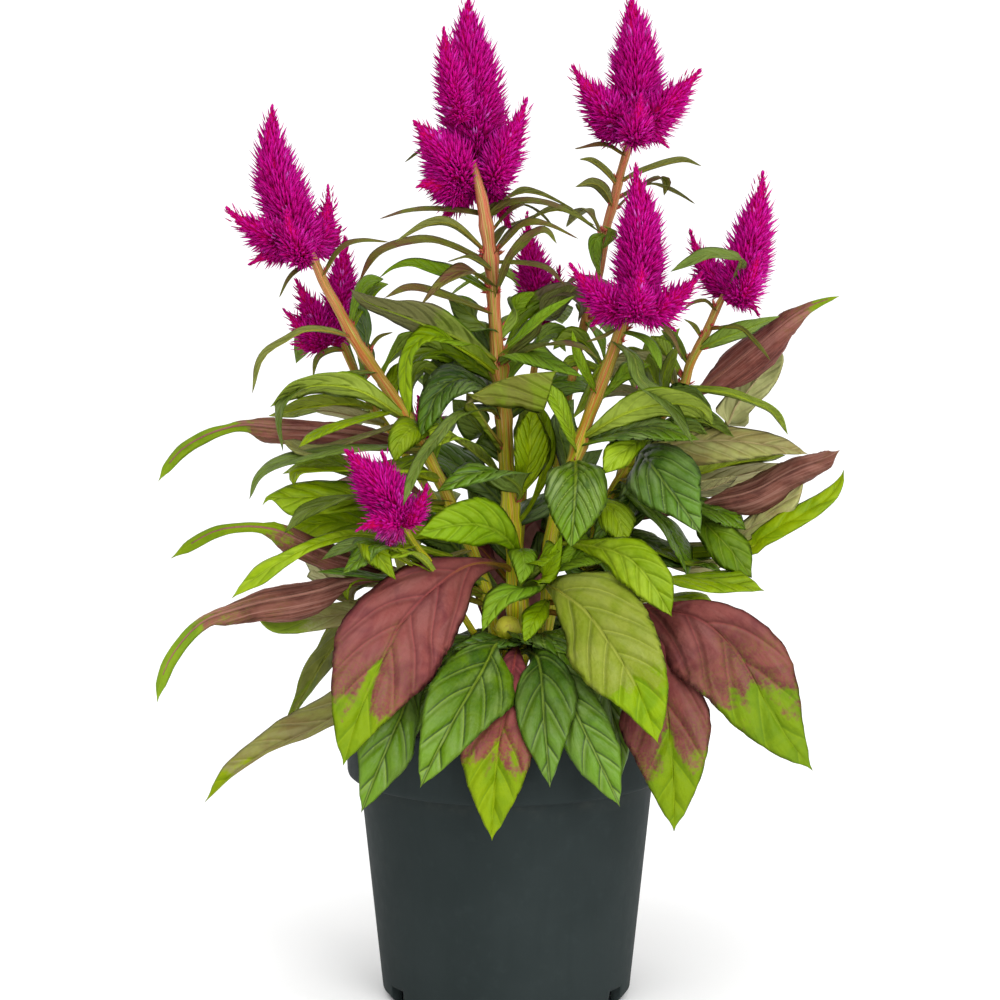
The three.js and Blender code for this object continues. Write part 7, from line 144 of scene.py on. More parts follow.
    ["leaf_rolled_lower_right","right","R",1,[[37.22,12.89,193],[74.72,4,201.35],[83.49,1,204.68],[89.8,-2,206.37],[96.55,-4,208.31],[103.27,-6,211.47],[110.76,-8,216.25],[118.31,-9,220.06],[126.26,-10,223.05],[130.98,-11,225.23],[134.17,-11,227.26]],[[0.29,0.88,-0.37],[0.32,0.88,-0.36],[0.44,0.84,-0.31],[0.42,0.85,-0.33],[0.38,0.87,-0.32],[0.4,0.88,-0.27],[0.35,0.89,-0.29],[0.27,0.9,-0.35],[0.28,0.9,-0.35],[0.29,0.9,-0.33],[0.23,0.9,-0.36]],[[1.37,1.38],[1.88,1.89],[2.68,2.7],[11.31,11.33],[15.97,15.93],[17.78,17.83],[15.02,14.05],[12.2,11.25],[9.36,8.48],[2.92,2.84],[0.53,0.53]],[0,0,0,0,0,0,0,0,0,0,0],[1.22,1.22,1.22,2.3,2.3,2.3,2.3,2.3,2.3,0.91,0.52]],
    ["leaf_olive_left","left","W",1,[[-8.47,-2.08,168.34],[-43.2,-8,162.97],[-61.24,-14,161.59],[-77.18,-19,160.03],[-91.88,-23,159.13],[-101.37,-25,161.94]],[[0.01,-0.7,0.72],[0.06,-0.69,0.72],[0.15,-0.67,0.73],[0.14,-0.68,0.72],[0.22,-0.68,0.7],[0.34,-0.68,0.65]],[[1.28,1.28],[4.03,4],[6,5.98],[5.9,6.5],[4.52,5.91],[0.34,0.33]],[0.21,0.21,0.21,0.21,0.21,0.21],[-0.38,-0.38,-0.38,-0.38,-0.38,-0.38]],
    ["leaf_olive_right","right","L",1,[[45.65,12.67,210.29],[66.32,2,227.1],[80.24,-3,229.82],[94.15,-7,230.37],[108.07,-10,228.74],[121.24,-12,225.77]],[[-0.66,-0.64,0.4],[-0.58,-0.64,0.51],[-0.29,-0.66,0.69],[-0.14,-0.68,0.72],[-0.01,-0.7,0.72],[0.05,-0.7,0.71]],[[1.41,1.35],[8.8,7.24],[12.42,7.78],[10.25,7.18],[5.16,5.7],[0.42,0.35]],[0.21,0.21,0.21,0.21,0.21,0.21],[-0.38,-0.38,-0.38,-0.38,-0.38,-0.38]],
    ["leaf_olive_right_b","right","H",0,[[48.68,11.86,216.71],[74.71,6,215.87],[87.54,3,219.17],[99.51,0,222.05],[113.13,-2,223.97]],[[0.1,0.33,0.94],[0.02,0.36,0.93],[-0.11,0.45,0.89],[-0.1,0.38,0.92],[-0.09,0.32,0.94]],[[5.24,5.26],[12.37,14.16],[8.9,10.15],[13.24,13.28],[1.2,1.21]],[0.21,0.21,0.21,0.21,0.21],[-0.38,-0.38,-0.38,-0.38,-0.38]],
    ["leaf_olive_right_c","back_right","L",0,[[43.37,47.04,195.58],[45.48,43.13,198.39],[75.53,22,207.74],[87.62,18,210.82],[99.7,15,214.98],[111.81,13,218.57]],[[0.53,0.66,0.53],[0.21,0.63,0.74],[0.12,0.59,0.8],[-0.12,0.48,0.87],[-0.2,0.42,0.88],[-0.21,0.37,0.91]],[[1.11,1.1],[1.55,1.6],[8.4,8.36],[14.97,15.08],[15.79,15.79],[0.93,0.98]],[0.21,0.21,0.21,0.21,0.21,0.21],[-0.38,-0.38,-0.38,-0.38,-0.38,-0.38]],
    ["leaf_olive_right_upper","right","W",1,[[57.04,10.45,230.97],[86.14,24,230.72],[95.15,25,241.36],[102.86,25,251.29],[108.86,24,259.66],[112.08,24,265.84]],[[0.09,-0.17,0.98],[-0.16,-0.26,0.95],[0.25,0.93,-0.25],[0.34,0.92,-0.2],[0.55,0.78,-0.29],[0.76,0.51,-0.4]],[[3.14,3.13],[10.02,9.91],[6.34,6.46],[7.29,7.33],[5.86,5.79],[2.16,2.13]],[0.21,0.21,0.21,0.21,0.21,0.21],[-0.38,-0.38,-0.38,-0.38,-0.38,-0.38]],
    ["leaf_olive_right_d","right","W",0,[[34.61,13.07,184.48],[83.69,2,186],[96.95,0,192.09],[106.02,-3,199.55],[113.91,-5,206.82],[118.23,-6,211.47],[120.22,-6,213.92]],[[-0.17,-0.66,0.73],[-0.23,-0.66,0.72],[-0.49,-0.66,0.57],[-0.59,-0.66,0.46],[-0.6,-0.67,0.44],[-0.59,-0.68,0.43],[-0.56,-0.69,0.46]],[[1.34,1.4],[2.67,2.63],[5.74,5.26],[7.23,6.72],[6.26,6.24],[3.17,3.19],[0.36,0.41]],[0.21,0.21,0.21,0.21,0.21,0.21,0.21],[-0.38,-0.38,-0.38,-0.38,-0.38,-0.38,-0.38]],
    ["leaf_right_pointed","right","H",1,[[32.85,13.54,180.58],[92.59,-6,185.66],[103.27,-9,191.48],[114.37,-11,198.34],[123.19,-11,203.65],[130.55,-9,208.65],[134.78,-6,213.51],[136.59,-3,218.39]],[[-0.27,-0.64,0.72],[-0.31,-0.64,0.7],[-0.49,-0.66,0.58],[-0.44,-0.67,0.6],[-0.34,-0.67,0.66],[-0.32,-0.64,0.7],[-0.46,-0.6,0.65],[-0.56,-0.6,0.58]],[[1.34,1.33],[3.71,3.62],[5.15,5.16],[5.63,6.23],[5.21,5.16],[3.95,3.89],[2.06,2.08],[0.29,0.26]],[0.21,0.21,0.21,0.21,0.21,0.21,0.21,0.21],[-0.38,-0.38,-0.38,-0.38,-0.38,-0.38,-0.38,-0.38]],
    ["t1","left","T",0,[[-73.95,-16.07,297.25],[-66.17,-20,308.66],[-58.14,-22,312.41],[-46.61,-23,312.1]],[[-0.83,-0.3,0.47],[-0.71,-0.34,0.61],[-0.22,-0.47,0.85],[-0.02,-0.51,0.86]],[[1.53,1.49],[2.49,2.57],[1.75,1.76],[0.25,0.28]],[0.31,0.31,0.31,0.31],[-0.17,-0.17,-0.17,-0.17]],
    ["t2","left","T",0,[[-76.36,-15.71,303.36],[-81.9,-24,301.46],[-86.13,-27,297.77],[-90.1,-28,290.33]],[[-0.06,-0.18,0.98],[-0.12,-0.36,0.93],[-0.46,-0.68,0.58],[-0.59,-0.7,0.41]],[[1.22,1.17],[1.74,1.68],[1.29,1.23],[0.24,0.23]],[0.31,0.31,0.31,0.31],[-0.17,-0.17,-0.17,-0.17]],
    ["t3","left","T",0,[[-61.4,-16.41,273.3],[-70.09,-26,276.99],[-79.7,-32,278.03],[-86.63,-36,274.5],[-95.98,-39,267.7],[-100.32,-41,253.67]],[[-0.58,0.69,0.44],[-0.44,0.69,0.58],[-0.43,0.53,0.73],[-0.61,0.37,0.7],[-0.83,0.28,0.48],[-0.94,0.23,0.26]],[[0.6,0.54],[1.54,1.57],[2.36,2.37],[3.51,3.57],[4.34,4.31],[0.49,0.52]],[0.31,0.31,0.31,0.31,0.31,0.31],[-0.17,-0.17,-0.17,-0.17,-0.17,-0.17]],
    ["t4","left_back","T",0,[[-65.46,26.4,263.2],[-71.4,22,264.01],[-77.06,20,260.94],[-79.11,19,253.24]],[[-0.58,0.8,0.15],[-0.51,0.82,0.27],[-0.61,0.76,0.23],[-0.63,0.77,0.07]],[[0.51,0.6],[1.4,1.49],[1.65,1.72],[0.27,0.24]],[0.31,0.31,0.31,0.31],[-0.17,-0.17,-0.17,-0.17]],
    ["t5","main","T",0,[[-8.7,-6.01,317.75],[-8.75,-2.76,321.09],[-22.61,-8,323.62],[-38.46,-14,323.69],[-50.72,-17,320.74]],[[-0.85,-0.38,0.36],[0.4,-0.46,0.79],[0.15,-0.18,0.97],[-0.01,-0.29,0.96],[-0.13,-0.36,0.92]],[[1.88,1.82],[1.83,1.9],[3.28,3.33],[2.19,2.17],[0.36,0.28]],[0.31,0.31,0.31,0.31,0.31],[-0.17,-0.17,-0.17,-0.17,-0.17]],
    ["t6","main","T",0,[[-6.88,-3.15,305.02],[-20.16,-14,317.71],[-30.41,-20,318.99],[-44.98,-25,311.87]],[[-0.44,0.86,0.28],[-0.23,0.79,0.56],[-0.39,0.47,0.79],[-0.51,0.4,0.76]],[[0.58,0.57],[1.79,1.85],[3.69,3.69],[0.4,0.35]],[0.31,0.31,0.31,0.31],[-0.17,-0.17,-0.17,-0.17]],
    ["t7","main","T",0,[[-6.93,-3.38,302.17],[-25.81,-10,310.59],[-37.3,-14,311.73],[-51.15,-18,306.89],[-59.09,-20,295.52]],[[0.45,-0.19,0.87],[0.36,-0.22,0.9],[-0.02,-0.38,0.92],[-0.42,-0.51,0.75],[-0.63,-0.56,0.54]],[[1.81,1.81],[4.4,4.35],[3.43,3.42],[2.92,2.85],[0.26,0.31]],[0.31,0.31,0.31,0.31,0.31],[-0.17,-0.17,-0.17,-0.17,-0.17]],
    ["t8","main","T",0,[[-5.43,-3.26,298.71],[-14.55,-20,305.87],[-23.59,-28,304.6]],[[-0.31,0.51,0.8],[-0.16,0.34,0.93],[-0.17,0.04,0.98]],[[0.6,0.65],[2.28,2.28],[0.75,0.68]],[0.31,0.31,0.31],[-0.17,-0.17,-0.17]],
    ["t9","main","T",0,[[-4.97,-2.32,292.05],[-15.37,-18,300.12],[-25.61,-26,296.49],[-34.27,-30,287.35]],[[0.4,0.2,0.9],[0.42,-0.2,0.88],[0.04,-0.75,0.66],[-0.14,-0.85,0.5]],[[2.71,2.63],[4.62,4.57],[2.29,2.31],[0.13,0.19]],[0.31,0.31,0.31,0.31],[-0.17,-0.17,-0.17,-0.17]],
    ["t10","main","G",0,[[-5.42,-2.95,289.91],[-17.85,-9,297.28],[-27.4,-12,299.56],[-37.73,-14,302.54],[-45.29,-15,301.04],[-50.86,-16,297.13]],[[0.52,-0.02,0.86],[0.47,-0.22,0.86],[0.34,-0.49,0.8],[0.16,-0.59,0.79],[-0.21,-0.63,0.75],[-0.36,-0.65,0.68]],[[2.67,2.74],[6.11,6.09],[4.87,4.78],[3.02,3],[1.2,1.17],[0.28,0.23]],[0.31,0.31,0.31,0.31,0.31,0.31],[-0.17,-0.17,-0.17,-0.17,-0.17,-0.17]],
    ["t11","main","T",0,[[-4.86,-3.36,281.59],[-22.6,-14,288.94],[-37.63,-20,293.52],[-48.66,-24,289.93]],[[0.47,-0.18,0.86],[0.46,-0.31,0.83],[0.23,-0.52,0.82],[-0.03,-0.62,0.79]],[[1.6,1.56],[3.7,3.66],[2.59,2.49],[0.23,0.22]],[0.31,0.31,0.31,0.31],[-0.17,-0.17,-0.17,-0.17]],
    ["t12","main","T",0,[[-8.36,-6,317.17],[-8.46,-0.47,322.18],[3.42,10,328.7],[13.55,14,328.41],[27.39,17,322.11]],[[0.52,-0.57,0.64],[-0.2,-0.47,0.86],[-0.43,0.28,0.86],[0,0.69,0.72],[0.14,0.74,0.66]],[[1.23,1.19],[1.4,1.44],[3.83,3.83],[1.56,1.55],[0.21,0.29]],[0.31,0.31,0.31,0.31,0.31],[-0.17,-0.17,-0.17,-0.17,-0.17]],
    ["t13","main","T",0,[[-8.34,-5.91,316.05],[-8.18,-1.51,320.1],[2.16,-4,326.12],[17.31,-10,325.77],[35.59,-14,317.71]],[[0.83,-0.4,0.4],[0.08,-0.99,0.1],[-0.29,-0.24,0.93],[0.12,-0.37,0.92],[0.28,-0.44,0.86]],[[1.74,1.67],[1.02,1],[3.55,3.5],[2.55,2.51],[0.35,0.28]],[0.31,0.31,0.31,0.31,0.31],[-0.17,-0.17,-0.17,-0.17,-0.17]],
    ["t14","main","T",0,[[-6.44,-3.28,304.11],[5.43,6,316.09],[16.78,12,321.68],[25.73,15,321.05],[38.41,18,312.28]],[[-0.31,-0.58,0.75],[-0.5,-0.21,0.84],[-0.36,0.33,0.87],[0.18,0.6,0.78],[0.33,0.64,0.7]],[[0.72,0.74],[3.99,4.03],[4.44,4.44],[2.26,2.24],[0.22,0.23]],[0.31,0.31,0.31,0.31,0.31],[-0.17,-0.17,-0.17,-0.17,-0.17]],
    ["t15","main","T",0,[[-6.73,-3.94,306.8],[-0.62,12,314.8],[14.03,20,319.44]],[[0.21,-0.5,0.84],[-0.36,-0.18,0.92],[-0.43,0.3,0.85]],[[0.59,0.54],[2.42,2.5],[0.57,0.53]],[0.31,0.31,0.31],[-0.17,-0.17,-0.17]],
    ["t16","main","T",0,[[-6.16,-3.71,304.64],[5.33,-12,317.15],[15.23,-18,318.83],[28.67,-22,313.2]],[[-0.77,-0.15,0.62],[-0.64,-0.22,0.74],[-0.12,-0.59,0.8],[0.09,-0.69,0.72]],[[2.22,2.21],[3.16,3.17],[1.49,1.54],[0.18,0.18]],[0.31,0.31,0.31,0.31],[-0.17,-0.17,-0.17,-0.17]],
    ["t17","main","T",0,[[-5.01,-2.43,287.79],[1.35,-14,305.74],[10.85,-20,314.62],[15.98,-22,315.98],[19.94,-23,311.3]],[[0.95,0.04,-0.31],[-0.3,-0.87,-0.39],[-0.66,-0.33,0.68],[0.18,-0.44,0.88],[0.58,-0.55,0.61]],[[2.77,2.7],[1.62,1.62],[3.65,3.62],[2.27,2.28],[0.32,0.29]],[0.31,0.31,0.31,0.31,0.31],[-0.17,-0.17,-0.17,-0.17,-0.17]],
    ["t18","main","T",0,[[-6.61,-3.05,302.54],[13.39,-6,301.02],[23.79,-9,293.26]],[[0,-0.43,0.9],[0.19,-0.42,0.89],[0.45,-0.45,0.77]],[[0.99,0.96],[2.48,2.45],[0.29,0.27]],[0.31,0.31,0.31],[-0.17,-0.17,-0.17]],
    ["t19","main","B",0,[[-3.45,-3.16,274.66],[9.49,6,285.33],[21.71,12,289.62],[29.9,15,285.24],[29.13,16,275.74]],[[0.36,-0.88,0.32],[0.19,-0.83,0.52],[0.29,-0.65,0.7],[0.85,-0.41,0.34],[0.97,-0.22,-0.1]],[[0.54,0.52],[2.58,2.57],[3.66,3.69],[5.45,5.54],[0.72,0.66]],[0.31,0.31,0.31,0.31,0.31],[-0.17,-0.17,-0.17,-0.17,-0.17]],
    ["t20","main","G",0,[[-3.62,-3.73,264.22],[8.58,-10,275.67],[16.56,-12,283.12],[27.7,-14,290.14]],[[-0.68,0,0.73],[-0.7,-0.45,0.55],[-0.47,-0.78,0.41],[-0.45,-0.73,0.51]],[[2.75,2.78],[3.69,3.75],[2.45,2.41],[0.23,0.17]],[0.31,0.31,0.31,0.31],[-0.17,-0.17,-0.17,-0.17]],
    ["t21","main","T",0,[[-3.57,-3.55,260.4],[11.67,-24,270.38],[21.51,-30,272.25],[29.75,-34,271.1],[36.82,-36,266.57]],[[0.04,0.46,0.89],[-0.11,0.32,0.94],[-0.1,-0.12,0.99],[0.23,-0.3,0.93],[0.43,-0.37,0.83]],[[0.94,0.86],[3.23,3.25],[3.72,3.73],[2.4,2.37],[0.34,0.28]],[0.31,0.31,0.31,0.31,0.31],[-0.17,-0.17,-0.17,-0.17,-0.17]],
    ["t22","right_tall","T",0,[[48.01,16.59,344.06],[39.28,10,348.45],[27.12,6,347.08]],[[0.6,-0.3,0.74],[0.33,-0.42,0.85],[0.04,-0.44,0.9]],[[1.2,1.25],[1.93,1.96],[0.35,0.33]],[0.31,0.31,0.31],[-0.17,-0.17,-0.17]],
    ["t23","right_tall","T",0,[[44.59,18.2,331.79],[40.18,12,337.44],[34.42,8,342.14],[29.14,6,343.07]],[[0.23,0.56,0.8],[0.24,0.56,0.79],[0.14,0.53,0.84],[-0.03,0.49,0.87]],[[0.78,0.77],[2.14,2.15],[2.46,2.39],[0.3,0.29]],[0.31,0.31,0.31,0.31],[-0.17,-0.17,-0.17,-0.17]],
    ["t24","right_tall","T",0,[[43.12,19.07,322.5],[39.35,10,330.32],[34.4,6,333.42],[27.5,3,332.03]],[[-0.38,0.69,0.62],[-0.35,0.73,0.59],[-0.36,0.75,0.55],[-0.43,0.73,0.53]],[[0.59,0.57],[2.52,2.48],[2.5,2.53],[0.16,0.18]],[0.31,0.31,0.31,0.31],[-0.17,-0.17,-0.17,-0.17]],
    ["t25","right_tall","T",0,[[45.73,17.88,333.02],[56.41,14,338.52],[70,11,341.94],[78.79,9,340.06]],[[0.01,0.83,0.56],[-0.05,0.71,0.7],[0.06,0.54,0.84],[0.28,0.44,0.85]],[[0.68,0.63],[1.8,1.88],[2.56,2.51],[0.34,0.39]],[0.31,0.31,0.31,0.31],[-0.17,-0.17,-0.17,-0.17]],
    ["t26","right_tall","T",0,[[44.33,18.92,326.08],[60.29,30,332.97],[64.46,32,332.83],[64.55,33,326.21]],[[-0.22,-0.27,0.94],[-0.2,-0.18,0.96],[0.65,0.45,0.61],[0.77,0.62,0.1]],[[1.23,1.31],[2.76,2.74],[3.47,3.44],[0.23,0.2]],[0.31,0.31,0.31,0.31],[-0.17,-0.17,-0.17,-0.17]],
    ["t27","right_tall","G",0,[[40.43,20.11,311.78],[36.19,10,310.1],[35.31,6,303.97],[37.72,4,295.66]],[[0.27,-0.27,0.93],[0.32,-0.54,0.78],[0.8,-0.52,0.3],[0.86,-0.39,0.34]],[[0.7,0.63],[2.91,2.84],[4.46,4.43],[0.35,0.4]],[0.31,0.31,0.31,0.31],[-0.17,-0.17,-0.17,-0.17]],
    ["t28","right_tall","G",0,[[39.3,19.58,305.96],[42.71,12,313.18],[39.35,8,315.93]],[[0.52,0.7,0.49],[0.65,0.5,0.58],[0.54,0.12,0.83]],[[0.59,0.57],[2.62,2.62],[0.77,0.77]],[0.31,0.31,0.31],[-0.17,-0.17,-0.17]],
    ["t29","right","K",0,[[88.28,0.12,288.66],[93.49,-20,303.88],[87.44,-28,306.98],[79.32,-32,308.12],[72.11,-35,305.23],[64.22,-36,301.38]],[[0.72,0.53,0.45],[0.8,0.31,0.51],[0.54,-0.37,0.76],[0.18,-0.59,0.79],[-0.1,-0.74,0.67],[-0.23,-0.71,0.66]],[[0.64,0.55],[2.48,2.42],[3.57,3.58],[3.36,3.34],[2.48,2.5],[0.2,0.19]],[0.31,0.31,0.31,0.31,0.31,0.31],[-0.17,-0.17,-0.17,-0.17,-0.17,-0.17]],
    ["t30","right","T",0,[[84.42,-0.08,282.63],[80.04,-6,286.94],[74.24,-10,286.53],[69.76,-12,283.12]],[[0.79,-0.16,0.59],[0.62,-0.36,0.7],[0.2,-0.74,0.64],[0.11,-0.92,0.39]],[[1.5,1.58],[1.13,1.21],[0.75,0.81],[0.24,0.21]],[0.31,0.31,0.31,0.31],[-0.17,-0.17,-0.17,-0.17]],
    ["t31","right","T",0,[[79.07,2.44,270.17],[75.3,-6,276.85],[71.08,-10,280.1]],[[0.19,0.56,0.81],[0.2,0.53,0.82],[0.18,0.49,0.85]],[[0.51,0.58],[1.43,1.45],[0.3,0.23]],[0.31,0.31,0.31],[-0.17,-0.17,-0.17]],
    ["t32","centre_right","T",0,[[45.87,-13.93,278.03],[38.68,-24,274.78],[31.43,-29,272.93]],[[0.43,-0.54,0.72],[0.37,-0.6,0.71],[0.26,-0.65,0.71]],[[0.43,0.45],[0.96,0.99],[0.25,0.25]],[0.31,0.31,0.31],[-0.17,-0.17,-0.17]],
    ["t33","centre_right","T",0,[[46.47,-13.82,279.23],[58.99,-22,280.15],[65.57,-27,274.71],[69.51,-29,265.76]],[[-0.15,-0.11,0.98],[0.05,-0.26,0.96],[0.49,-0.59,0.64],[0.63,-0.65,0.42]],[[1.62,1.58],[2.54,2.54],[1.67,1.58],[0.22,0.24]],[0.31,0.31,0.31,0.31],[-0.17,-0.17,-0.17,-0.17]],
    ["t34","back","G",0,[[14.05,43.99,269.9],[20.67,50,265.04],[24.9,53,259.68]],[[0.17,0.5,0.85],[0.25,0.58,0.78],[0.36,0.66,0.66]],[[0.87,0.86],[2.84,2.82],[0.27,0.22]],[0.31,0.31,0.31],[-0.17,-0.17,-0.17]],
    ["t35","centre_right","G",0,[[36.58,-12.93,249.89],[31.22,-22,260.15],[27.14,-26,269.41],[25.89,-28,277.6]],[[0.93,-0.31,0.21],[0.9,-0.41,0.16],[0.8,-0.59,0.04],[0.73,-0.68,-0.06]],[[0.91,0.97],[3.97,3.89],[3.12,3.13],[0.28,0.2]],[0.31,0.31,0.31,0.31],[-0.17,-0.17,-0.17,-0.17]],
    ["x1","main","D",2,[[-3,-4.25,260.92],[-4.89,0.42,263.89],[-9.5,0,274.59],[-14.72,-2,280.88],[-19.52,-4,285.93],[-24.32,-5,289.25]],[[-0.2,-0.58,0.79],[-0.27,-0.95,0.16],[-0.72,-0.49,-0.49],[-0.46,0.88,-0.1],[0.17,0.85,0.5],[0.41,0.52,0.75]],[[1.06,1.02],[1.1,1.03],[9.21,9.32],[6.04,5.99],[4.42,4.46],[0.54,0.49]],[0.21,0.21,0.21,0.21,0.21,0.21],[-0.38,-0.38,-0.38,-0.38,-0.38,-0.38]],
    ["x4a","left","G",2,[[-63.11,-15.78,276.07],[-62.42,-12.7,279.42],[-59.63,-6,288.95],[-55.65,-4,294.8],[-49.25,-3,295.51]],[[-0.48,-0.59,0.64],[-0.53,-0.6,0.6],[-0.6,-0.56,0.58],[-0.4,-0.41,0.82],[-0.05,-0.36,0.93]],[[1.33,1.33],[1.36,1.39],[3.25,3.25],[5.96,5.95],[0.54,0.5]],[0.21,0.21,0.21,0.21,0.21],[-0.38,-0.38,-0.38,-0.38,-0.38]],
    ["x4b","left","G",2,[[-62.13,-16.17,275.47],[-61.17,-12.7,277.87],[-57.37,-2,286.13],[-53.38,0,291.59],[-47.36,1,293.11]],[[-0.43,-0.43,0.79],[-0.45,-0.44,0.78],[-0.52,-0.46,0.72],[-0.45,-0.37,0.81],[-0.18,-0.33,0.93]],[[1.34,1.39],[1.44,1.43],[3.38,3.32],[5.5,5.55],[0.6,0.55]],[0.21,0.21,0.21,0.21,0.21],[-0.38,-0.38,-0.38,-0.38,-0.38]],
    ["x5","left","D",2,[[-56.77,-15.81,266.76],[-56.43,-8,273.44],[-58.5,-5,279.98],[-60.11,-4,285.93],[-62.1,-4,290.36]],[[-0.69,-0.45,0.56],[-0.71,-0.59,0.39],[-0.78,-0.62,-0.03],[-0.88,-0.39,-0.27],[-0.89,-0.23,-0.4]],[[0.98,1],[3.94,3.99],[6.1,6.11],[6.17,6.12],[1.13,1.14]],[0.21,0.21,0.21,0.21,0.21],[-0.38,-0.38,-0.38,-0.38,-0.38]],
    ["x6","left","T",2,[[-56.58,-15.86,265.23],[-51.49,-12,272.66],[-45.5,-11,274.97]],[[-0.44,-0.64,0.63],[-0.37,-0.59,0.72],[-0.2,-0.59,0.78]],[[0.59,0.58],[1.23,1.28],[0.29,0.28]],[0.21,0.21,0.21],[-0.38,-0.38,-0.38]],
    ["x7","left","H",2,[[-39,-14.26,238.95],[-42.27,-9.55,241.5],[-46.71,0,249.41],[-44.71,2,256.49],[-41.89,3,261.67]],[[0,-0.47,0.88],[-0.1,-0.62,0.78],[-0.41,-0.75,0.51],[-0.73,-0.54,0.42],[-0.72,-0.5,0.49]],[[1.21,1.26],[1.03,1],[3.51,3.53],[6.5,6.49],[0.39,0.4]],[0.21,0.21,0.21,0.21,0.21],[-0.38,-0.38,-0.38,-0.38,-0.38]],
    ["x8","left","G",2,[[-36.68,-13.01,234.41],[-38.99,-5.97,241.09],[-38.34,6,254.39],[-33.09,8,258.64],[-27.83,9,255.25],[-24.61,10,249.81]],[[-0.94,-0.34,0.03],[-0.99,-0.1,0.01],[-0.96,0.24,0.13],[-0.26,0.75,0.6],[-0.3,0.95,-0.07],[-0.68,0.68,-0.27]],[[2.46,2.41],[5.34,5.39],[7.14,7.17],[3.56,3.5],[2.16,2.08],[0.36,0.35]],[0.21,0.21,0.21,0.21,0.21,0.21],[-0.38,-0.38,-0.38,-0.38,-0.38,-0.38]],
    ["x9","main","D",2,[[-1.28,-3.79,238.39],[-4.82,-0.7,242.74],[-12.37,4,252.18],[-18.46,6,256.43],[-24.16,7,251.81],[-27.03,8,245.15]],[[0.12,-0.76,0.64],[0.12,-0.82,0.56],[0.51,-0.45,0.73],[0.13,0.59,0.8],[-0.47,0.73,0.49],[-0.54,0.77,0.35]],[[1.18,1.13],[1.16,1.16],[6.55,6.62],[9.62,9.69],[5.29,5.31],[0.33,0.36]],[0.21,0.21,0.21,0.21,0.21,0.21],[-0.38,-0.38,-0.38,-0.38,-0.38,-0.38]],
    ["x11","main","D",2,[[0.78,-4.25,215.7],[-0.13,0.4,219.25],[-5.89,6,228.19],[-12,8,234.9],[-17.7,9,240.51],[-22.17,10,245.3]],[[-0.75,-0.49,0.44],[-0.68,-0.7,0.22],[-0.5,-0.86,0.04],[0.51,0.81,0.3],[0.44,0.85,0.27],[0.41,0.89,0.2]],[[1.31,1.4],[1.27,1.22],[6.46,6.47],[9.67,9.67],[6.08,6.07],[0.31,0.27]],[0.21,0.21,0.21,0.21,0.21,0.21],[-0.38,-0.38,-0.38,-0.38,-0.38,-0.38]],
    ["x15","left","G",2,[[-26.82,-10.35,214],[-29.1,-4.64,220.06],[-28.6,2,229.55],[-27.78,3,236.78],[-29.39,3,242.51]],[[-0.28,-0.75,0.6],[-0.44,-0.73,0.53],[-0.65,-0.67,0.36],[-0.87,-0.49,-0.02],[-0.9,-0.36,-0.25]],[[1.03,1],[1.15,1.12],[3.95,3.93],[6.08,6.07],[0.76,0.72]],[0.21,0.21,0.21,0.21,0.21],[-0.38,-0.38,-0.38,-0.38,-0.38]],
    ["x20","main","G",2,[[-4.21,-4.27,269.42],[0.99,0,279.46],[5.84,3,286.04],[11.91,5,289.49]],[[0.56,0.61,-0.55],[0.63,0.5,-0.6],[0.23,-0.95,0.22],[0.01,-0.87,0.49]],[[0.91,0.94],[5.64,5.62],[3.73,3.7],[0.32,0.33]],[0.21,0.21,0.21,0.21],[-0.38,-0.38,-0.38,-0.38]],
    ["x21","main","T",2,[[-3.27,-4.43,258.05],[-1.66,0.39,261.77],[8.71,8,272.92],[16.84,11,281.57],[24.16,13,287.89],[30.26,14,291.46]],[[0.55,-0.62,0.56],[0.22,-0.83,0.52],[-0.35,-0.65,0.68],[-0.65,0.59,0.47],[-0.57,0.57,0.6],[-0.48,0.56,0.67]],[[1.04,1.15],[1.09,1.02],[5.46,5.51],[10.58,10.59],[7.41,7.36],[0.44,0.47]],[0.21,0.21,0.21,0.21,0.21,0.21],[-0.38,-0.38,-0.38,-0.38,-0.38,-0.38]],
    ["x25","centre_right","D",2,[[23.09,-9.23,210.68],[24.95,-4.09,214.96],[24.14,2,225.46],[22.11,3,233.51],[24.13,4,240.74],[27.36,4,246.06]],[[0.96,-0.27,-0.09],[0.99,0.09,-0.14],[0.88,0.47,-0.04],[0.77,0.64,-0.08],[0.63,0.7,-0.32],[0.32,0.93,-0.19]],[[3.11,3.06],[5.39,5.35],[9.85,9.79],[9.39,9.34],[4.88,4.92],[0.31,0.31]],[0.21,0.21,0.21,0.21,0.21,0.21],[-0.38,-0.38,-0.38,-0.38,-0.38,-0.38]],
    ["x26","main","H",2,[[2.7,-4.37,193.93],[10.4,-2.91,204.37],[17.22,0,223.69],[15.59,1,235.82],[13.55,1,244.39]],[[0.42,-0.89,-0.19],[0.67,-0.71,-0.22],[0.81,-0.58,-0.06],[0.86,-0.48,0.18],[0.87,-0.45,0.21]],[[1.26,1.19],[1.53,1.5],[4.5,4.45],[5.07,5.02],[0.55,0.47]],[0.21,0.21,0.21,0.21,0.21],[-0.38,-0.38,-0.38,-0.38,-0.38]],
    ["x27","centre_right","G",2,[[42.43,-13.65,267.31],[36.7,-10,258.73],[32.81,-6,248.52],[26.43,-4,238.92]],[[0.58,0.81,-0.04],[0.76,0.64,-0.13],[0.82,0.51,-0.27],[0.79,0.44,-0.43]],[[0.67,0.75],[2.23,2.25],[4.08,4.12],[0.49,0.39]],[0.21,0.21,0.21,0.21],[-0.38,-0.38,-0.38,-0.38]],
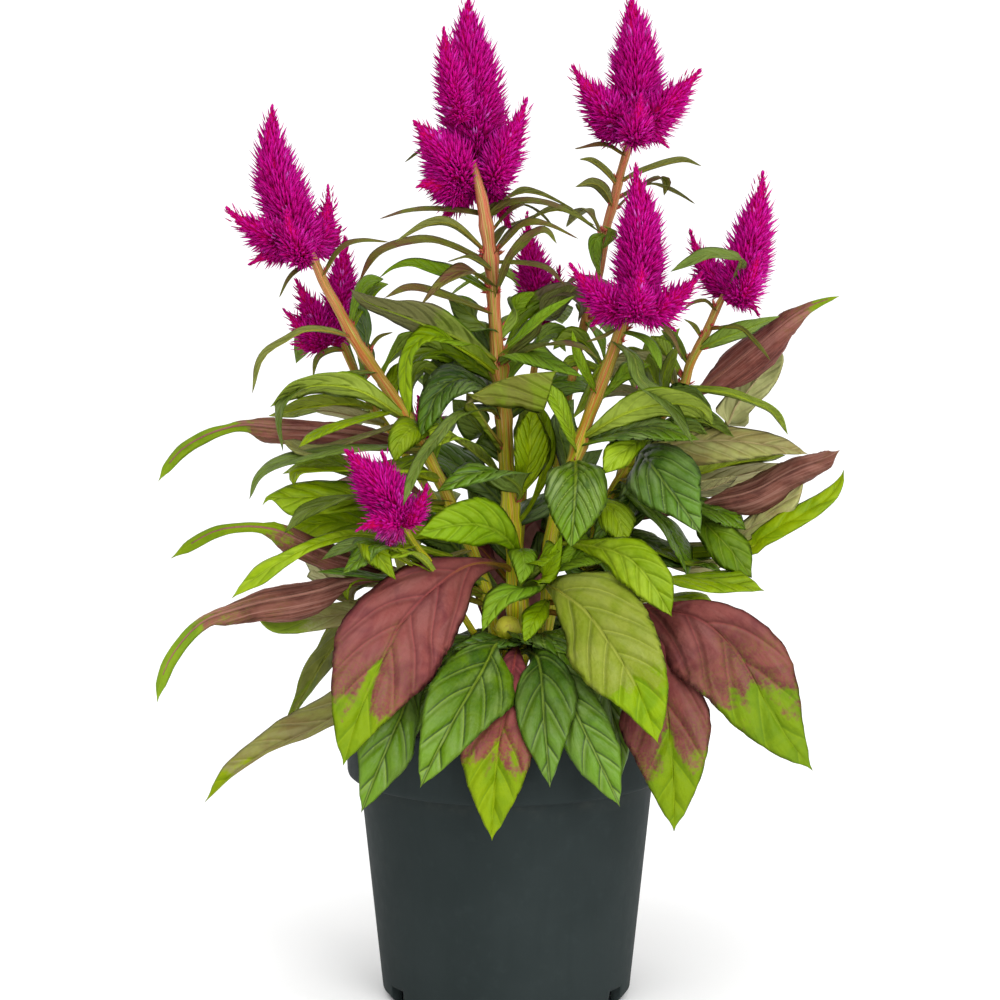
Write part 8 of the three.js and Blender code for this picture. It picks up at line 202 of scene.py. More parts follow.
    ["x30","centre_right","G",2,[[40.04,-13.52,259.61],[33.62,-4,260.45],[27.65,0,262.42],[21.63,2,258.53]],[[0.68,0.41,0.61],[0.62,0.43,0.65],[0.21,0.66,0.72],[-0.02,0.88,0.48]],[[1.06,1.04],[4,4],[3.84,3.79],[0.32,0.27]],[0.21,0.21,0.21,0.21],[-0.38,-0.38,-0.38,-0.38]],
    ["x31","right","L",2,[[69.96,6.02,248.52],[64.52,12,257.77],[54.43,15,260.29],[45.57,18,257.47],[39.51,20,252.3]],[[0.89,0.32,0.32],[0.69,0.48,0.55],[0.21,0.71,0.68],[0.08,0.9,0.42],[0.14,0.97,0.21]],[[2.49,2.43],[8.02,8.02],[7.49,7.57],[4.58,4.65],[0.24,0.26]],[0.21,0.21,0.21,0.21,0.21],[-0.38,-0.38,-0.38,-0.38,-0.38]],
    ["x32","centre_right","G",2,[[35.29,-12.73,247.1],[39.2,-8.88,249.16],[46.59,-2,256.16],[51.49,0,259.58],[58.39,1,260.27]],[[0.33,-0.69,0.65],[0.34,-0.79,0.51],[0.24,-0.86,0.45],[-0.19,-0.44,0.88],[-0.07,-0.22,0.97]],[[1.09,1],[1.07,1.04],[2.89,2.92],[5.87,5.82],[0.68,0.68]],[0.21,0.21,0.21,0.21,0.21],[-0.38,-0.38,-0.38,-0.38,-0.38]],
    ["x33a","right","G",2,[[72.33,6.07,253.65],[66.76,8,261.09],[63.53,9,266.29],[60.25,9,270.77]],[[0.47,0.87,0.12],[0.47,0.88,0.12],[0.4,0.9,0.18],[0.33,0.91,0.24]],[[0.73,0.74],[2.86,2.8],[4.14,4.19],[0.31,0.34]],[0.21,0.21,0.21,0.21],[-0.38,-0.38,-0.38,-0.38]],
    ["x33b","right","G",2,[[74.24,3.81,259.43],[70.47,10,266.17],[67.28,12,270.45],[62.79,12,273.31]],[[0.91,0.37,0.17],[0.87,0.46,0.21],[0.6,0.66,0.46],[0.4,0.67,0.62]],[[1.43,1.34],[3.92,4.02],[3.89,3.99],[0.4,0.39]],[0.21,0.21,0.21,0.21],[-0.38,-0.38,-0.38,-0.38]],
    ["x35","right","D",2,[[58.25,10.28,231.98],[57.98,4.57,235.67],[65.06,-6,245.28],[72.91,-10,248.21],[78.86,-12,244.42],[82.08,-13,237.67]],[[0.98,0.06,0.17],[0.9,0.42,0.05],[0.6,0.78,0.19],[0.31,0.6,0.74],[0.75,0.37,0.55],[0.87,0.35,0.36]],[[5.41,5.35],[1.33,1.38],[3.72,3.75],[9.6,9.54],[9.47,9.39],[0.68,0.66]],[0.21,0.21,0.21,0.21,0.21,0.21],[-0.38,-0.38,-0.38,-0.38,-0.38,-0.38]],
    ["x36","right","L",2,[[63.04,9.2,238.35],[52.84,14,246.86],[43.51,16,247.85],[34.17,18,244.3]],[[0.69,0.35,0.63],[0.51,0.42,0.75],[0.03,0.62,0.78],[-0.1,0.74,0.67]],[[2.81,2.79],[5.84,5.85],[4.68,4.72],[0.38,0.35]],[0.21,0.21,0.21,0.21],[-0.38,-0.38,-0.38,-0.38]],
    ["x38","centre_right","D",2,[[29.56,-11.51,229.56],[32.6,-8.37,231.3],[42.63,-2,238.66],[51.57,0,242.07],[60.54,2,244.27]],[[0.35,-0.69,0.63],[0.2,-0.8,0.56],[-0.08,-0.72,0.69],[-0.2,-0.37,0.91],[-0.15,-0.34,0.93]],[[1.07,1.02],[1.09,1.02],[3.83,3.82],[8.21,8.16],[0.53,0.5]],[0.21,0.21,0.21,0.21,0.21],[-0.38,-0.38,-0.38,-0.38,-0.38]],
    ["x40","right","D",2,[[54.31,10.83,226.29],[56.24,7.1,228.36],[65.47,2,233.23],[74.29,0,234.32],[81.95,-1,231.19]],[[0.79,0.55,0.26],[0.45,0.83,0.33],[0.1,0.78,0.62],[0.2,0.51,0.83],[0.39,0.45,0.8]],[[1.08,1.02],[1.05,1.08],[3.96,3.93],[7.9,7.93],[0.6,0.57]],[0.21,0.21,0.21,0.21,0.21],[-0.38,-0.38,-0.38,-0.38,-0.38]],
    ["x50","right","D",2,[[44.17,12.16,206.57],[50.03,7.86,209.13],[49.34,0,203.19],[42.77,-3,199.14],[37.48,-5,192.07],[34.66,-5,187.14]],[[0.09,0.59,0.8],[0.61,0.04,0.79],[0.49,-0.74,0.45],[0.05,-0.93,0.36],[0.48,-0.86,-0.18],[0.79,-0.42,-0.45]],[[1.81,1.75],[5.4,5.39],[5.14,5.15],[6.14,6.13],[3.11,3.03],[0.73,0.67]],[0.21,0.21,0.21,0.21,0.21,0.21],[-0.38,-0.38,-0.38,-0.38,-0.38,-0.38]],
    ["x51","right","D",2,[[42.85,12.44,204.51],[49.04,7.91,206.9],[63.01,-4,197.65],[68.53,-9,188.2],[71.72,-11,181.57],[73.33,-12,175.18]],[[0.03,0.5,0.87],[0.36,0.06,0.93],[0.6,-0.17,0.78],[0.78,-0.29,0.55],[0.87,-0.3,0.39],[0.91,-0.31,0.28]],[[2.26,2.32],[5.42,5.4],[11.42,11.35],[11.56,11.59],[7.49,7.53],[0.78,0.7]],[0.21,0.21,0.21,0.21,0.21,0.21],[-0.38,-0.38,-0.38,-0.38,-0.38,-0.38]],
    ["x52","centre_right","G",2,[[18.03,-6.99,190.2],[26.72,-7.44,194.14],[29.56,-16,190.16],[25.48,-20,185.52],[20.24,-22,178.93]],[[-0.33,-0.68,0.65],[-0.09,-0.12,0.99],[0.45,-0.54,0.72],[0.12,-0.91,0.39],[0.02,-0.96,0.28]],[[1.26,1.25],[2.89,2.94],[4.42,4.45],[3.73,3.65],[0.2,0.26]],[0.21,0.21,0.21,0.21,0.21],[-0.38,-0.38,-0.38,-0.38,-0.38]],
    ["x53","centre_right","D",2,[[17.64,-5.3,180.57],[26.57,-3.68,187.1],[40.09,0,179.73],[43,1,172.54],[42.62,1,166.33]],[[-0.23,-0.83,0.52],[0.16,-0.55,0.82],[0.67,-0.4,0.63],[0.92,-0.35,0.15],[0.91,-0.4,-0.06]],[[1.19,1.13],[1.51,1.51],[6.4,6.47],[8,8.07],[0.6,0.62]],[0.21,0.21,0.21,0.21,0.21],[-0.38,-0.38,-0.38,-0.38,-0.38]],
    ["x54","right","H",2,[[28.07,12.24,160.61],[30.36,5.6,166.3],[44.03,-6,169.21],[54.07,-9,169.73],[62.97,-10,164.57]],[[0.25,0.68,0.69],[-0.1,0.35,0.93],[-0.18,-0.07,0.98],[0.11,-0.5,0.86],[0.36,-0.57,0.74]],[[1.03,1.06],[3.58,3.58],[8.84,8.83],[4.48,4.46],[0.41,0.4]],[0.21,0.21,0.21,0.21,0.21],[-0.38,-0.38,-0.38,-0.38,-0.38]],
    ["x55","right","Y",2,[[27.07,12.07,153.85],[33.06,4.3,160.32],[60.21,-8,165.86],[71.06,-10,166.21],[79.12,-11,165.57],[83.93,-12,163.69]],[[0.36,0.74,0.56],[-0.05,0.46,0.89],[-0.09,0.18,0.98],[0,-0.08,1],[0.18,-0.11,0.98],[0.34,-0.11,0.93]],[[1.08,1.04],[2.9,2.95],[13.43,13.38],[14.76,14.73],[10.66,10.62],[0.81,0.86]],[0.21,0.21,0.21,0.21,0.21,0.21],[-0.38,-0.38,-0.38,-0.38,-0.38,-0.38]],
    ["x56","right","D",2,[[43.54,12.32,206.45],[55.87,7.85,209.96],[65.71,4,208.75],[79.29,-2,202.68],[89.22,-6,200.01],[96.84,-8,194.18]],[[-0.23,0.13,0.96],[-0.09,0.04,1],[0.24,-0.14,0.96],[0.28,-0.16,0.95],[0.36,-0.22,0.91],[0.53,-0.29,0.8]],[[5.41,5.36],[5.4,5.4],[2.94,2.98],[12.36,12.36],[14.32,14.38],[0.59,0.55]],[0.21,0.21,0.21,0.21,0.21,0.21],[-0.38,-0.38,-0.38,-0.38,-0.38,-0.38]],
    ["x57","right","L",2,[[31.14,12.94,174.03],[46.08,8.04,179.65],[58.55,4,179.88],[75.51,0,177.66],[84.74,-2,180.06],[91.99,-3,181.05]],[[-0.11,0.58,0.81],[-0.03,0.49,0.87],[0.15,0.33,0.93],[0.07,0.33,0.94],[-0.12,0.36,0.92],[-0.09,0.29,0.95]],[[2.22,2.23],[2.83,2.84],[4.52,4.41],[11.16,11.12],[12.38,12.43],[1.14,1.2]],[0.21,0.21,0.21,0.21,0.21,0.21],[-0.38,-0.38,-0.38,-0.38,-0.38,-0.38]],
    ["x59","right","H",2,[[32.1,12.8,178.23],[42.1,5.88,183.28],[50.24,0,183.85],[65.53,-4,184.51],[74.38,-6,181.55],[81.23,-7,180.49]],[[-0.04,0.55,0.83],[0.01,0.42,0.91],[0,0.12,0.99],[0.08,-0.06,0.99],[0.22,-0.14,0.97],[0.13,-0.15,0.98]],[[2.08,2.11],[3.18,3.16],[3.36,3.35],[10.78,10.84],[7.08,7.08],[0.74,0.73]],[0.21,0.21,0.21,0.21,0.21,0.21],[-0.38,-0.38,-0.38,-0.38,-0.38,-0.38]],
    ["x60","right","L",2,[[45.54,12.55,210.61],[50.43,9.97,211.76],[75.57,6,208.87],[84.82,4,210.4],[94.48,3,215.07]],[[0.23,0.73,0.65],[0.16,0.51,0.85],[0.12,0.49,0.87],[-0.16,0.59,0.79],[-0.3,0.58,0.75]],[[1.43,1.44],[2.61,2.55],[9.01,9.02],[7.92,7.87],[0.49,0.45]],[0.21,0.21,0.21,0.21,0.21],[-0.38,-0.38,-0.38,-0.38,-0.38]],
    ["x77","left","H",2,[[-7.58,-2.03,166.09],[-27.12,-11.73,174.8],[-42.85,-20,175.74],[-59.51,-26,177.58],[-64.26,-28,174.68],[-63.46,-29,168.36]],[[0.31,0.21,0.93],[0.19,0.15,0.97],[0.08,0.02,1],[-0.02,-0.07,1],[-0.79,-0.4,0.47],[-0.79,-0.61,0]],[[5.41,5.45],[5.42,5.39],[3.41,3.45],[6.41,6.44],[4.54,4.47],[0.37,0.43]],[0.21,0.21,0.21,0.21,0.21,0.21],[-0.38,-0.38,-0.38,-0.38,-0.38,-0.38]],
    ["x78","left","D",2,[[-8.71,-2.47,171.16],[-18.81,-12.12,176.82],[-26.76,-20,177.78],[-46.47,-34,179.36],[-62.09,-42,182.74],[-75.37,-46,183.42]],[[0.11,0.41,0.9],[0.06,0.3,0.95],[0.04,0.07,1],[0.14,0,0.99],[0.21,-0.18,0.96],[0.14,-0.29,0.95]],[[2.82,2.8],[5.29,5.29],[3.34,3.39],[5.91,5.96],[4.4,4.44],[0.44,0.48]],[0.21,0.21,0.21,0.21,0.21,0.21],[-0.38,-0.38,-0.38,-0.38,-0.38,-0.38]],
    ["x79","front_left","H",2,[[-26.22,-32.34,177.47],[-34.12,-52,190.82],[-41.85,-57,193.24],[-51.18,-60,190.56]],[[-0.39,0.62,0.68],[0.02,0.53,0.85],[0.13,-0.32,0.94],[-0.12,-0.43,0.89]],[[0.62,0.68],[2.56,2.47],[4.64,4.7],[0.45,0.45]],[0.21,0.21,0.21,0.21],[-0.38,-0.38,-0.38,-0.38]],
    ["x80","main","D",2,[[2.2,-3.57,193.73],[1.5,1.49,199.65],[-10.82,12,210.87],[-20.66,16,217.74],[-30.1,18,222.83],[-37.07,19,226.83]],[[-0.96,0.13,-0.23],[-0.81,-0.58,-0.09],[-0.2,-0.87,0.46],[0.36,-0.46,0.81],[0.43,-0.27,0.86],[0.47,-0.19,0.86]],[[5.1,5.14],[1.65,1.55],[5.45,5.4],[11.98,12.05],[11.44,11.51],[0.75,0.76]],[0.21,0.21,0.21,0.21,0.21,0.21],[-0.38,-0.38,-0.38,-0.38,-0.38,-0.38]],
    ["x81","main","D",2,[[3,-3.69,187.54],[2.86,1.57,193.33],[15.79,14,203.13],[26.08,18,211.24],[33.49,20,218],[39.65,21,223.25]],[[0.72,-0.5,0.48],[0.1,-0.7,0.71],[-0.46,-0.27,0.85],[-0.62,0.62,0.48],[-0.41,0.88,0.24],[-0.34,0.91,0.22]],[[1.44,1.53],[1.03,1.05],[12.22,12.26],[12.79,12.84],[5.44,5.41],[0.25,0.29]],[0.21,0.21,0.21,0.21,0.21,0.21],[-0.38,-0.38,-0.38,-0.38,-0.38,-0.38]],
    ["x82","main","H",2,[[1.45,-4.44,202.89],[1.59,2.57,209.05],[7.18,16,222.7],[10.07,20,232.07],[9.66,22,241.32],[8.02,23,247.81]],[[0.82,-0.38,0.42],[0.24,-0.71,0.66],[-0.72,0.65,-0.23],[0.27,0.91,-0.33],[0.56,0.83,-0.09],[0.61,0.79,0.03]],[[1.8,1.7],[1.06,1.04],[7.05,7.06],[6.88,6.89],[4.51,4.45],[0.34,0.31]],[0.21,0.21,0.21,0.21,0.21,0.21],[-0.38,-0.38,-0.38,-0.38,-0.38,-0.38]],
    ["x83","left","D",2,[[-9.58,-2.84,173.13],[-23.07,8,187.09],[-33.34,12,194.74],[-43.61,14,201.06],[-52.22,15,205.46]],[[-0.52,-0.84,0.16],[-0.3,-0.91,0.29],[0.35,-0.55,0.75],[0.45,-0.26,0.86],[0.43,-0.19,0.88]],[[0.9,0.98],[5.83,5.85],[10.86,10.94],[12.37,12.37],[0.69,0.67]],[0.21,0.21,0.21,0.21,0.21],[-0.38,-0.38,-0.38,-0.38,-0.38]],
    ["x84","centre_right","D",2,[[17.52,-5.18,172.75],[18.88,-0.05,177.87],[32.14,10,186.76],[43.27,14,194.42],[53.15,16,200.34],[61.36,17,205.16]],[[0.94,-0.34,0.09],[0.53,-0.79,0.3],[0.08,-0.81,0.58],[-0.37,-0.48,0.79],[-0.48,-0.2,0.86],[-0.5,-0.1,0.86]],[[2.41,2.37],[1.13,1.11],[6.02,6],[12,12.01],[14.21,14.31],[0.94,0.92]],[0.21,0.21,0.21,0.21,0.21,0.21],[-0.38,-0.38,-0.38,-0.38,-0.38,-0.38]],
    ["x85","main","G",2,[[4.63,-2.4,157.46],[2.33,1.08,161.63],[-14.11,10,174.32],[-24.39,14,183.62],[-33.02,16,192.03],[-39.59,17,198.11]],[[0.23,-0.68,0.7],[0.71,0.12,0.7],[0.67,0.54,0.5],[0.3,0.96,-0.01],[-0.11,0.94,-0.31],[-0.16,0.93,-0.33]],[[1.11,1.13],[5.4,5.41],[12.51,12.54],[7.44,7.41],[4.27,4.29],[0.22,0.23]],[0.21,0.21,0.21,0.21,0.21,0.21],[-0.38,-0.38,-0.38,-0.38,-0.38,-0.38]],
    ["x86","main","D",2,[[4.59,-2.7,170.34],[4.04,3.02,176.37],[-2.64,18,189.63],[-7.59,24,199.53],[-11.72,27,209.09],[-14.19,28,217.28]],[[-0.95,-0.27,0.17],[-0.39,-0.7,0.6],[0.61,-0.41,0.68],[0.31,0.91,-0.28],[0.02,0.98,-0.21],[-0.11,0.98,-0.15]],[[2.82,2.81],[1.03,1.11],[10.35,10.34],[8.16,8.07],[4.95,4.97],[0.21,0.29]],[0.21,0.21,0.21,0.21,0.21,0.21],[-0.38,-0.38,-0.38,-0.38,-0.38,-0.38]],
    ["x87","main","D",2,[[4.85,-2.39,161.85],[5.04,3.19,168.07],[15.87,18,181.3],[22.11,24,190.77],[27.09,27,200.74],[30.39,28,209.78]],[[0.95,-0.25,0.2],[0.52,-0.72,0.46],[0.08,-0.76,0.64],[0.29,0.79,-0.54],[0.38,0.86,-0.35],[0.44,0.86,-0.25]],[[3.08,3.04],[1.15,1.09],[6.34,6.35],[8.77,8.83],[5.54,5.51],[0.3,0.25]],[0.21,0.21,0.21,0.21,0.21,0.21],[-0.38,-0.38,-0.38,-0.38,-0.38,-0.38]],
    ["x88","centre_right","H",2,[[16.34,-3.84,158.25],[16.62,0.29,161.88],[30.97,10,170.16],[43.76,14,175.72],[54.89,16,180.8],[64.36,17,184.38]],[[0.96,-0.22,0.17],[0.45,-0.81,0.39],[0,-0.71,0.71],[-0.28,-0.4,0.87],[-0.35,-0.23,0.91],[-0.33,-0.17,0.93]],[[3.31,3.34],[1.04,1.06],[6.22,6.13],[11.79,11.76],[10.68,10.75],[0.65,0.67]],[0.21,0.21,0.21,0.21,0.21,0.21],[-0.38,-0.38,-0.38,-0.38,-0.38,-0.38]],
    ["x89","left","H",2,[[-23.22,-9.01,206.33],[-26.55,-2.99,212.67],[-41.31,6,216.69],[-52.38,8,213.11],[-63.04,9,208.01],[-72.06,9,202.64]],[[-0.86,-0.51,0.03],[-0.43,-0.8,0.41],[-0.24,-0.58,0.78],[-0.39,-0.38,0.84],[-0.45,-0.35,0.82],[-0.48,-0.34,0.81]],[[1.67,1.67],[0.97,1.07],[6.01,6.05],[11.49,11.57],[7.14,7.16],[0.52,0.49]],[0.21,0.21,0.21,0.21,0.21,0.21],[-0.38,-0.38,-0.38,-0.38,-0.38,-0.38]],
    ["x91","main","G",2,[[4.22,-2.97,163.53],[11.44,-20,173.7],[16.58,-26,180.83],[19.72,-29,188.63],[22.09,-30,195.66]],[[0.21,0.57,0.8],[0.06,0.62,0.78],[-0.37,-0.87,-0.32],[0.23,-0.91,-0.33],[0.26,-0.94,-0.22]],[[0.94,0.99],[4.5,4.39],[4.44,4.42],[2.69,2.71],[0.29,0.22]],[0.21,0.21,0.21,0.21,0.21],[-0.38,-0.38,-0.38,-0.38,-0.38]],
    ["x92","main","G",2,[[4.61,-2.99,166.43],[9.4,-22,180.15],[15.34,-28,186.84],[21.29,-31,188.96]],[[0.41,0.6,0.69],[0.14,0.66,0.74],[-0.71,-0.33,0.62],[-0.5,-0.49,0.72]],[[0.88,0.86],[4.4,4.39],[7.49,7.54],[0.3,0.4]],[0.21,0.21,0.21,0.21],[-0.38,-0.38,-0.38,-0.38]],
    ["x93","right","D",2,[[36.84,12.63,192.63],[54.36,2,188.47],[66.47,-1,184.02],[78.59,-3,181.05],[87.51,-4,176.28]],[[0.18,-0.09,0.98],[0.2,-0.17,0.96],[0.23,-0.28,0.93],[0.29,-0.32,0.9],[0.41,-0.35,0.84]],[[3.16,3.07],[13.51,13.53],[12.55,12.56],[7.33,7.29],[0.53,0.46]],[0.21,0.21,0.21,0.21,0.21],[-0.38,-0.38,-0.38,-0.38,-0.38]],
    ["x94","main","D",2,[[4.57,-1.79,144.55],[3.59,-5.25,147.82],[13.44,-24,154],[21.3,-36,150.96],[29.15,-44,142.78],[33.85,-48,134.69]],[[0.88,0.18,0.45],[0.01,0.39,0.92],[-0.12,0.03,0.99],[0.08,-0.44,0.89],[0.27,-0.67,0.7],[0.35,-0.74,0.57]],[[5.36,5.36],[1.82,1.84],[13.8,13.77],[6.34,6.37],[4.29,4.34],[0.31,0.27]],[0.21,0.21,0.21,0.21,0.21,0.21],[-0.38,-0.38,-0.38,-0.38,-0.38,-0.38]],
    ["x95","main","D",2,[[4.18,-1.42,142.14],[3.13,-5.18,145.21],[-14.7,-24,151.96],[-24.62,-34,147.74],[-32.49,-42,139.15],[-37.6,-46,129.83]],[[-0.66,0.58,0.48],[0.21,0.23,0.95],[0.1,-0.01,1],[-0.27,-0.37,0.89],[-0.46,-0.55,0.7],[-0.55,-0.62,0.57]],[[1.12,1.11],[5.42,5.38],[14.75,14.74],[7.89,7.88],[5.14,5.1],[0.35,0.38]],[0.21,0.21,0.21,0.21,0.21,0.21],[-0.38,-0.38,-0.38,-0.38,-0.38,-0.38]],
    ["x96","main","D",2,[[4.2,-1.08,134.7],[3.09,-6.16,139.27],[-26.4,-50,136.7],[-36.07,-62,129.1],[-41.86,-68,118.34],[-44.99,-70,108.76]],[[-0.76,0.52,0.4],[0.01,0.04,1],[-0.06,-0.14,0.99],[-0.33,-0.52,0.79],[-0.51,-0.7,0.5],[-0.57,-0.74,0.34]],[[1.21,1.25],[3.48,3.52],[7.86,7.86],[6.98,6.94],[4.02,4.04],[0.31,0.26]],[0.21,0.21,0.21,0.21,0.21,0.21],[-0.38,-0.38,-0.38,-0.38,-0.38,-0.38]],
    ["x97","centre_right","D",2,[[14,-3.33,135.78],[14.79,-8.09,139.67],[37.07,-46,135.9],[41.59,-56,127.85],[44.61,-62,117.05],[45.39,-64,105.42]],[[0.76,0.48,0.44],[0.09,0.05,0.99],[0.17,-0.14,0.97],[0.42,-0.6,0.68],[0.51,-0.78,0.36],[0.54,-0.82,0.18]],[[1.21,1.27],[3.8,3.73],[6.85,6.88],[6.41,6.39],[4.84,4.83],[0.35,0.31]],[0.21,0.21,0.21,0.21,0.21,0.21],[-0.38,-0.38,-0.38,-0.38,-0.38,-0.38]],
    ["x98","main","G",2,[[-1.78,-3.95,248.33],[-3.02,0.37,252.27],[-14.83,10,260.45],[-25.04,14,264.5],[-33.22,16,263.45],[-41.43,17,257.18]],[[-0.97,-0.26,-0.02],[-0.59,-0.77,0.25],[-0.12,-0.77,0.63],[0,-0.45,0.89],[-0.43,-0.3,0.85],[-0.61,-0.27,0.75]],[[2.99,2.97],[1.12,1.04],[3.98,4.09],[8.52,8.51],[9.39,9.45],[0.67,0.6]],[0.21,0.21,0.21,0.21,0.21,0.21],[-0.38,-0.38,-0.38,-0.38,-0.38,-0.38]],
    ["x99","main","D",2,[[-0.98,-3.86,240.47],[-2.22,0.4,244.21],[-11.6,12,253.67],[-21,16,257.3],[-29.61,18,252.95],[-33.74,19,245.83]],[[-0.42,-0.66,0.62],[-0.03,-0.65,0.76],[0.43,-0.22,0.88],[0.15,0.55,0.82],[-0.39,0.69,0.61],[-0.54,0.74,0.41]],[[1.01,1.12],[1.05,1.06],[11.84,11.81],[12.22,12.17],[5.83,5.81],[0.37,0.39]],[0.21,0.21,0.21,0.21,0.21,0.21],[-0.38,-0.38,-0.38,-0.38,-0.38,-0.38]],
    ["x100","main","G",2,[[-1.76,-4.17,245.02],[-2.17,1.49,249.45],[5.5,12,262.27],[13.66,16,270.01],[20.21,18,272.25],[25.94,19,269.27]],[[0.7,-0.41,0.58],[0.57,-0.71,0.42],[-0.12,-0.76,0.63],[-0.62,0.51,0.6],[-0.08,0.54,0.84],[0.29,0.6,0.75]],[[1.46,1.55],[1.08,1.13],[3.61,3.67],[9.06,9.12],[6.2,6.16],[0.48,0.49]],[0.21,0.21,0.21,0.21,0.21,0.21],[-0.38,-0.38,-0.38,-0.38,-0.38,-0.38]],
    ["x101","centre_right","G",2,[[38.11,-12.66,256.31],[39.37,-8.08,259.54],[33.78,4,267.25],[27.77,8,270.88],[22.54,10,269.44],[18.89,10,265.36]],[[0.88,-0.41,0.23],[0.96,0.06,0.29],[0.86,0.35,0.38],[0.47,0.68,0.57],[0.03,0.95,0.3],[0.13,0.98,-0.12]],[[1.72,1.72],[5.4,5.45],[6.91,6.84],[5.42,5.33],[2.62,2.66],[0.3,0.22]],[0.21,0.21,0.21,0.21,0.21,0.21],[-0.38,-0.38,-0.38,-0.38,-0.38,-0.38]],
    ["x102","left","G",2,[[-47.11,-14.94,251.16],[-51,-5.56,256.37],[-45.24,8,264.77],[-37.2,12,269.22],[-30.32,14,268.18],[-25.46,15,263.98]],[[-0.64,-0.56,0.52],[-0.89,-0.18,0.42],[-0.82,0.27,0.51],[-0.4,0.58,0.71],[0.03,0.84,0.54],[0.01,0.97,0.25]],[[1.03,1.06],[3.1,3.05],[9.86,9.86],[6.89,6.87],[3.16,3.14],[0.25,0.32]],[0.21,0.21,0.21,0.21,0.21,0.21],[-0.38,-0.38,-0.38,-0.38,-0.38,-0.38]],
    ["x103","main","D",2,[[-0.97,-4.16,232.33],[-1.3,0.4,236.21],[9.58,12,246.29],[20.22,16,251.55],[30.06,18,251.3],[37.46,19,246.24]],[[0.99,-0.02,0.11],[0.74,-0.64,0.18],[0.11,-0.77,0.63],[-0.15,-0.28,0.95],[0.32,-0.17,0.93],[0.57,-0.14,0.81]],[[5.35,5.35],[1.22,1.2],[4.38,4.42],[13.14,13.21],[13.3,13.2],[0.96,0.94]],[0.21,0.21,0.21,0.21,0.21,0.21],[-0.38,-0.38,-0.38,-0.38,-0.38,-0.38]],
    ["x104","right","G",2,[[64.62,7.94,240.95],[60.47,12,253.67],[56.84,14,259.99],[51.97,15,263.98],[47.1,16,264.68]],[[0.88,0.46,0.14],[0.85,0.48,0.19],[0.71,0.56,0.42],[0.44,0.63,0.64],[0.24,0.7,0.67]],[[1.34,1.29],[5.02,5],[6.12,6.1],[3.6,3.61],[0.41,0.43]],[0.21,0.21,0.21,0.21,0.21],[-0.38,-0.38,-0.38,-0.38,-0.38]],
    ["x105","left","G",2,[[-56.22,-16.18,265.97],[-60.18,-5.03,271.26],[-63.31,4,272.13],[-58.76,12,267.18],[-57.23,14,259.99],[-58.9,14,253.43],[-62.19,14,248.5]],[[-0.53,-0.51,0.68],[-0.5,-0.41,0.76],[-0.58,0.24,0.78],[-0.49,0.78,0.4],[-0.9,0.43,0.07],[-0.89,0.25,0.38],[-0.81,0.24,0.54]],[[1.09,1.09],[0.98,1.01],[0.67,0.62],[2.57,2.55],[7.05,7.05],[8.83,8.84],[1.11,1.13]],[0.21,0.21,0.21,0.21,0.21,0.21,0.21],[-0.38,-0.38,-0.38,-0.38,-0.38,-0.38,-0.38]],
    ["leaf_back_centre_maroon","main","M",1,[[4.05,-2.89,174.59],[3.45,13.06,186.12],[3.02,27.63,194.11],[2.67,41.61,186.93],[2.4,54.79,167.08],[2.23,66.72,139.04],[2.13,77.96,103.75]],[[0.03,-0.59,0.81],[-0.03,-0.54,0.84],[-0.09,-0.03,1],[-0.15,0.7,0.7],[-0.2,0.87,0.46],[-0.24,0.91,0.33],[-0.28,0.91,0.29]],[[0.95,0.92],[2.1,2.11],[12.28,12.28],[20.77,20.74],[18.12,18.14],[10.78,10.8],[0.35,0.28]],[0.17,0.17,0.17,0.17,0.17,0.17,0.17],[-0.35,-0.35,-0.35,-0.35,-0.35,-0.35,-0.35]],
    ["leaf_back_left_maroon","main","M",1,[[3.91,-2.71,168.69],[-6.24,10.66,178.91],[-15.43,23,186.17],[-24.04,34.98,179.53],[-31.98,46.48,161.26],[-39.01,57.19,135.45],[-45.45,67.52,102.96]],[[0.29,-0.43,0.85],[0.22,-0.43,0.88],[-0.09,-0.09,0.99],[-0.52,0.42,0.74],[-0.67,0.55,0.5],[-0.74,0.56,0.37],[-0.78,0.54,0.33]],[[0.97,1.01],[2.12,2.23],[13.08,13.18],[20.25,20.28],[17.32,17.41],[9.45,9.49],[0.37,0.29]],[0.17,0.17,0.17,0.17,0.17,0.17,0.17],[-0.35,-0.35,-0.35,-0.35,-0.35,-0.35,-0.35]],
    ["leaf_back_right_maroon","main","M",1,[[3.88,-3.27,168.15],[14.69,10.36,179.95],[23.95,22.29,187.96],[32.8,33.75,182],[41.15,44.64,164.69],[48.78,54.64,140.24],[55.99,64.17,109.46]],[[-0.36,-0.43,0.83],[-0.33,-0.41,0.85],[-0.04,-0.06,1],[0.39,0.5,0.77],[0.52,0.67,0.53],[0.56,0.72,0.41],[0.57,0.74,0.36]],[[1,0.95],[2.14,2.09],[12.75,12.83],[21.79,21.69],[17.88,17.95],[10.56,10.58],[0.31,0.37]],[0.17,0.17,0.17,0.17,0.17,0.17,0.17],[-0.35,-0.35,-0.35,-0.35,-0.35,-0.35,-0.35]],
    ["leaf_back_right_olive","main","O",1,[[4.37,-2.67,158.28],[24.61,5.01,166.04],[42.54,11.93,171.84],[59.65,18.8,166.16],[75.91,25.62,150.77],[91.03,32.28,129.04],[105.45,38.95,101.68]],[[-0.31,-0.14,0.94],[-0.3,-0.09,0.95],[-0.03,0.06,1],[0.42,0.29,0.86],[0.61,0.42,0.67],[0.68,0.5,0.54],[0.68,0.54,0.49]],[[0.99,1],[2.25,2.24],[13.45,13.41],[20.57,20.5],[17.49,17.47],[10.27,10.29],[0.34,0.31]],[0.17,0.17,0.17,0.17,0.17,0.17,0.17],[-0.35,-0.35,-0.35,-0.35,-0.35,-0.35,-0.35]],
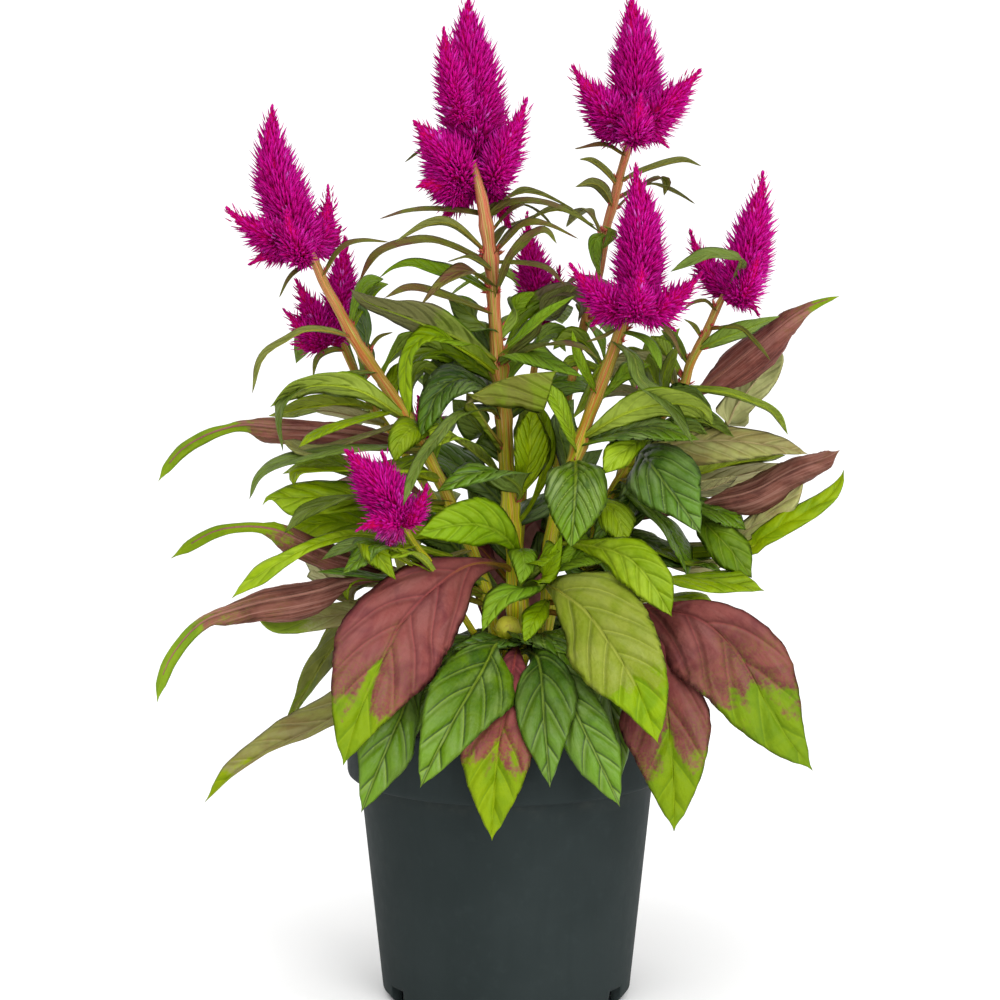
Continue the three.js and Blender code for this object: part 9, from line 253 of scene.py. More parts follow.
    ["leaf_back_left_olive","main","O",1,[[4.33,-2.29,160.12],[-14.45,4.07,167.57],[-31.41,9.65,172.65],[-47.8,14.64,166.95],[-63.59,19.01,151.99],[-78.5,22.67,130.86],[-92.95,25.77,104.26]],[[0.34,-0.08,0.94],[0.33,-0.02,0.95],[0.02,0.14,0.99],[-0.44,0.33,0.84],[-0.64,0.44,0.64],[-0.7,0.5,0.5],[-0.71,0.55,0.45]],[[0.95,1],[2.14,2.2],[11.56,11.6],[19.3,19.24],[18.25,18.23],[9.96,9.97],[0.29,0.28]],[0.17,0.17,0.17,0.17,0.17,0.17,0.17],[-0.35,-0.35,-0.35,-0.35,-0.35,-0.35,-0.35]],
    ["leaf_back_low_left","main","D",1,[[3.87,-1.7,143.94],[0.34,8.86,146.18],[-3.05,18.65,148.02],[-6.28,28.01,146.54],[-9.35,37.07,140.34],[-12.23,45.81,129.57],[-14.79,53.9,114.35]],[[0.03,-0.2,0.98],[0.02,-0.19,0.98],[-0.06,0,0.98],[-0.18,0.3,0.9],[-0.31,0.6,0.73],[-0.38,0.74,0.56],[-0.41,0.79,0.45]],[[1.02,0.99],[1.55,1.44],[9.31,9.32],[16.41,16.3],[13.69,13.69],[7.25,7.28],[0.36,0.36]],[0.17,0.17,0.17,0.17,0.17,0.17,0.17],[-0.35,-0.35,-0.35,-0.35,-0.35,-0.35,-0.35]],
    ["leaf_back_low_right","main","D",1,[[3.88,-1.68,146.28],[7.23,8.19,149.16],[10.34,17.4,151.27],[13.41,26.14,150.76],[16.6,34.57,146.05],[19.94,42.5,135.82],[23.34,49.89,122.48]],[[-0.14,-0.23,0.96],[-0.16,-0.2,0.97],[-0.12,0,0.98],[-0.04,0.31,0.92],[0.06,0.66,0.75],[0.09,0.8,0.58],[0.09,0.88,0.47]],[[0.95,0.9],[1.63,1.55],[9.14,9.08],[15.85,15.89],[12.58,12.55],[7.87,7.92],[0.26,0.35]],[0.17,0.17,0.17,0.17,0.17,0.17,0.17],[-0.35,-0.35,-0.35,-0.35,-0.35,-0.35,-0.35]],
    ["leaf_back_low_side","main","D",0,[[3.96,-1.9,141.03],[17.36,7.45,145.37],[29.16,15.51,146.91],[40.53,23.15,137.51],[51.01,30.03,121.08],[61.03,36.46,98.97]],[[-0.21,-0.14,0.97],[-0.13,-0.14,0.98],[0.27,0.09,0.96],[0.65,0.29,0.71],[0.78,0.33,0.53],[0.83,0.3,0.46]],[[0.95,1.02],[1.91,1.96],[12.21,12.18],[13.02,12.99],[8.31,8.26],[0.36,0.27]],[0.17,0.17,0.17,0.17,0.17,0.17],[-0.35,-0.35,-0.35,-0.35,-0.35,-0.35]],
    ["leaf_left_low_side","main","D",0,[[3.89,-1.38,143.26],[-14.84,-2.6,148.51],[-31.87,-3.54,150.25],[-48.18,-4.68,142.31],[-63.37,-6.01,128.37],[-77.92,-7.55,109.61]],[[0.27,0.06,0.96],[0.19,-0.01,0.98],[-0.18,-0.09,0.98],[-0.55,-0.17,0.82],[-0.71,-0.23,0.67],[-0.75,-0.29,0.6]],[[0.91,1],[2.1,2.05],[11.73,11.71],[13.72,13.65],[8.16,8.26],[0.3,0.31]],[0.17,0.17,0.17,0.17,0.17,0.17],[-0.35,-0.35,-0.35,-0.35,-0.35,-0.35]],
    ["b1","back_left","H",0,[[-27.99,52.09,213.32],[-38.41,60.87,228.68],[-47.98,68.71,236.84],[-57.22,76.15,232.69],[-65.97,83.05,224.29],[-74.45,89.6,212.98]],[[-0.69,0.32,-0.65],[0.51,-0.44,0.74],[0.09,-0.15,0.98],[-0.44,0.22,0.87],[-0.61,0.3,0.74],[-0.67,0.3,0.68]],[[0.98,1],[1.91,2],[10.81,10.82],[12.89,12.79],[8.25,8.36],[0.32,0.29]],[0.17,0.17,0.17,0.17,0.17,0.17],[-0.35,-0.35,-0.35,-0.35,-0.35,-0.35]],
    ["b2","back_left","D",0,[[-25.83,50.67,208.41],[-28.55,59.71,222.63],[-30.37,68.11,230.01],[-31.82,76.24,225.53],[-32.83,83.81,216.68],[-33.48,91.1,204.76]],[[-0.11,0.83,-0.55],[-0.36,0.69,-0.63],[0.06,-0.16,0.99],[-0.03,0.64,0.76],[0,0.81,0.58],[0.04,0.85,0.52]],[[0.93,0.99],[1.65,1.62],[10.07,10.09],[10.72,10.67],[7.4,7.36],[0.36,0.28]],[0.17,0.17,0.17,0.17,0.17,0.17],[-0.35,-0.35,-0.35,-0.35,-0.35,-0.35]],
    ["b3","back_left","G",0,[[-30.77,53.64,223.21],[-29.55,62.45,238.63],[-28.6,70,246.86],[-27.77,77.24,244.75],[-27.08,84.07,239.87],[-26.49,90.66,233.29]],[[0.12,0.86,-0.5],[0.14,0.81,-0.57],[0.01,-0.38,0.92],[0.11,0.43,0.89],[0.14,0.64,0.76],[0.16,0.69,0.71]],[[0.94,0.96],[1.47,1.42],[9.1,9.06],[10.01,9.97],[6.75,6.71],[0.36,0.26]],[0.17,0.17,0.17,0.17,0.17,0.17],[-0.35,-0.35,-0.35,-0.35,-0.35,-0.35]],
    ["b4","back_right","H",0,[[49.53,53.5,212.66],[57.65,61.84,227.35],[64.78,69.32,234.93],[71.79,76.34,230.9],[78.5,82.74,222.79],[85.11,88.72,211.88]],[[0.23,0.79,-0.57],[-0.74,-0.19,0.64],[-0.08,-0.17,0.98],[0.46,0.29,0.84],[0.63,0.38,0.68],[0.69,0.37,0.62]],[[0.9,0.91],[1.66,1.72],[10.27,10.32],[11.65,11.65],[6.92,6.94],[0.26,0.34]],[0.17,0.17,0.17,0.17,0.17,0.17],[-0.35,-0.35,-0.35,-0.35,-0.35,-0.35]],
    ["b5","back_right","D",0,[[45.88,49.93,203.5],[48.94,59.45,216.53],[51.53,67.7,223.3],[54.25,75.54,218.35],[57.03,82.65,208.79],[59.95,89.34,195.93]],[[-0.15,0.81,-0.56],[-0.9,-0.17,0.41],[-0.12,-0.07,0.99],[0.13,0.67,0.73],[0.17,0.82,0.55],[0.17,0.86,0.48]],[[0.97,1],[1.45,1.55],[9.1,9.04],[10.95,10.97],[6.41,6.43],[0.34,0.31]],[0.17,0.17,0.17,0.17,0.17,0.17],[-0.35,-0.35,-0.35,-0.35,-0.35,-0.35]],
    ["b6","back_right","G",0,[[55.66,57.14,229.94],[53.74,64.72,244.37],[52.14,71.55,252.54],[50.33,78.06,250.76],[48.34,84.14,246.45],[46.13,89.95,240.64]],[[-0.01,0.88,-0.47],[0.06,0.85,-0.53],[0.27,-0.36,0.89],[0.03,0.44,0.9],[-0.01,0.65,0.76],[0,0.71,0.71]],[[1.01,0.98],[1.28,1.3],[7.51,7.55],[8.82,8.78],[6.17,6.17],[0.28,0.33]],[0.17,0.17,0.17,0.17,0.17,0.17],[-0.35,-0.35,-0.35,-0.35,-0.35,-0.35]],
    ["b7","main","G",0,[[-2.44,-3.94,248.67],[-9.32,9.06,265.85],[-16.38,20.47,275.39],[-23.71,31.12,273.15],[-31.26,40.96,267.84],[-39.17,50.21,260.69]],[[-0.4,0.65,-0.65],[0.57,-0.44,0.7],[0.29,-0.13,0.95],[-0.01,0.34,0.94],[-0.08,0.5,0.86],[-0.09,0.56,0.82]],[[0.93,0.99],[1.69,1.67],[10.99,10.98],[11.34,11.29],[7.51,7.59],[0.34,0.27]],[0.17,0.17,0.17,0.17,0.17,0.17],[-0.35,-0.35,-0.35,-0.35,-0.35,-0.35]],
    ["b8","main","G",0,[[-2.87,-3.81,259.59],[3.99,8.74,275.17],[9.84,20.36,284.05],[15.01,31.76,282.14],[19.46,42.92,277.49],[23.32,54.02,271.23]],[[0.56,-0.75,0.35],[-0.1,-0.68,0.73],[-0.05,-0.27,0.96],[0.16,0.21,0.96],[0.21,0.36,0.91],[0.23,0.42,0.88]],[[0.95,0.98],[1.7,1.75],[10.55,10.54],[12.75,12.75],[7.92,7.93],[0.32,0.37]],[0.17,0.17,0.17,0.17,0.17,0.17],[-0.35,-0.35,-0.35,-0.35,-0.35,-0.35]],
    ["b9","back","G",0,[[14.34,43.69,270.45],[14.26,54.51,282.69],[14.2,64.22,289.51],[13.86,73.55,287.37],[13.23,82.4,282.65],[12.33,90.98,276.3]],[[0.95,0.23,-0.19],[0.36,-0.63,0.69],[0.19,-0.23,0.95],[0.23,0.35,0.91],[0.28,0.53,0.8],[0.33,0.58,0.74]],[[0.95,0.98],[1.2,1.21],[6.98,6.99],[7.56,7.56],[5.08,5.08],[0.26,0.34]],[0.17,0.17,0.17,0.17,0.17,0.17],[-0.35,-0.35,-0.35,-0.35,-0.35,-0.35]],
    ["b10","back","G",0,[[14.97,43.9,276.4],[6.26,52.23,287.15],[-1.6,59.29,293.18],[-9.43,65.78,291.02],[-17.17,71.64,286.37],[-24.96,77.02,280.11]],[[0.57,-0.36,0.74],[0.48,-0.36,0.8],[0.11,-0.15,0.98],[-0.31,0.13,0.94],[-0.47,0.18,0.86],[-0.54,0.17,0.82]],[[0.96,1.01],[1.09,1.05],[6.31,6.27],[6.66,6.64],[4.59,4.5],[0.31,0.36]],[0.17,0.17,0.17,0.17,0.17,0.17],[-0.35,-0.35,-0.35,-0.35,-0.35,-0.35]],
    ["b11","back","T",0,[[14.74,43.76,276.35],[23.44,51.35,285.92],[31.12,57.98,291.24],[38.42,64.42,289.02],[45.28,70.62,284.37],[51.85,76.71,278.11]],[[-0.42,-0.48,0.77],[-0.41,-0.39,0.82],[-0.14,-0.08,0.99],[0.22,0.27,0.94],[0.33,0.4,0.86],[0.36,0.45,0.82]],[[0.98,0.97],[1.01,1.01],[3.65,3.65],[3.95,3.88],[2.36,2.39],[0.34,0.25]],[0.17,0.17,0.17,0.17,0.17,0.17],[-0.35,-0.35,-0.35,-0.35,-0.35,-0.35]],
    ["b12","left_back","G",0,[[-59.51,25.7,248.94],[-65.7,36.98,263.17],[-71.63,46.68,271.18],[-77.49,55.88,268.03],[-83.21,64.45,261.39],[-88.92,72.61,252.46]],[[-0.8,-0.59,0.12],[0.31,-0.6,0.74],[0.08,-0.2,0.98],[-0.29,0.31,0.91],[-0.43,0.44,0.79],[-0.49,0.47,0.74]],[[0.91,1.02],[1.62,1.6],[9.9,9.94],[10.75,10.78],[7.02,6.99],[0.29,0.28]],[0.17,0.17,0.17,0.17,0.17,0.17],[-0.35,-0.35,-0.35,-0.35,-0.35,-0.35]],
    ["b13","left_back","T",0,[[-68.75,26.37,271.11],[-69.98,37.33,280.46],[-70.77,47.45,285.68],[-71.45,57.16,282.67],[-72.02,66.32,276.7],[-72.49,75.16,268.66]],[[0.19,-0.62,0.76],[0.12,-0.56,0.82],[0.08,-0.1,0.99],[0.08,0.43,0.9],[0.11,0.61,0.78],[0.15,0.67,0.73]],[[0.98,0.97],[1.01,1.01],[3.37,3.36],[3.88,3.81],[2.53,2.56],[0.34,0.25]],[0.17,0.17,0.17,0.17,0.17,0.17],[-0.35,-0.35,-0.35,-0.35,-0.35,-0.35]],
    ["b14","right_tall","G",0,[[28.41,20.07,258.42],[32.4,31.7,272.17],[35.76,42.57,279.57],[38.6,53.14,277.14],[40.91,63.31,271.83],[42.75,73.29,264.68]],[[0.98,-0.14,-0.17],[0,-0.69,0.73],[0.04,-0.24,0.97],[0.2,0.3,0.93],[0.26,0.47,0.84],[0.29,0.52,0.8]],[[0.91,1.02],[1.34,1.32],[7.44,7.49],[8.65,8.69],[5.56,5.53],[0.29,0.28]],[0.17,0.17,0.17,0.17,0.17,0.17],[-0.35,-0.35,-0.35,-0.35,-0.35,-0.35]],
    ["b15","right_tall","T",0,[[39.61,20.63,309.66],[36.36,29.73,316.44],[33.31,38.12,320.45],[30.39,46.17,318.87],[27.62,53.85,315.55],[24.93,61.31,311.09]],[[0.18,-0.55,0.82],[0.19,-0.47,0.86],[0.1,-0.11,0.99],[-0.02,0.29,0.96],[-0.05,0.44,0.9],[-0.04,0.5,0.86]],[[0.94,1.01],[0.91,1.02],[2.73,2.76],[3.6,3.6],[1.98,2.01],[0.31,0.26]],[0.17,0.17,0.17,0.17,0.17,0.17],[-0.35,-0.35,-0.35,-0.35,-0.35,-0.35]],
    ["b16","right_tall","T",0,[[42.02,19.64,319.69],[50.45,24.18,327.63],[57.79,28.52,331.63],[64.8,32.73,330.06],[71.45,36.8,326.74],[77.86,40.8,322.27]],[[-0.62,-0.18,0.76],[-0.51,-0.2,0.83],[-0.16,-0.01,0.99],[0.19,0.25,0.95],[0.3,0.37,0.88],[0.32,0.43,0.84]],[[1.02,0.95],[0.9,0.99],[2.64,2.64],[3.39,3.37],[1.92,1.96],[0.34,0.3]],[0.17,0.17,0.17,0.17,0.17,0.17],[-0.35,-0.35,-0.35,-0.35,-0.35,-0.35]],
    ["b17","right","H",0,[[52.35,11.34,222.77],[59.09,23.71,237.32],[65.71,34.44,245.28],[72.57,44.46,241.74],[79.58,53.63,234.44],[86.88,62.19,224.61]],[[-0.5,-0.53,0.68],[-0.47,-0.46,0.75],[-0.18,-0.09,0.98],[0.16,0.4,0.9],[0.27,0.55,0.79],[0.3,0.6,0.74]],[[0.92,0.97],[1.71,1.7],[10.03,9.98],[11.3,11.37],[6.53,6.55],[0.31,0.37]],[0.17,0.17,0.17,0.17,0.17,0.17],[-0.35,-0.35,-0.35,-0.35,-0.35,-0.35]],
    ["b18","back_left","M",0,[[-20.12,41.33,189.21],[-37.67,52.06,201.21],[-53.41,62.13,207.28],[-68.21,72.31,200.11],[-81.74,82.42,186.83],[-94.42,92.69,168.96]],[[0.4,-0.31,0.86],[0.33,-0.26,0.91],[-0.04,0,1],[-0.43,0.28,0.86],[-0.56,0.39,0.73],[-0.59,0.44,0.67]],[[1,0.91],[2.41,2.4],[14.2,14.17],[17.49,17.51],[10.59,10.66],[0.33,0.29]],[0.17,0.17,0.17,0.17,0.17,0.17],[-0.35,-0.35,-0.35,-0.35,-0.35,-0.35]],
    ["b19","back_right","M",0,[[39.47,43.19,186.67],[51.86,52.74,198.44],[62.6,61.78,204.65],[72.67,70.73,198.57],[81.81,79.38,187.16],[90.34,87.98,171.79]],[[-0.49,-0.35,0.8],[-0.37,-0.36,0.85],[0.05,-0.06,1],[0.48,0.3,0.83],[0.62,0.41,0.67],[0.66,0.43,0.61]],[[0.98,0.91],[2.29,2.18],[12.81,12.92],[13.98,13.92],[9.06,9.05],[0.32,0.36]],[0.17,0.17,0.17,0.17,0.17,0.17],[-0.35,-0.35,-0.35,-0.35,-0.35,-0.35]],
    ["b20","main","T",0,[[-9.68,-7.37,326.45],[-8,2.46,333.35],[-6.96,11.34,337.3],[-6.33,19.92,335.34],[-6.11,28.15,331.36],[-6.27,36.18,325.99]],[[-0.08,-0.56,0.82],[0.02,-0.5,0.86],[0.12,-0.12,0.98],[0.19,0.32,0.93],[0.23,0.48,0.84],[0.26,0.54,0.8]],[[0.94,1.01],[0.91,1.02],[2.57,2.6],[3.09,3.09],[1.79,1.82],[0.31,0.26]],[0.17,0.17,0.17,0.17,0.17,0.17],[-0.35,-0.35,-0.35,-0.35,-0.35,-0.35]],
    ["b21","main","T",0,[[-12.2,-8.87,338.32],[-18.56,-1.83,346.02],[-24.34,4.45,350.03],[-30.08,10.3,348.45],[-35.78,15.69,345.14],[-41.52,20.74,340.67]],[[0.53,-0.36,0.77],[0.43,-0.35,0.84],[0.11,-0.09,0.99],[-0.21,0.21,0.96],[-0.33,0.3,0.89],[-0.39,0.33,0.86]],[[1.02,0.95],[0.9,0.99],[2.82,2.82],[3.05,3.04],[1.95,1.98],[0.34,0.3]],[0.17,0.17,0.17,0.17,0.17,0.17],[-0.35,-0.35,-0.35,-0.35,-0.35,-0.35]],
    ["b22","main","T",0,[[-7.33,-5.39,312.86],[-0.78,2.65,320.71],[5.06,9.95,324.67],[10.38,17.21,322.7],[15.14,24.38,318.72],[19.45,31.61,313.36]],[[-0.24,-0.57,0.79],[-0.2,-0.49,0.85],[0.06,-0.18,0.98],[0.35,0.14,0.93],[0.47,0.25,0.84],[0.54,0.27,0.8]],[[0.9,0.99],[1.02,0.93],[2.71,2.66],[3.04,3.05],[1.83,1.86],[0.35,0.25]],[0.17,0.17,0.17,0.17,0.17,0.17],[-0.35,-0.35,-0.35,-0.35,-0.35,-0.35]],
    ["b23","back_right","O",0,[[37.74,40.16,180.78],[38.09,52.07,193.61],[39.09,62.41,199.84],[40.51,72.31,192.42],[42.32,81.26,178.68],[44.54,89.69,160.18]],[[0.21,-0.72,0.66],[-0.13,-0.64,0.76],[0.02,0.06,1],[0.16,0.72,0.67],[0.23,0.84,0.48],[0.28,0.86,0.43]],[[0.95,0.99],[1.85,1.79],[10.8,10.79],[13.37,13.43],[8.54,8.6],[0.34,0.28]],[0.17,0.17,0.17,0.17,0.17,0.17],[-0.35,-0.35,-0.35,-0.35,-0.35,-0.35]],
    ["b24","back_left","O",0,[[-16.45,36.75,180.71],[-23.3,48.66,193.65],[-29.26,59.17,200.37],[-35.17,69.14,192.85],[-40.81,78.13,178.87],[-46.39,86.55,160.05]],[[0.56,-0.44,0.7],[0.41,-0.46,0.79],[0.04,0.06,1],[-0.28,0.64,0.72],[-0.35,0.77,0.53],[-0.35,0.81,0.47]],[[0.99,1.01],[1.97,1.98],[12.48,12.44],[14.26,14.26],[9.35,9.41],[0.25,0.26]],[0.17,0.17,0.17,0.17,0.17,0.17],[-0.35,-0.35,-0.35,-0.35,-0.35,-0.35]]
]


# ------------------------------------------------------------------ small maths
def catmull(rows, t):
    rows = np.asarray(rows, float)
    t = np.atleast_1d(np.asarray(t, float))
    n = len(rows) - 1
    x = np.clip(t, 0, 1) * n
    i = np.minimum(x.astype(int), n - 1)
    s = (x - i)[:, None]
    e = np.vstack([2 * rows[0] - rows[1], rows, 2 * rows[-1] - rows[-2]])
    a, b, c, d = e[i], e[i + 1], e[i + 2], e[i + 3]
    return 0.5 * (2 * b + (c - a) * s + (2 * a - 5 * b + 4 * c - d) * s ** 2 + (3 * b - a - 3 * c + d) * s ** 3)


def linear(rows, t):
    rows = np.asarray(rows, float)
    if rows.ndim == 1:
        rows = rows[:, None]
    x = np.clip(np.atleast_1d(t), 0, 1) * (len(rows) - 1)
    i = np.minimum(x.astype(int), len(rows) - 2)
    s = (x - i)[:, None]
    return rows[i] * (1 - s) + rows[i + 1] * s


def pchip(y, t):
    """Smooth curve through evenly spaced values that never overshoots them."""
    y = np.asarray(y, float)
    n = len(y) - 1
    d = np.diff(y)
    m = np.zeros(n + 1)
    for k in range(1, n):
        if d[k - 1] * d[k] > 0:
            m[k] = 2 * d[k - 1] * d[k] / (d[k - 1] + d[k])
    m[0], m[-1] = d[0], d[-1]
    x = np.clip(np.atleast_1d(t), 0, 1) * n
    i = np.minimum(x.astype(int), n - 1)
    s = x - i
    return ((1 + 2 * s) * (1 - s) ** 2 * y[i] + s * (1 - s) ** 2 * m[i]
            + s * s * (3 - 2 * s) * y[i + 1] + s * s * (s - 1) * m[i + 1])


def unit(v):
    v = np.asarray(v, float)
    return v / np.maximum(np.linalg.norm(v, axis=-1, keepdims=True), 1e-9)


def even(points, n, ends=0.0):
    """Parameters t that step evenly along the curve, closer together near its end."""
    t = np.linspace(0, 1, 241)
    p = catmull(points, t)
    s = np.concatenate([[0], np.cumsum(np.linalg.norm(np.diff(p, axis=0), axis=1))])
    u = np.linspace(0, 1, n)
    u = u + ends * np.sin(np.pi * u) * u * (1 - u) * 1.2
    return np.interp(u * s[-1], s, t), u * s[-1], s[-1]


# ------------------------------------------------------------------ mesh builder
class Build:
    def __init__(self):
        self.v, self.f, self.n = [], [], 0
        self.a = {"la": [], "lb": [], "lc": []}

    def add(self, verts, faces, mat=0, smooth=True, **attrs):
        verts = np.asarray(verts, float)
        for fs in faces if isinstance(faces, list) else [faces]:
            fs = np.asarray(fs, int)
            if len(fs):
                self.f.append((fs + self.n, mat, smooth))
        self.v.append(verts)
        for k in self.a:
            self.a[k].append(np.asarray(attrs[k], float) if k in attrs else np.zeros((len(verts), 3)))
        self.n += len(verts)

    def object(self, name, mats, node=None, slot=None):
        v = np.vstack(self.v) * MM
        me = bpy.data.meshes.new(name)
        me.vertices.add(len(v))
        me.vertices.foreach_set("co", v.astype(np.float32).ravel())
        loops = np.concatenate([f.ravel() for f, _, _ in self.f])
        size = np.concatenate([np.full(len(f), f.shape[1]) for f, _, _ in self.f])
        me.loops.add(len(loops))
        me.loops.foreach_set("vertex_index", loops.astype(np.int32))
        me.polygons.add(len(size))
        me.polygons.foreach_set("loop_start", (np.cumsum(size) - size).astype(np.int32))
        me.polygons.foreach_set("material_index", np.concatenate([np.full(len(f), m) for f, m, _ in self.f]).astype(np.int32))
        me.polygons.foreach_set("use_smooth", np.concatenate([np.full(len(f), s) for f, _, s in self.f]).astype(bool))
        me.update(calc_edges=True)
        for k, rows in self.a.items():
            a = me.attributes.new(k, "FLOAT_VECTOR", "POINT")
            a.data.foreach_set("vector", np.vstack(rows).astype(np.float32).ravel())
        for m in mats:
            me.materials.append(m)
        me.validate()
        o = bpy.data.objects.new(name, me)
        bpy.context.scene.collection.objects.link(o)
        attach(o, "root")
        if node:
            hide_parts(node)
        return o


def grid_faces(n, k, base=0, flip=False, ring=False):
    """Quads of an n by k grid of vertices; ring closes it across k."""
    i, j = np.meshgrid(np.arange(n - 1), np.arange(k if ring else k - 1), indexing="ij")
    a = i * k + j
    b = i * k + (j + 1) % k
    q = np.stack([a, b, b + k, a + k], -1).reshape(-1, 4) + base
    return q[:, ::-1] if flip else q


def tube(build, pts, radius, sides, mat, u=None, ridges=None, a0=0.0, smooth=True, **attrs):
    """Closed round tube through points that already lie close together."""
    pts = np.asarray(pts, float)
    n = len(pts)
    t = unit(np.gradient(pts, axis=0))
    side = np.array([1.0, 0, 0]) if abs(t[0][0]) < 0.9 else np.array([0, 1.0, 0])
    rows = []
    ang = np.linspace(0, 2 * np.pi, sides, endpoint=False) + a0
    for k in range(n):
        side = unit(side - t[k] * (side @ t[k]))
        other = np.cross(t[k], side)
        r = radius[k] * (ridges(ang, k) if ridges else 1.0) * np.ones(sides)
        rows.append(pts[k] + side * (r * np.cos(ang))[:, None] + other * (r * np.sin(ang))[:, None])
    v = np.vstack(rows + [pts[:1], pts[-1:]])
    q = grid_faces(n, sides, ring=True)
    j = np.arange(sides)
    c0, c1 = n * sides, n * sides + 1
    cap0 = np.stack([np.full(sides, c0), (j + 1) % sides, j], -1)
    e = (n - 1) * sides
    cap1 = np.stack([np.full(sides, c1), e + j, e + (j + 1) % sides], -1)
    la = np.zeros((len(v), 3))
    la[:-2, 0] = np.tile(np.cos(ang), n)
    la[:-2, 1] = np.tile(np.sin(ang), n)
    la[:-2, 2] = np.repeat(np.arange(n) / max(1, n - 1) if u is None else u, sides)
    la[-1, 2] = 1
    for k in ("lb", "lc"):
        if k in attrs:
            row = np.asarray(attrs[k], float)
            attrs[k] = np.tile(row, (len(v), 1)) if row.ndim == 1 else np.vstack([np.repeat(row, sides, axis=0), row[:1], row[-1:]])
    build.add(v, [q, cap0, cap1], mat, smooth, la=la, **attrs)


# ------------------------------------------------------------------ leaves
# where the lime tip starts along each leaf, and its slant across the leaf
LIME = {
    "leaf_front_left_maroon": (0.85, 0.0, 2.2),
    "leaf_front_right_maroon": (0.78, 0.6, 0.8),
    "leaf_front_centre_maroon": (0.77, 0.0, 0.9),
    "leaf_lower_right_maroon": (0.82, -0.2, 1.6),
    "leaf_front_right_olive": (0.80, 0.3, 0.0),
    "leaf_back_centre_maroon": (0.80, 0.2, 0.5),
    "leaf_back_left_maroon": (0.82, 0.0, 0.5),
    "leaf_back_right_maroon": (0.80, -0.2, 0.3),
    "leaf_back_right_olive": (0.86, 0.0, 0.0),
    "leaf_back_left_olive": (0.86, 0.0, 0.0),
    "leaf_rolled_upper_left": (0.66, 0.0, 0.3),
    "leaf_rolled_mid_left": (0.70, 0.0, 0.3),
    "leaf_rolled_low_left": (0.77, 0.0, 0.3),
    "leaf_rolled_upper_right": (0.84, 0.0, 0.2),
    "leaf_rolled_lower_right": (1.10, 0.0, 0.2),
    "leaf_low_left_olive": (0.90, 0.0, 0.3),
    "leaf_olive_left": (0.80, 0.0, 0.3),
    "leaf_right_pointed": (0.62, 0.0, 0.3),
    "leaf_upper_left_broad": (0.46, 0.9, 0.0),
    "t19": (0.42, 0.0, 0.0),
}
PITCH = {"H": 0.135, "W": 0.12, "B": 0.13, "M": 0.145, "O": 0.140, "D": 0.145, "G": 0.135, "L": 0.12, "K": 0.1, "T": 0.12, "R": 0.11, "P": 0.13, "Y": 0.12}
QUILT = {"H": 1.15, "W": 0.4, "B": 0.8, "M": 1.15, "O": 0.85, "D": 1.95, "G": 1.15, "L": 0.4, "K": 0.35, "T": 0.1, "R": 0.5, "P": 0.5, "Y": 0.5}


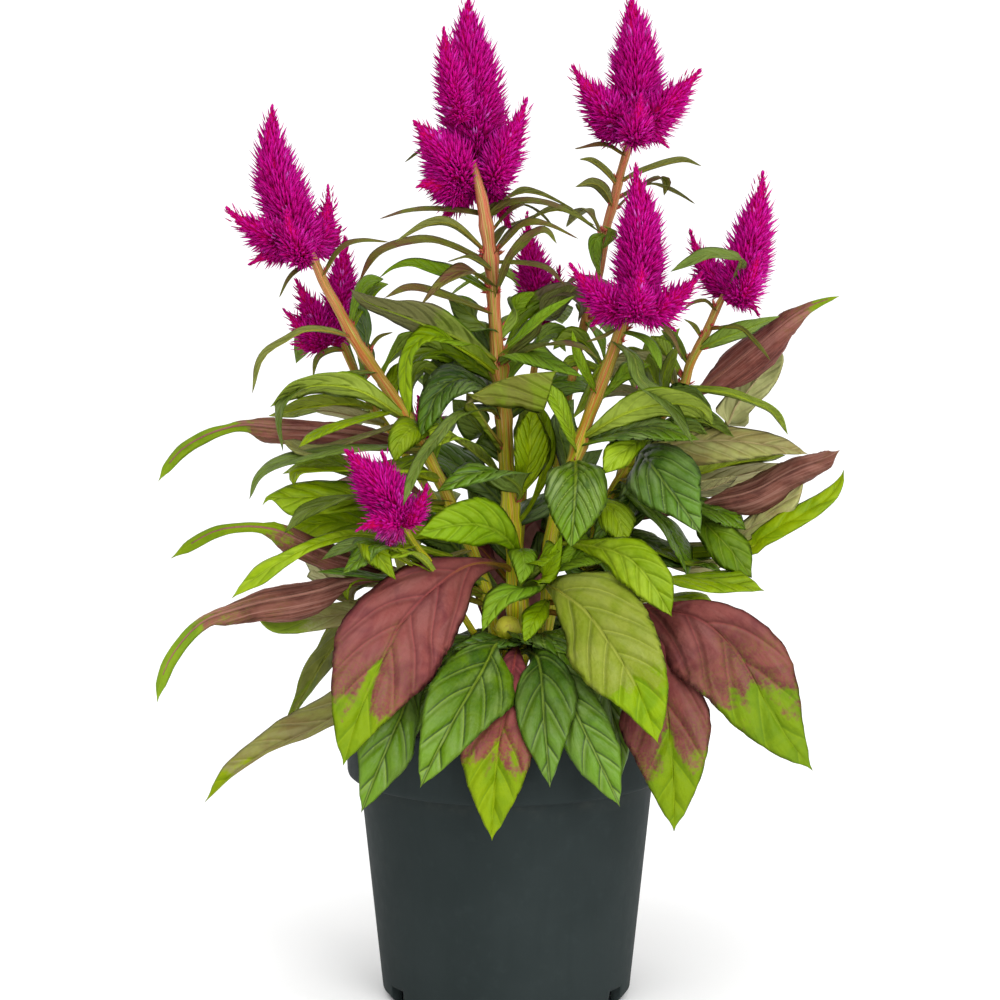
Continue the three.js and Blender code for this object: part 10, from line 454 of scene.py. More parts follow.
def leaf(build, row, mat, nu, nv, seed):
    name, _, kind, own, P, N, W, fold, curl = row
    rs = np.random.RandomState(seed)
    t, s, L = even(P, nu, 0.25)
    p = catmull(P, t)
    d = unit(catmull(P, np.minimum(1, t + 0.01)) - catmull(P, np.maximum(0, t - 0.01)))
    up = linear(N, t)
    up = unit(up - d * np.sum(up * d, axis=1, keepdims=True))
    b = np.cross(d, up)
    W = np.asarray(W, float)
    w = np.stack([np.maximum(pchip(W[:, 0], t), 0.12), np.maximum(pchip(W[:, 1], t), 0.12)], 1)
    wmax = W.max()
    u = s / L
    # the blade narrows to a point over the last stretch
    tipfade = np.clip((1 - u) / 0.045, 0.0, 1)[:, None] ** 0.7
    w = w * np.maximum(tipfade, 0.02)
    ph0 = rs.uniform(0, 6.28, 8)
    edge = 1 + 0.011 * np.sin(s / 9 * 6.28 + ph0[0]) + 0.006 * np.sin(s / 4.3 * 6.28 + ph0[1])
    edge2 = 1 + 0.011 * np.sin(s / 8 * 6.28 + ph0[2]) + 0.006 * np.sin(s / 4.9 * 6.28 + ph0[3])
    w = w * np.stack([edge, edge2], 1)
    f = linear(fold, t)[:, 0]
    c = linear(curl, t)[:, 0]
    if kind != "R":
        c = c + 0.16 * np.sin(u * 6.5 + ph0[4]) * min(1, wmax / 8)
        f = f + 0.05 * np.sin(u * 5 + ph0[5])
    x = np.linspace(-1, 1, nv)
    v = x * (0.45 + 0.55 * np.abs(x))
    m = np.abs(v)[None, :]
    sg = np.where(v >= 0, 1.0, -1.0)[None, :]
    wid = np.where(v >= 0, w[:, :1], w[:, 1:2])
    th = f[:, None] + c[:, None] * m
    cc = np.where(np.abs(c) < 1e-3, 1e-3, c)[:, None]
    along = (np.sin(f[:, None] + cc * m) - np.sin(f)[:, None]) / cc
    rise = (np.cos(f)[:, None] - np.cos(f[:, None] + cc * m)) / cc
    y = m * wid                                   # mm from the midrib along the blade
    pitch = max(2.4, L * PITCH[kind]) * (1 + 0.04 * np.sin(u * 9 + ph0[6]))[:, None]
    bend = 0.70 / max(wmax, 1.5)
    lean = 1.50 if kind not in "TK" else 2.6
    ph = (s[:, None] - lean * y - bend * y * y + np.where(sg > 0, 0.0, 0.45) * pitch + rs.uniform(0, 1) * pitch) / pitch
    vein = np.abs(ph - np.round(ph)) * 2          # 0 on a vein, 1 between two
    amp = QUILT[kind] * min(1.0, wmax / 14) * (0.9 if own == 1 else 0.7)
    body = np.clip(wid / (0.45 * wmax + 0.4), 0, 1)
    quilt = amp * (np.clip(vein, 0, 1) ** 0.65 - 0.55) * np.clip(m * 5, 0, 1) * (1 - m ** 3) * body
    groove = -0.55 * min(1, wmax / 12) * np.exp(-(y / 0.9) ** 2) * body
    lam = 15 + 0.12 * L
    wave = (0.020 if kind != "R" else 0.012) * wmax * m ** 2.2 * np.sin(s[:, None] / lam * 6.28 + np.where(sg > 0, ph0[7], ph0[7] + 2.3)) * body
    wave = wave + 0.007 * wmax * m ** 3 * np.sin(s[:, None] / (lam * 0.43) * 6.28 + np.where(sg > 0, ph0[0], ph0[1])) * body
    if kind == "R":
        # a rolled blade is ribbed lengthwise instead of quilted
        quilt = 0.46 * min(1.0, wmax / 7) * (np.abs(np.sin(y * 1.25 + 0.5 * np.sin(s[:, None] / 11) + ph0[3] + 1.3 * (sg > 0))) - 0.5) * body * (1 - m ** 6)
    big = 0.018 * wmax * np.sin(s[:, None] / 31 * 6.28 + ph0[2] + y / 12 * sg) * body
    h = quilt + groove + wave + big
    nrm = up[:, None, :] * np.cos(th)[..., None] - b[:, None, :] * (sg * np.sin(th))[..., None]
    q = p[:, None, :] + b[:, None, :] * (sg * along * wid)[..., None] + up[:, None, :] * (rise * wid)[..., None]
    q = q + nrm * h[..., None]
    thick = 0.34 * np.clip(1 - m ** 10, 0, 1) * np.clip(np.minimum(u / 0.02, (1 - u) / 0.04), 0, 1)[:, None]
    top = (q + nrm * (thick / 2)[..., None]).reshape(-1, 3)
    bottom = (q - nrm * (thick / 2)[..., None]).reshape(-1, 3)
    u0, slant, depth = LIME.get(name, (9.0, 0.0, 0.0))
    uu = np.broadcast_to(u[:, None], y.shape)
    lime = (uu - u0) / 0.07 + slant * sg * m + depth * np.exp(-(y / 3.2) ** 2) + 0.9 * (0.5 - vein) * (1 - m ** 4)
    rnd = rs.uniform(0, 1)
    la = np.stack([ph, sg * y, uu], -1).reshape(-1, 3)
    lb = np.stack([np.broadcast_to(m, y.shape), np.full(y.shape, rnd), lime], -1).reshape(-1, 3)
    under0 = np.stack([np.zeros(y.shape), np.broadcast_to(s[:, None], y.shape), np.full(y.shape, wmax)], -1).reshape(-1, 3)
    # the rim is shared: the lower face reuses the upper face's border vertices
    n, k = y.shape
    ids = np.arange(n * k).reshape(n, k)
    low = ids + n * k
    low[0, :], low[-1, :], low[:, 0], low[:, -1] = ids[0, :], ids[-1, :], ids[:, 0], ids[:, -1]
    keep = np.zeros((n, k), bool)
    keep[1:-1, 1:-1] = True
    remap = np.full(2 * n * k, -1)
    remap[: n * k] = np.arange(n * k)
    inner = (np.arange(n * k).reshape(n, k)[keep]) + n * k
    remap[inner] = n * k + np.arange(len(inner))
    low = remap[low]

    def quads(g, flip):
        qd = np.stack([g[:-1, :-1], g[:-1, 1:], g[1:, 1:], g[1:, :-1]], -1).reshape(-1, 4)
        return qd[:, ::-1] if flip else qd
    kf = keep.ravel()
    verts = np.vstack([top, bottom[kf]])
    und = under0.copy()
    und[:, 0] = 1
    build.add(verts, [quads(ids, False), quads(low, True)], mat, True,
              la=np.vstack([la, la[kf]]), lb=np.vstack([lb, lb[kf]]), lc=np.vstack([under0, und[kf]]))
    # petiole running out into the midrib along the underside
    r0 = min(1.35, 0.42 + 0.0075 * L) if kind != "T" else 0.5
    mt = np.linspace(0, 0.93, max(10, nu // 2))
    tt = np.interp(mt * L, s, t)
    mp = catmull(P, tt)
    md = unit(catmull(P, np.minimum(1, tt + 0.01)) - catmull(P, np.maximum(0, tt - 0.01)))
    mu = linear(N, tt)
    mu = unit(mu - md * np.sum(mu * md, axis=1, keepdims=True))
    rr = r0 * (1 - 0.9 * (mt / 0.93) ** 0.7) + 0.1
    gro = np.interp(mt, u, (h[:, nv // 2]))
    mp = mp + mu * (gro - 0.62 * rr * np.clip(mt / 0.12, 0.25, 1))[:, None]
    nn = len(mp)
    tube(build, mp, rr, 8 if own == 1 else 6, mat, u=mt,
         lb=np.tile([0.0, rnd, -9.0], (nn, 1)), lc=np.stack([np.full(nn, 2.0), mt * L, np.full(nn, wmax)], 1))
    return L


# ------------------------------------------------------------------ node helpers
GAIN = 0.72


def C(r, g, b, a=1.0):
    """Linear colour from 0-255 display values as they look under the studio light."""
    f = lambda x: (x / 255 / 12.92) if x / 255 <= 0.04045 else ((x / 255 + 0.055) / 1.055) ** 2.4
    return (f(r) * GAIN, f(g) * GAIN, f(b) * GAIN, a)


class Nodes:
    def __init__(self, name):
        self.m = bpy.data.materials.new(name)
        self.m.use_nodes = True
        self.t = self.m.node_tree
        self.t.nodes.clear()
        self.out = self.t.nodes.new("ShaderNodeOutputMaterial")
        self.p = self.t.nodes.new("ShaderNodeBsdfPrincipled")
        self.t.links.new(self.p.outputs[0], self.out.inputs[0])

    def put(self, sock, v):
        if isinstance(v, bpy.types.NodeSocket):
            self.t.links.new(v, sock)
        elif v is not None:
            sock.default_value = v

    def set(self, name, v):
        self.put(self.p.inputs[name], v)

    def math(self, op, a, b=None, c=None, clamp=False):
        n = self.t.nodes.new("ShaderNodeMath")
        n.operation = op
        n.use_clamp = clamp
        for i, v in enumerate((a, b, c)):
            if v is not None:
                self.put(n.inputs[i], v)
        return n.outputs[0]

    def mix(self, fac, a, b, blend="MIX"):
        n = self.t.nodes.new("ShaderNodeMix")
        n.data_type = "RGBA"
        n.blend_type = blend
        n.clamp_factor = True
        self.put(n.inputs[0], fac)
        self.put(n.inputs[6], a)
        self.put(n.inputs[7], b)
        return n.outputs[2]

    def step(self, v, lo, hi, a=0.0, b=1.0, kind="SMOOTHSTEP"):
        n = self.t.nodes.new("ShaderNodeMapRange")
        n.interpolation_type = kind
        n.clamp = True
        for i, x in enumerate((v, lo, hi, a, b)):
            self.put(n.inputs[i], x)
        return n.outputs[0]

    def attr(self, name):
        n = self.t.nodes.new("ShaderNodeAttribute")
        n.attribute_name = name
        s = self.t.nodes.new("ShaderNodeSeparateXYZ")
        self.t.links.new(n.outputs["Vector"], s.inputs[0])
        return s.outputs[0], s.outputs[1], s.outputs[2]

    def xyz(self, x, y, z):
        n = self.t.nodes.new("ShaderNodeCombineXYZ")
        for i, v in enumerate((x, y, z)):
            self.put(n.inputs[i], v)
        return n.outputs[0]

    def noise(self, vec, scale, detail=2.0, rough=0.5, dist=0.0):
        n = self.t.nodes.new("ShaderNodeTexNoise")
        self.put(n.inputs["Vector"], vec)
        n.inputs["Scale"].default_value = scale
        n.inputs["Detail"].default_value = detail
        n.inputs["Roughness"].default_value = rough
        n.inputs["Distortion"].default_value = dist
        return n.outputs[0]

    def voronoi(self, vec, scale, feature="F1"):
        n = self.t.nodes.new("ShaderNodeTexVoronoi")
        n.feature = feature
        self.put(n.inputs["Vector"], vec)
        n.inputs["Scale"].default_value = scale
        return n.outputs["Distance"]

    def obj(self):
        return self.t.nodes.new("ShaderNodeTexCoord").outputs["Object"]

    def bump(self, height, strength, distance):
        n = self.t.nodes.new("ShaderNodeBump")
        n.inputs["Strength"].default_value = strength
        n.inputs["Distance"].default_value = distance
        self.put(n.inputs["Height"], height)
        self.t.links.new(n.outputs[0], self.p.inputs["Normal"])

    def hsv(self, col, h, s, v):
        n = self.t.nodes.new("ShaderNodeHueSaturation")
        self.put(n.inputs["Hue"], h)
        self.put(n.inputs["Saturation"], s)
        self.put(n.inputs["Value"], v)
        self.put(n.inputs["Color"], col)
        return n.outputs[0]


PALETTE = {
    # base, shade (a darker tone of the blade, and the base of the painted shade), painted sheen (a painted highlight
    # between the veins and on the ribs of rolled blades), vein, lime, underside, petiole, roughness, share of painted
    # sheen
    "M": (C(142, 75, 70), C(116, 54, 56), C(158, 104, 97), C(166, 78, 78), C(128, 156, 0), C(156, 104, 96), C(168, 130, 40), 0.52, 0.40),
    "R": (C(138, 80, 68), C(92, 44, 40), C(172, 120, 108), C(188, 132, 118), C(126, 156, 4), C(146, 98, 80), C(156, 126, 40), 0.52, 0.40),
    "O": (C(148, 162, 64), C(130, 150, 44), C(160, 172, 98), C(182, 192, 88), C(136, 172, 0), C(160, 168, 84), C(160, 160, 40), 0.48, 0.40),
    "D": (C(88, 122, 14), C(42, 78, 3), C(142, 164, 100), C(140, 166, 50), C(122, 158, 6), C(128, 154, 66), C(146, 168, 40), 0.42, 0.50),
    "H": (C(142, 170, 16), C(116, 148, 6), C(166, 192, 66), C(184, 208, 60), C(150, 182, 12), C(168, 190, 76), C(160, 176, 44), 0.46, 0.34),
    "G": (C(118, 150, 2), C(90, 128, 0), C(146, 176, 50), C(160, 190, 46), C(134, 172, 4), C(146, 172, 66), C(150, 170, 40), 0.46, 0.34),
    "B": (C(100, 136, 12), C(72, 106, 4), C(132, 156, 66), C(150, 172, 54), C(112, 102, 72), C(146, 162, 72), C(146, 152, 40), 0.46, 0.40),
    "L": (C(152, 156, 82), C(138, 126, 72), C(180, 182, 126), C(196, 176, 128), C(156, 178, 40), C(188, 184, 128), C(156, 150, 60), 0.52, 0.40),
    "W": (C(180, 186, 112), C(162, 148, 92), C(212, 214, 160), C(206, 190, 140), C(160, 182, 50), C(190, 192, 130), C(160, 150, 70), 0.52, 0.45),
    "K": (C(106, 130, 40), C(78, 100, 20), C(140, 156, 96), C(150, 164, 72), C(136, 164, 20), C(140, 156, 82), C(144, 140, 50), 0.46, 0.38),
    "T": (C(106, 116, 28), C(104, 66, 50), C(128, 134, 74), C(146, 146, 50), C(130, 158, 20), C(128, 132, 64), C(156, 112, 50), 0.48, 0.30),
    "P": (C(108, 134, 24), C(104, 108, 40), C(136, 144, 70), C(156, 166, 66), C(132, 160, 20), C(142, 136, 84), C(146, 120, 50), 0.48, 0.35),
    "Y": (C(168, 192, 14), C(140, 170, 4), C(182, 200, 66), C(194, 208, 66), C(160, 186, 14), C(172, 188, 66), C(168, 184, 40), 0.46, 0.30),
}

# strength of the vein colour, specular level, depth of the painted shade beside a vein and the midrib
VEINS = {"H": (0.34, 0.13, 0.40), "W": (0.45, 0.10, 0.35), "M": (0.42, 0.12, 0.50), "R": (0.30, 0.12, 0.30), "O": (0.50, 0.12, 0.34), "D": (0.50, 0.30, 0.85), "G": (0.34, 0.13, 0.40), "B": (0.40, 0.13, 0.35),
         "L": (0.40, 0.10, 0.35), "K": (0.40, 0.14, 0.30), "T": (0.35, 0.10, 0.25), "P": (0.35, 0.12, 0.30), "Y": (0.35, 0.12, 0.30)}


def leaf_material(kind):
    base, shade, painted_sheen, vein, lime, under, pet, rough, panel = PALETTE[kind]
    vs, spec, deep = VEINS[kind]
    n = Nodes("leaf_" + kind)
    ph, ly, lu = n.attr("la")
    m, rnd, lim = n.attr("lb")
    part, s, wmax = n.attr("lc")
    # painted shade colour: the shaded flank of each vein, beside the midrib and in the grooves of rolled blades
    painted_shade_col = [shade[0] * 0.62, shade[1] * 0.60, shade[2] * 0.60, 1]
    # veins: lines across the blade at whole phases, and the midrib
    vd = n.math("PINGPONG", ph, 0.5)
    saw = n.math("SUBTRACT", n.math("FRACT", n.math("ADD", ph, 0.5)), 0.5)
    sec = n.step(vd, 0.010, 0.050 if kind != "T" else 0.04, 1.0, 0.0)
    sec = n.math("MULTIPLY", sec, n.step(m, 0.50, 0.92, 1.0, 0.1))
    aly = n.math("ABSOLUTE", ly)
    midw = n.math("ADD", n.math("MULTIPLY", n.math("SUBTRACT", 1.0, lu), 0.8), 0.28)
    midw = n.math("MULTIPLY", midw, n.step(wmax, 2.0, 14.0, 0.42, 1.0, "LINEAR"))
    mid = n.step(n.math("DIVIDE", aly, midw), 0.35, 1.10, 1.0, 0.0)
    veins = n.math("MAXIMUM", n.math("MULTIPLY", sec, 0.72 if kind != "R" else 0.0), mid)
    net = n.xyz(n.math("MULTIPLY", ph, 3.2), n.math("MULTIPLY", ly, 0.46), n.math("MULTIPLY", rnd, 37.0))
    cell = n.voronoi(net, 1.0, "DISTANCE_TO_EDGE")
    net2 = n.step(cell, 0.02, 0.12, 1.0, 0.0)
    sp = n.xyz(s, ly, n.math("MULTIPLY", rnd, 91.0))
    fine = n.noise(sp, 0.9, 3.0, 0.6)
    broad = n.noise(sp, 0.085, 3.0, 0.55, 0.6)
    # soft noise patches that place the painted sheen and also wobble the edge of the lime end
    patch_noise = n.noise(n.xyz(n.math("MULTIPLY", ph, 0.62), n.math("MULTIPLY", ly, 0.13), n.math("MULTIPLY", rnd, 53.0)), 1.0, 3.0, 0.52, 0.5)
    # body colour
    col = n.mix(n.step(broad, 0.36, 0.66), base, shade)
    col = n.mix(n.math("MULTIPLY", n.step(fine, 0.42, 0.72), 0.14), col, shade)
    # painted sheen: a painted highlight on the panels between the veins, in soft patches; on dark green blades it is
    # stronger towards the foot
    inside = n.step(vd, 0.04, 0.34)
    painted_sheen_mask = n.math("MULTIPLY", n.math("ADD", n.math("MULTIPLY", inside, 0.75), 0.25), n.step(patch_noise, 0.40, 0.68))
    if kind == "D":
        painted_sheen_mask = n.math("MULTIPLY", painted_sheen_mask, n.step(lu, 0.40, 0.80, 1.5, 0.3))
    col = n.mix(n.math("MULTIPLY", painted_sheen_mask, panel), col, painted_sheen)
    if kind in "DG":
        warm = n.step(n.math("ADD", n.math("MULTIPLY", lu, 0.8), n.math("MULTIPLY", n.math("SUBTRACT", broad, 0.5), 0.9)), 0.42, 0.85)
        col = n.mix(n.math("MULTIPLY", warm, 0.62), col, C(116, 162, 10) if kind == "D" else C(134, 172, 0))
    if kind == "R":
        # lengthwise streaks of pink and brown: partly the blade's own streaking, partly a painted highlight on the
        # raised ribs and painted shade in the grooves (the same noise raises the ribs in the bump below)
        st = n.noise(n.xyz(n.math("MULTIPLY", s, 0.022), n.math("MULTIPLY", ly, 0.62), n.math("MULTIPLY", rnd, 71.0)), 1.0, 3.0, 0.6)
        col = n.mix(n.math("MULTIPLY", n.step(st, 0.52, 0.64), 0.75), col, painted_sheen)
        col = n.mix(n.math("MULTIPLY", n.step(st, 0.46, 0.36), 0.65), col, painted_shade_col)
        st2 = n.noise(n.xyz(n.math("MULTIPLY", s, 0.05), n.math("MULTIPLY", ly, 1.7), n.math("MULTIPLY", rnd, 31.0)), 1.0, 2.0, 0.5)
        col = n.mix(n.math("MULTIPLY", n.step(st2, 0.56, 0.68), 0.35), col, vein)
    # painted shade on one flank of each vein and a painted highlight on the other, as the sunken veins would shade and
    # catch the light
    painted_vein_shade = n.math("MULTIPLY", n.step(saw, -0.17, -0.045, 0.0, 1.0 if kind != "R" else 0.0), n.step(saw, -0.012, -0.035))
    painted_vein_light = n.math("MULTIPLY", n.step(saw, 0.20, 0.05, 0.0, 1.0 if kind != "R" else 0.0), n.step(saw, 0.0, 0.03))
    fade = n.step(m, 0.70, 1.0, 1.0, 0.15)
    col = n.mix(n.math("MULTIPLY", n.math("MULTIPLY", painted_vein_shade, fade), deep), col, painted_shade_col)
    col = n.mix(n.math("MULTIPLY", n.math("MULTIPLY", painted_vein_light, fade), 0.30), col, painted_sheen)
    # painted shade beside the midrib, fading out over a few midrib widths
    col = n.mix(n.step(n.math("DIVIDE", aly, midw), 1.1, 3.0, deep * 0.8, 0.0), col, painted_shade_col)
    col = n.mix(n.math("MULTIPLY", net2, 0.06), col, vein)
    col = n.mix(n.math("MULTIPLY", veins, vs), col, vein)
    # coloured end: it runs up between the veins and thins out in flecks
    wob = n.math("MULTIPLY", n.math("SUBTRACT", n.noise(sp, 0.11, 3.0, 0.5), 0.5), 3.4)
    lfield = n.math("ADD", lim, wob)
    lfield = n.math("ADD", lfield, n.math("MULTIPLY", n.math("SUBTRACT", patch_noise, 0.5), 2.2))
    grit = n.math("MULTIPLY", n.math("SUBTRACT", n.noise(sp, 0.45, 3.0, 0.6), 0.5), 1.6)
    lmask = n.step(n.math("ADD", lfield, grit), -0.50, 0.45)
    lcol = n.mix(n.step(broad, 0.35, 0.7), lime, [lime[0] * 0.70, lime[1] * 0.80, lime[2] * 0.6, 1])
    lcol = n.mix(n.math("MULTIPLY", veins, 0.35), lcol, [min(1, lime[0] * 1.35), min(1, lime[1] * 1.2), lime[2] * 1.6 + 0.004, 1])
    # the painted vein-flank shade carries on over the lime end
    lcol = n.mix(n.math("MULTIPLY", painted_vein_shade, 0.5), lcol, [lime[0] * 0.50, lime[1] * 0.62, lime[2] * 0.5, 1])
    haze = n.math("MULTIPLY", n.step(lfield, -3.2, -0.3), 0.28)
    col = n.mix(n.math("MULTIPLY", haze, n.step(fine, 0.38, 0.62)), col, [lime[0] * 0.85, lime[1] * 0.72, lime[2], 1])
    col = n.mix(lmask, col, lcol)
    if kind in "MR":
        # the blade starts green at its foot
        foot = n.step(n.math("ADD", lu, n.math("ADD", n.math("MULTIPLY", n.math("SUBTRACT", broad, 0.5), 0.16), n.math("MULTIPLY", m, 0.05))), 0.17, 0.08)
        col = n.mix(foot, col, n.mix(n.step(fine, 0.35, 0.7), C(122, 142, 24), C(96, 116, 16)))
    # a thin darker margin
    col = n.mix(n.step(m, 0.965, 1.0, 0.0, 0.30), col, [shade[0] * 0.8, shade[1] * 0.6, shade[2] * 0.6, 1])
    # underside and petiole
    ucol = n.mix(n.math("MULTIPLY", veins, 0.5), n.mix(n.step(broad, 0.4, 0.65), under, [under[0] * 0.78, under[1] * 0.8, under[2] * 0.7, 1]), vein)
    ucol = n.mix(n.math("MULTIPLY", lmask, 0.7), ucol, [lime[0] * 0.9 + 0.03, lime[1] * 0.9 + 0.03, lime[2] + 0.01, 1])
    col = n.mix(n.step(part, 0.4, 0.6, 0.0, 1.0 if kind != "R" else 0.12), col, ucol)
    pcol = n.mix(n.step(lu, 0.02, 0.4), pet, vein)
    pcol = n.mix(n.math("MULTIPLY", n.step(fine, 0.4, 0.65), 0.3), pcol, [pet[0] * 0.6, pet[1] * 0.55, pet[2] * 0.5, 1])
    col = n.mix(n.step(part, 1.4, 1.6, 0.0, 1.0 if kind != "R" else 0.45), col, pcol)
    col = n.hsv(col, n.step(rnd, 0, 1, 0.490, 0.506, "LINEAR"), n.step(rnd, 0, 1, 1.05, 0.97, "LINEAR"),
                n.step(n.math("FRACT", n.math("MULTIPLY", rnd, 7.31)), 0, 1, 0.86, 1.16, "LINEAR"))
    n.set("Base Color", col)
    rg = n.step(fine, 0.3, 0.7, rough - 0.06, rough + 0.08, "LINEAR")
    n.set("Roughness", n.math("ADD", rg, n.math("MULTIPLY", n.step(part, 0.4, 0.6), 0.1)))
    n.p.inputs["Specular IOR Level"].default_value = spec
    # relief: panels swell between sunken veins, over soft undulations and a net of small cells
    h = n.math("MULTIPLY", n.step(vd, 0.0, 0.30), n.step(wmax, 2.0, 16.0, 0.8, 4.4 if kind != "R" else 0.6, "LINEAR"))
    h = n.math("MULTIPLY", h, n.step(m, 0.75, 1.0, 1.0, 0.2))
    h = n.math("ADD", h, n.math("MULTIPLY", n.noise(sp, 0.30, 2.0, 0.5), 2.6))
    h = n.math("ADD", h, n.math("MULTIPLY", n.step(cell, 0.0, 0.3), 0.30))
    h = n.math("ADD", h, n.math("MULTIPLY", fine, 0.25))
    if kind == "R":
        h = n.math("ADD", h, n.math("MULTIPLY", st, 6.0))
    n.bump(h, 0.6, 0.00035)
    return n.m


def stem_material():
    n = Nodes("stem")
    cx, cy, u = n.attr("la")
    wob, rnd, z = n.attr("lb")
    ring = n.xyz(n.math("MULTIPLY", cx, 2.6), n.math("MULTIPLY", cy, 2.6), n.math("ADD", n.math("MULTIPLY", z, 0.010), n.math("MULTIPLY", rnd, 50.0)))
    lines = n.noise(ring, 2.1, 2.0, 0.55)
    fine = n.noise(ring, 5.5, 2.0, 0.6)
    blot = n.noise(n.xyz(n.math("MULTIPLY", cx, 1.1), n.math("MULTIPLY", cy, 1.1), n.math("MULTIPLY", z, 0.06)), 1.0, 3.0, 0.55)
    low = C(238, 240, 20)
    midc = C(192, 142, 50)
    top = C(218, 124, 96)
    zz = n.math("ADD", z, n.math("MULTIPLY", n.math("SUBTRACT", blot, 0.5), 90.0))
    col = n.mix(n.step(zz, 185, 255), low, midc)
    col = n.mix(n.step(zz, 250, 330), col, top)
    green = n.mix(n.step(z, 190, 340), C(156, 182, 6), C(150, 144, 58))
    red = n.mix(n.step(z, 140, 310), C(214, 150, 20), C(200, 72, 56))
    col = n.mix(n.math("MULTIPLY", n.step(lines, 0.52, 0.56), 0.85), col, green)
    col = n.mix(n.math("MULTIPLY", n.step(lines, 0.46, 0.42), 0.72), col, red)
    col = n.mix(n.math("MULTIPLY", n.step(fine, 0.53, 0.62), 0.55), col, C(250, 220, 150))
    col = n.mix(n.math("MULTIPLY", n.step(fine, 0.44, 0.36), 0.35), col, C(166, 66, 28))
    col = n.mix(n.math("MULTIPLY", n.step(blot, 0.62, 0.74), n.step(z, 180, 300, 0.15, 0.45)), col, C(220, 66, 40))
    n.set("Base Color", col)
    n.set("Roughness", n.step(fine, 0.3, 0.7, 0.46, 0.58, "LINEAR"))
    n.p.inputs["Specular IOR Level"].default_value = 0.14
    n.bump(n.math("ADD", n.math("MULTIPLY", lines, 1.6), n.math("MULTIPLY", fine, 0.6)), 0.6, 0.0005)
    return n.m


def axil_material():
    n = Nodes("axil_bract")
    _, rnd, _ = n.attr("lb")
    _, _, u = n.attr("la")
    col = n.mix(n.step(u, 0.1, 0.9), C(222, 84, 58), C(206, 24, 70))
    col = n.mix(n.step(rnd, 0.5, 0.9), col, C(200, 110, 54))
    nz = n.noise(n.obj(), 900.0, 2.0, 0.5)
    col = n.mix(n.math("MULTIPLY", nz, 0.4), col, C(236, 140, 110))
    n.set("Base Color", col)
    n.set("Roughness", 0.5)
    return n.m


def plume_material():
    n = Nodes("plume_bract")
    side, keel, u = n.attr("la")
    painted_glow, rnd, lob = n.attr("lb")
    tint, pale, needle = n.attr("lc")
    r2 = n.math("FRACT", n.math("MULTIPLY", rnd, 13.7))
    body = n.mix(n.step(u, 0.0, 0.55), (0.377, 0.0000, 0.049, 1), (0.450, 0.0000, 0.152, 1))
    body = n.mix(n.step(u, 0.50, 0.95, 0.0, 0.8), body, (0.487, 0.0004, 0.237, 1))
    # painted glow: a deeper crimson where light would be caught between the bracts
    body = n.mix(n.math("MULTIPLY", n.step(painted_glow, 0.35, 1.0), 0.75), body, (0.426, 0.0000, 0.038, 1))
    # each bract a little lighter or deeper
    body = n.mix(n.step(rnd, 0.70, 1.0, 0.0, 0.34), body, (0.548, 0.0063, 0.347, 1))
    body = n.mix(n.step(r2, 0.55, 1.0, 0.0, 0.28), body, (0.281, 0.0000, 0.111, 1))
    # pale lengthwise streaks: a painted highlight along the bracts
    nz = n.noise(n.xyz(n.math("MULTIPLY", side, 1.4), n.math("MULTIPLY", rnd, 60.0), n.math("MULTIPLY", u, 0.7)), 3.0, 2.0, 0.6)
    body = n.mix(n.math("MULTIPLY", n.step(nz, 0.56, 0.74), 0.16), body, (0.579, 0.0211, 0.416, 1))
    # some needles get a painted pink glow and highlight part way up, and every one ends in a dusky point
    pink = n.math("MULTIPLY", n.math("MULTIPLY", n.step(u, 0.30, 0.62), needle), n.step(r2, 0.45, 0.95, 0.05, 0.60, "LINEAR"))
    body = n.mix(pink, body, (0.597, 0.0254, 0.430, 1))
    tip = n.math("MULTIPLY", n.step(u, 0.78, 0.97), needle)
    body = n.mix(n.math("MULTIPLY", tip, 0.88), body, (0.046, 0.0038, 0.042, 1))
    body = n.mix(n.math("MULTIPLY", pale, 0.85), body, (0.579, 0.1056, 0.500, 1))
    n.set("Base Color", body)
    n.set("Roughness", n.step(nz, 0.3, 0.7, 0.52, 0.66, "LINEAR"))
    n.p.inputs["Specular IOR Level"].default_value = 0.06
    return n.m


def core_material():
    n = Nodes("plume_core")
    nz = n.noise(n.obj(), 700.0, 3.0, 0.6)
    n.set("Base Color", n.mix(n.step(nz, 0.35, 0.7), (0.34, 0.0, 0.04, 1), (0.50, 0.0, 0.11, 1)))
    n.set("Roughness", 0.7)
    n.p.inputs["Specular IOR Level"].default_value = 0.05
    n.bump(nz, 0.7, 0.0008)
    return n.m


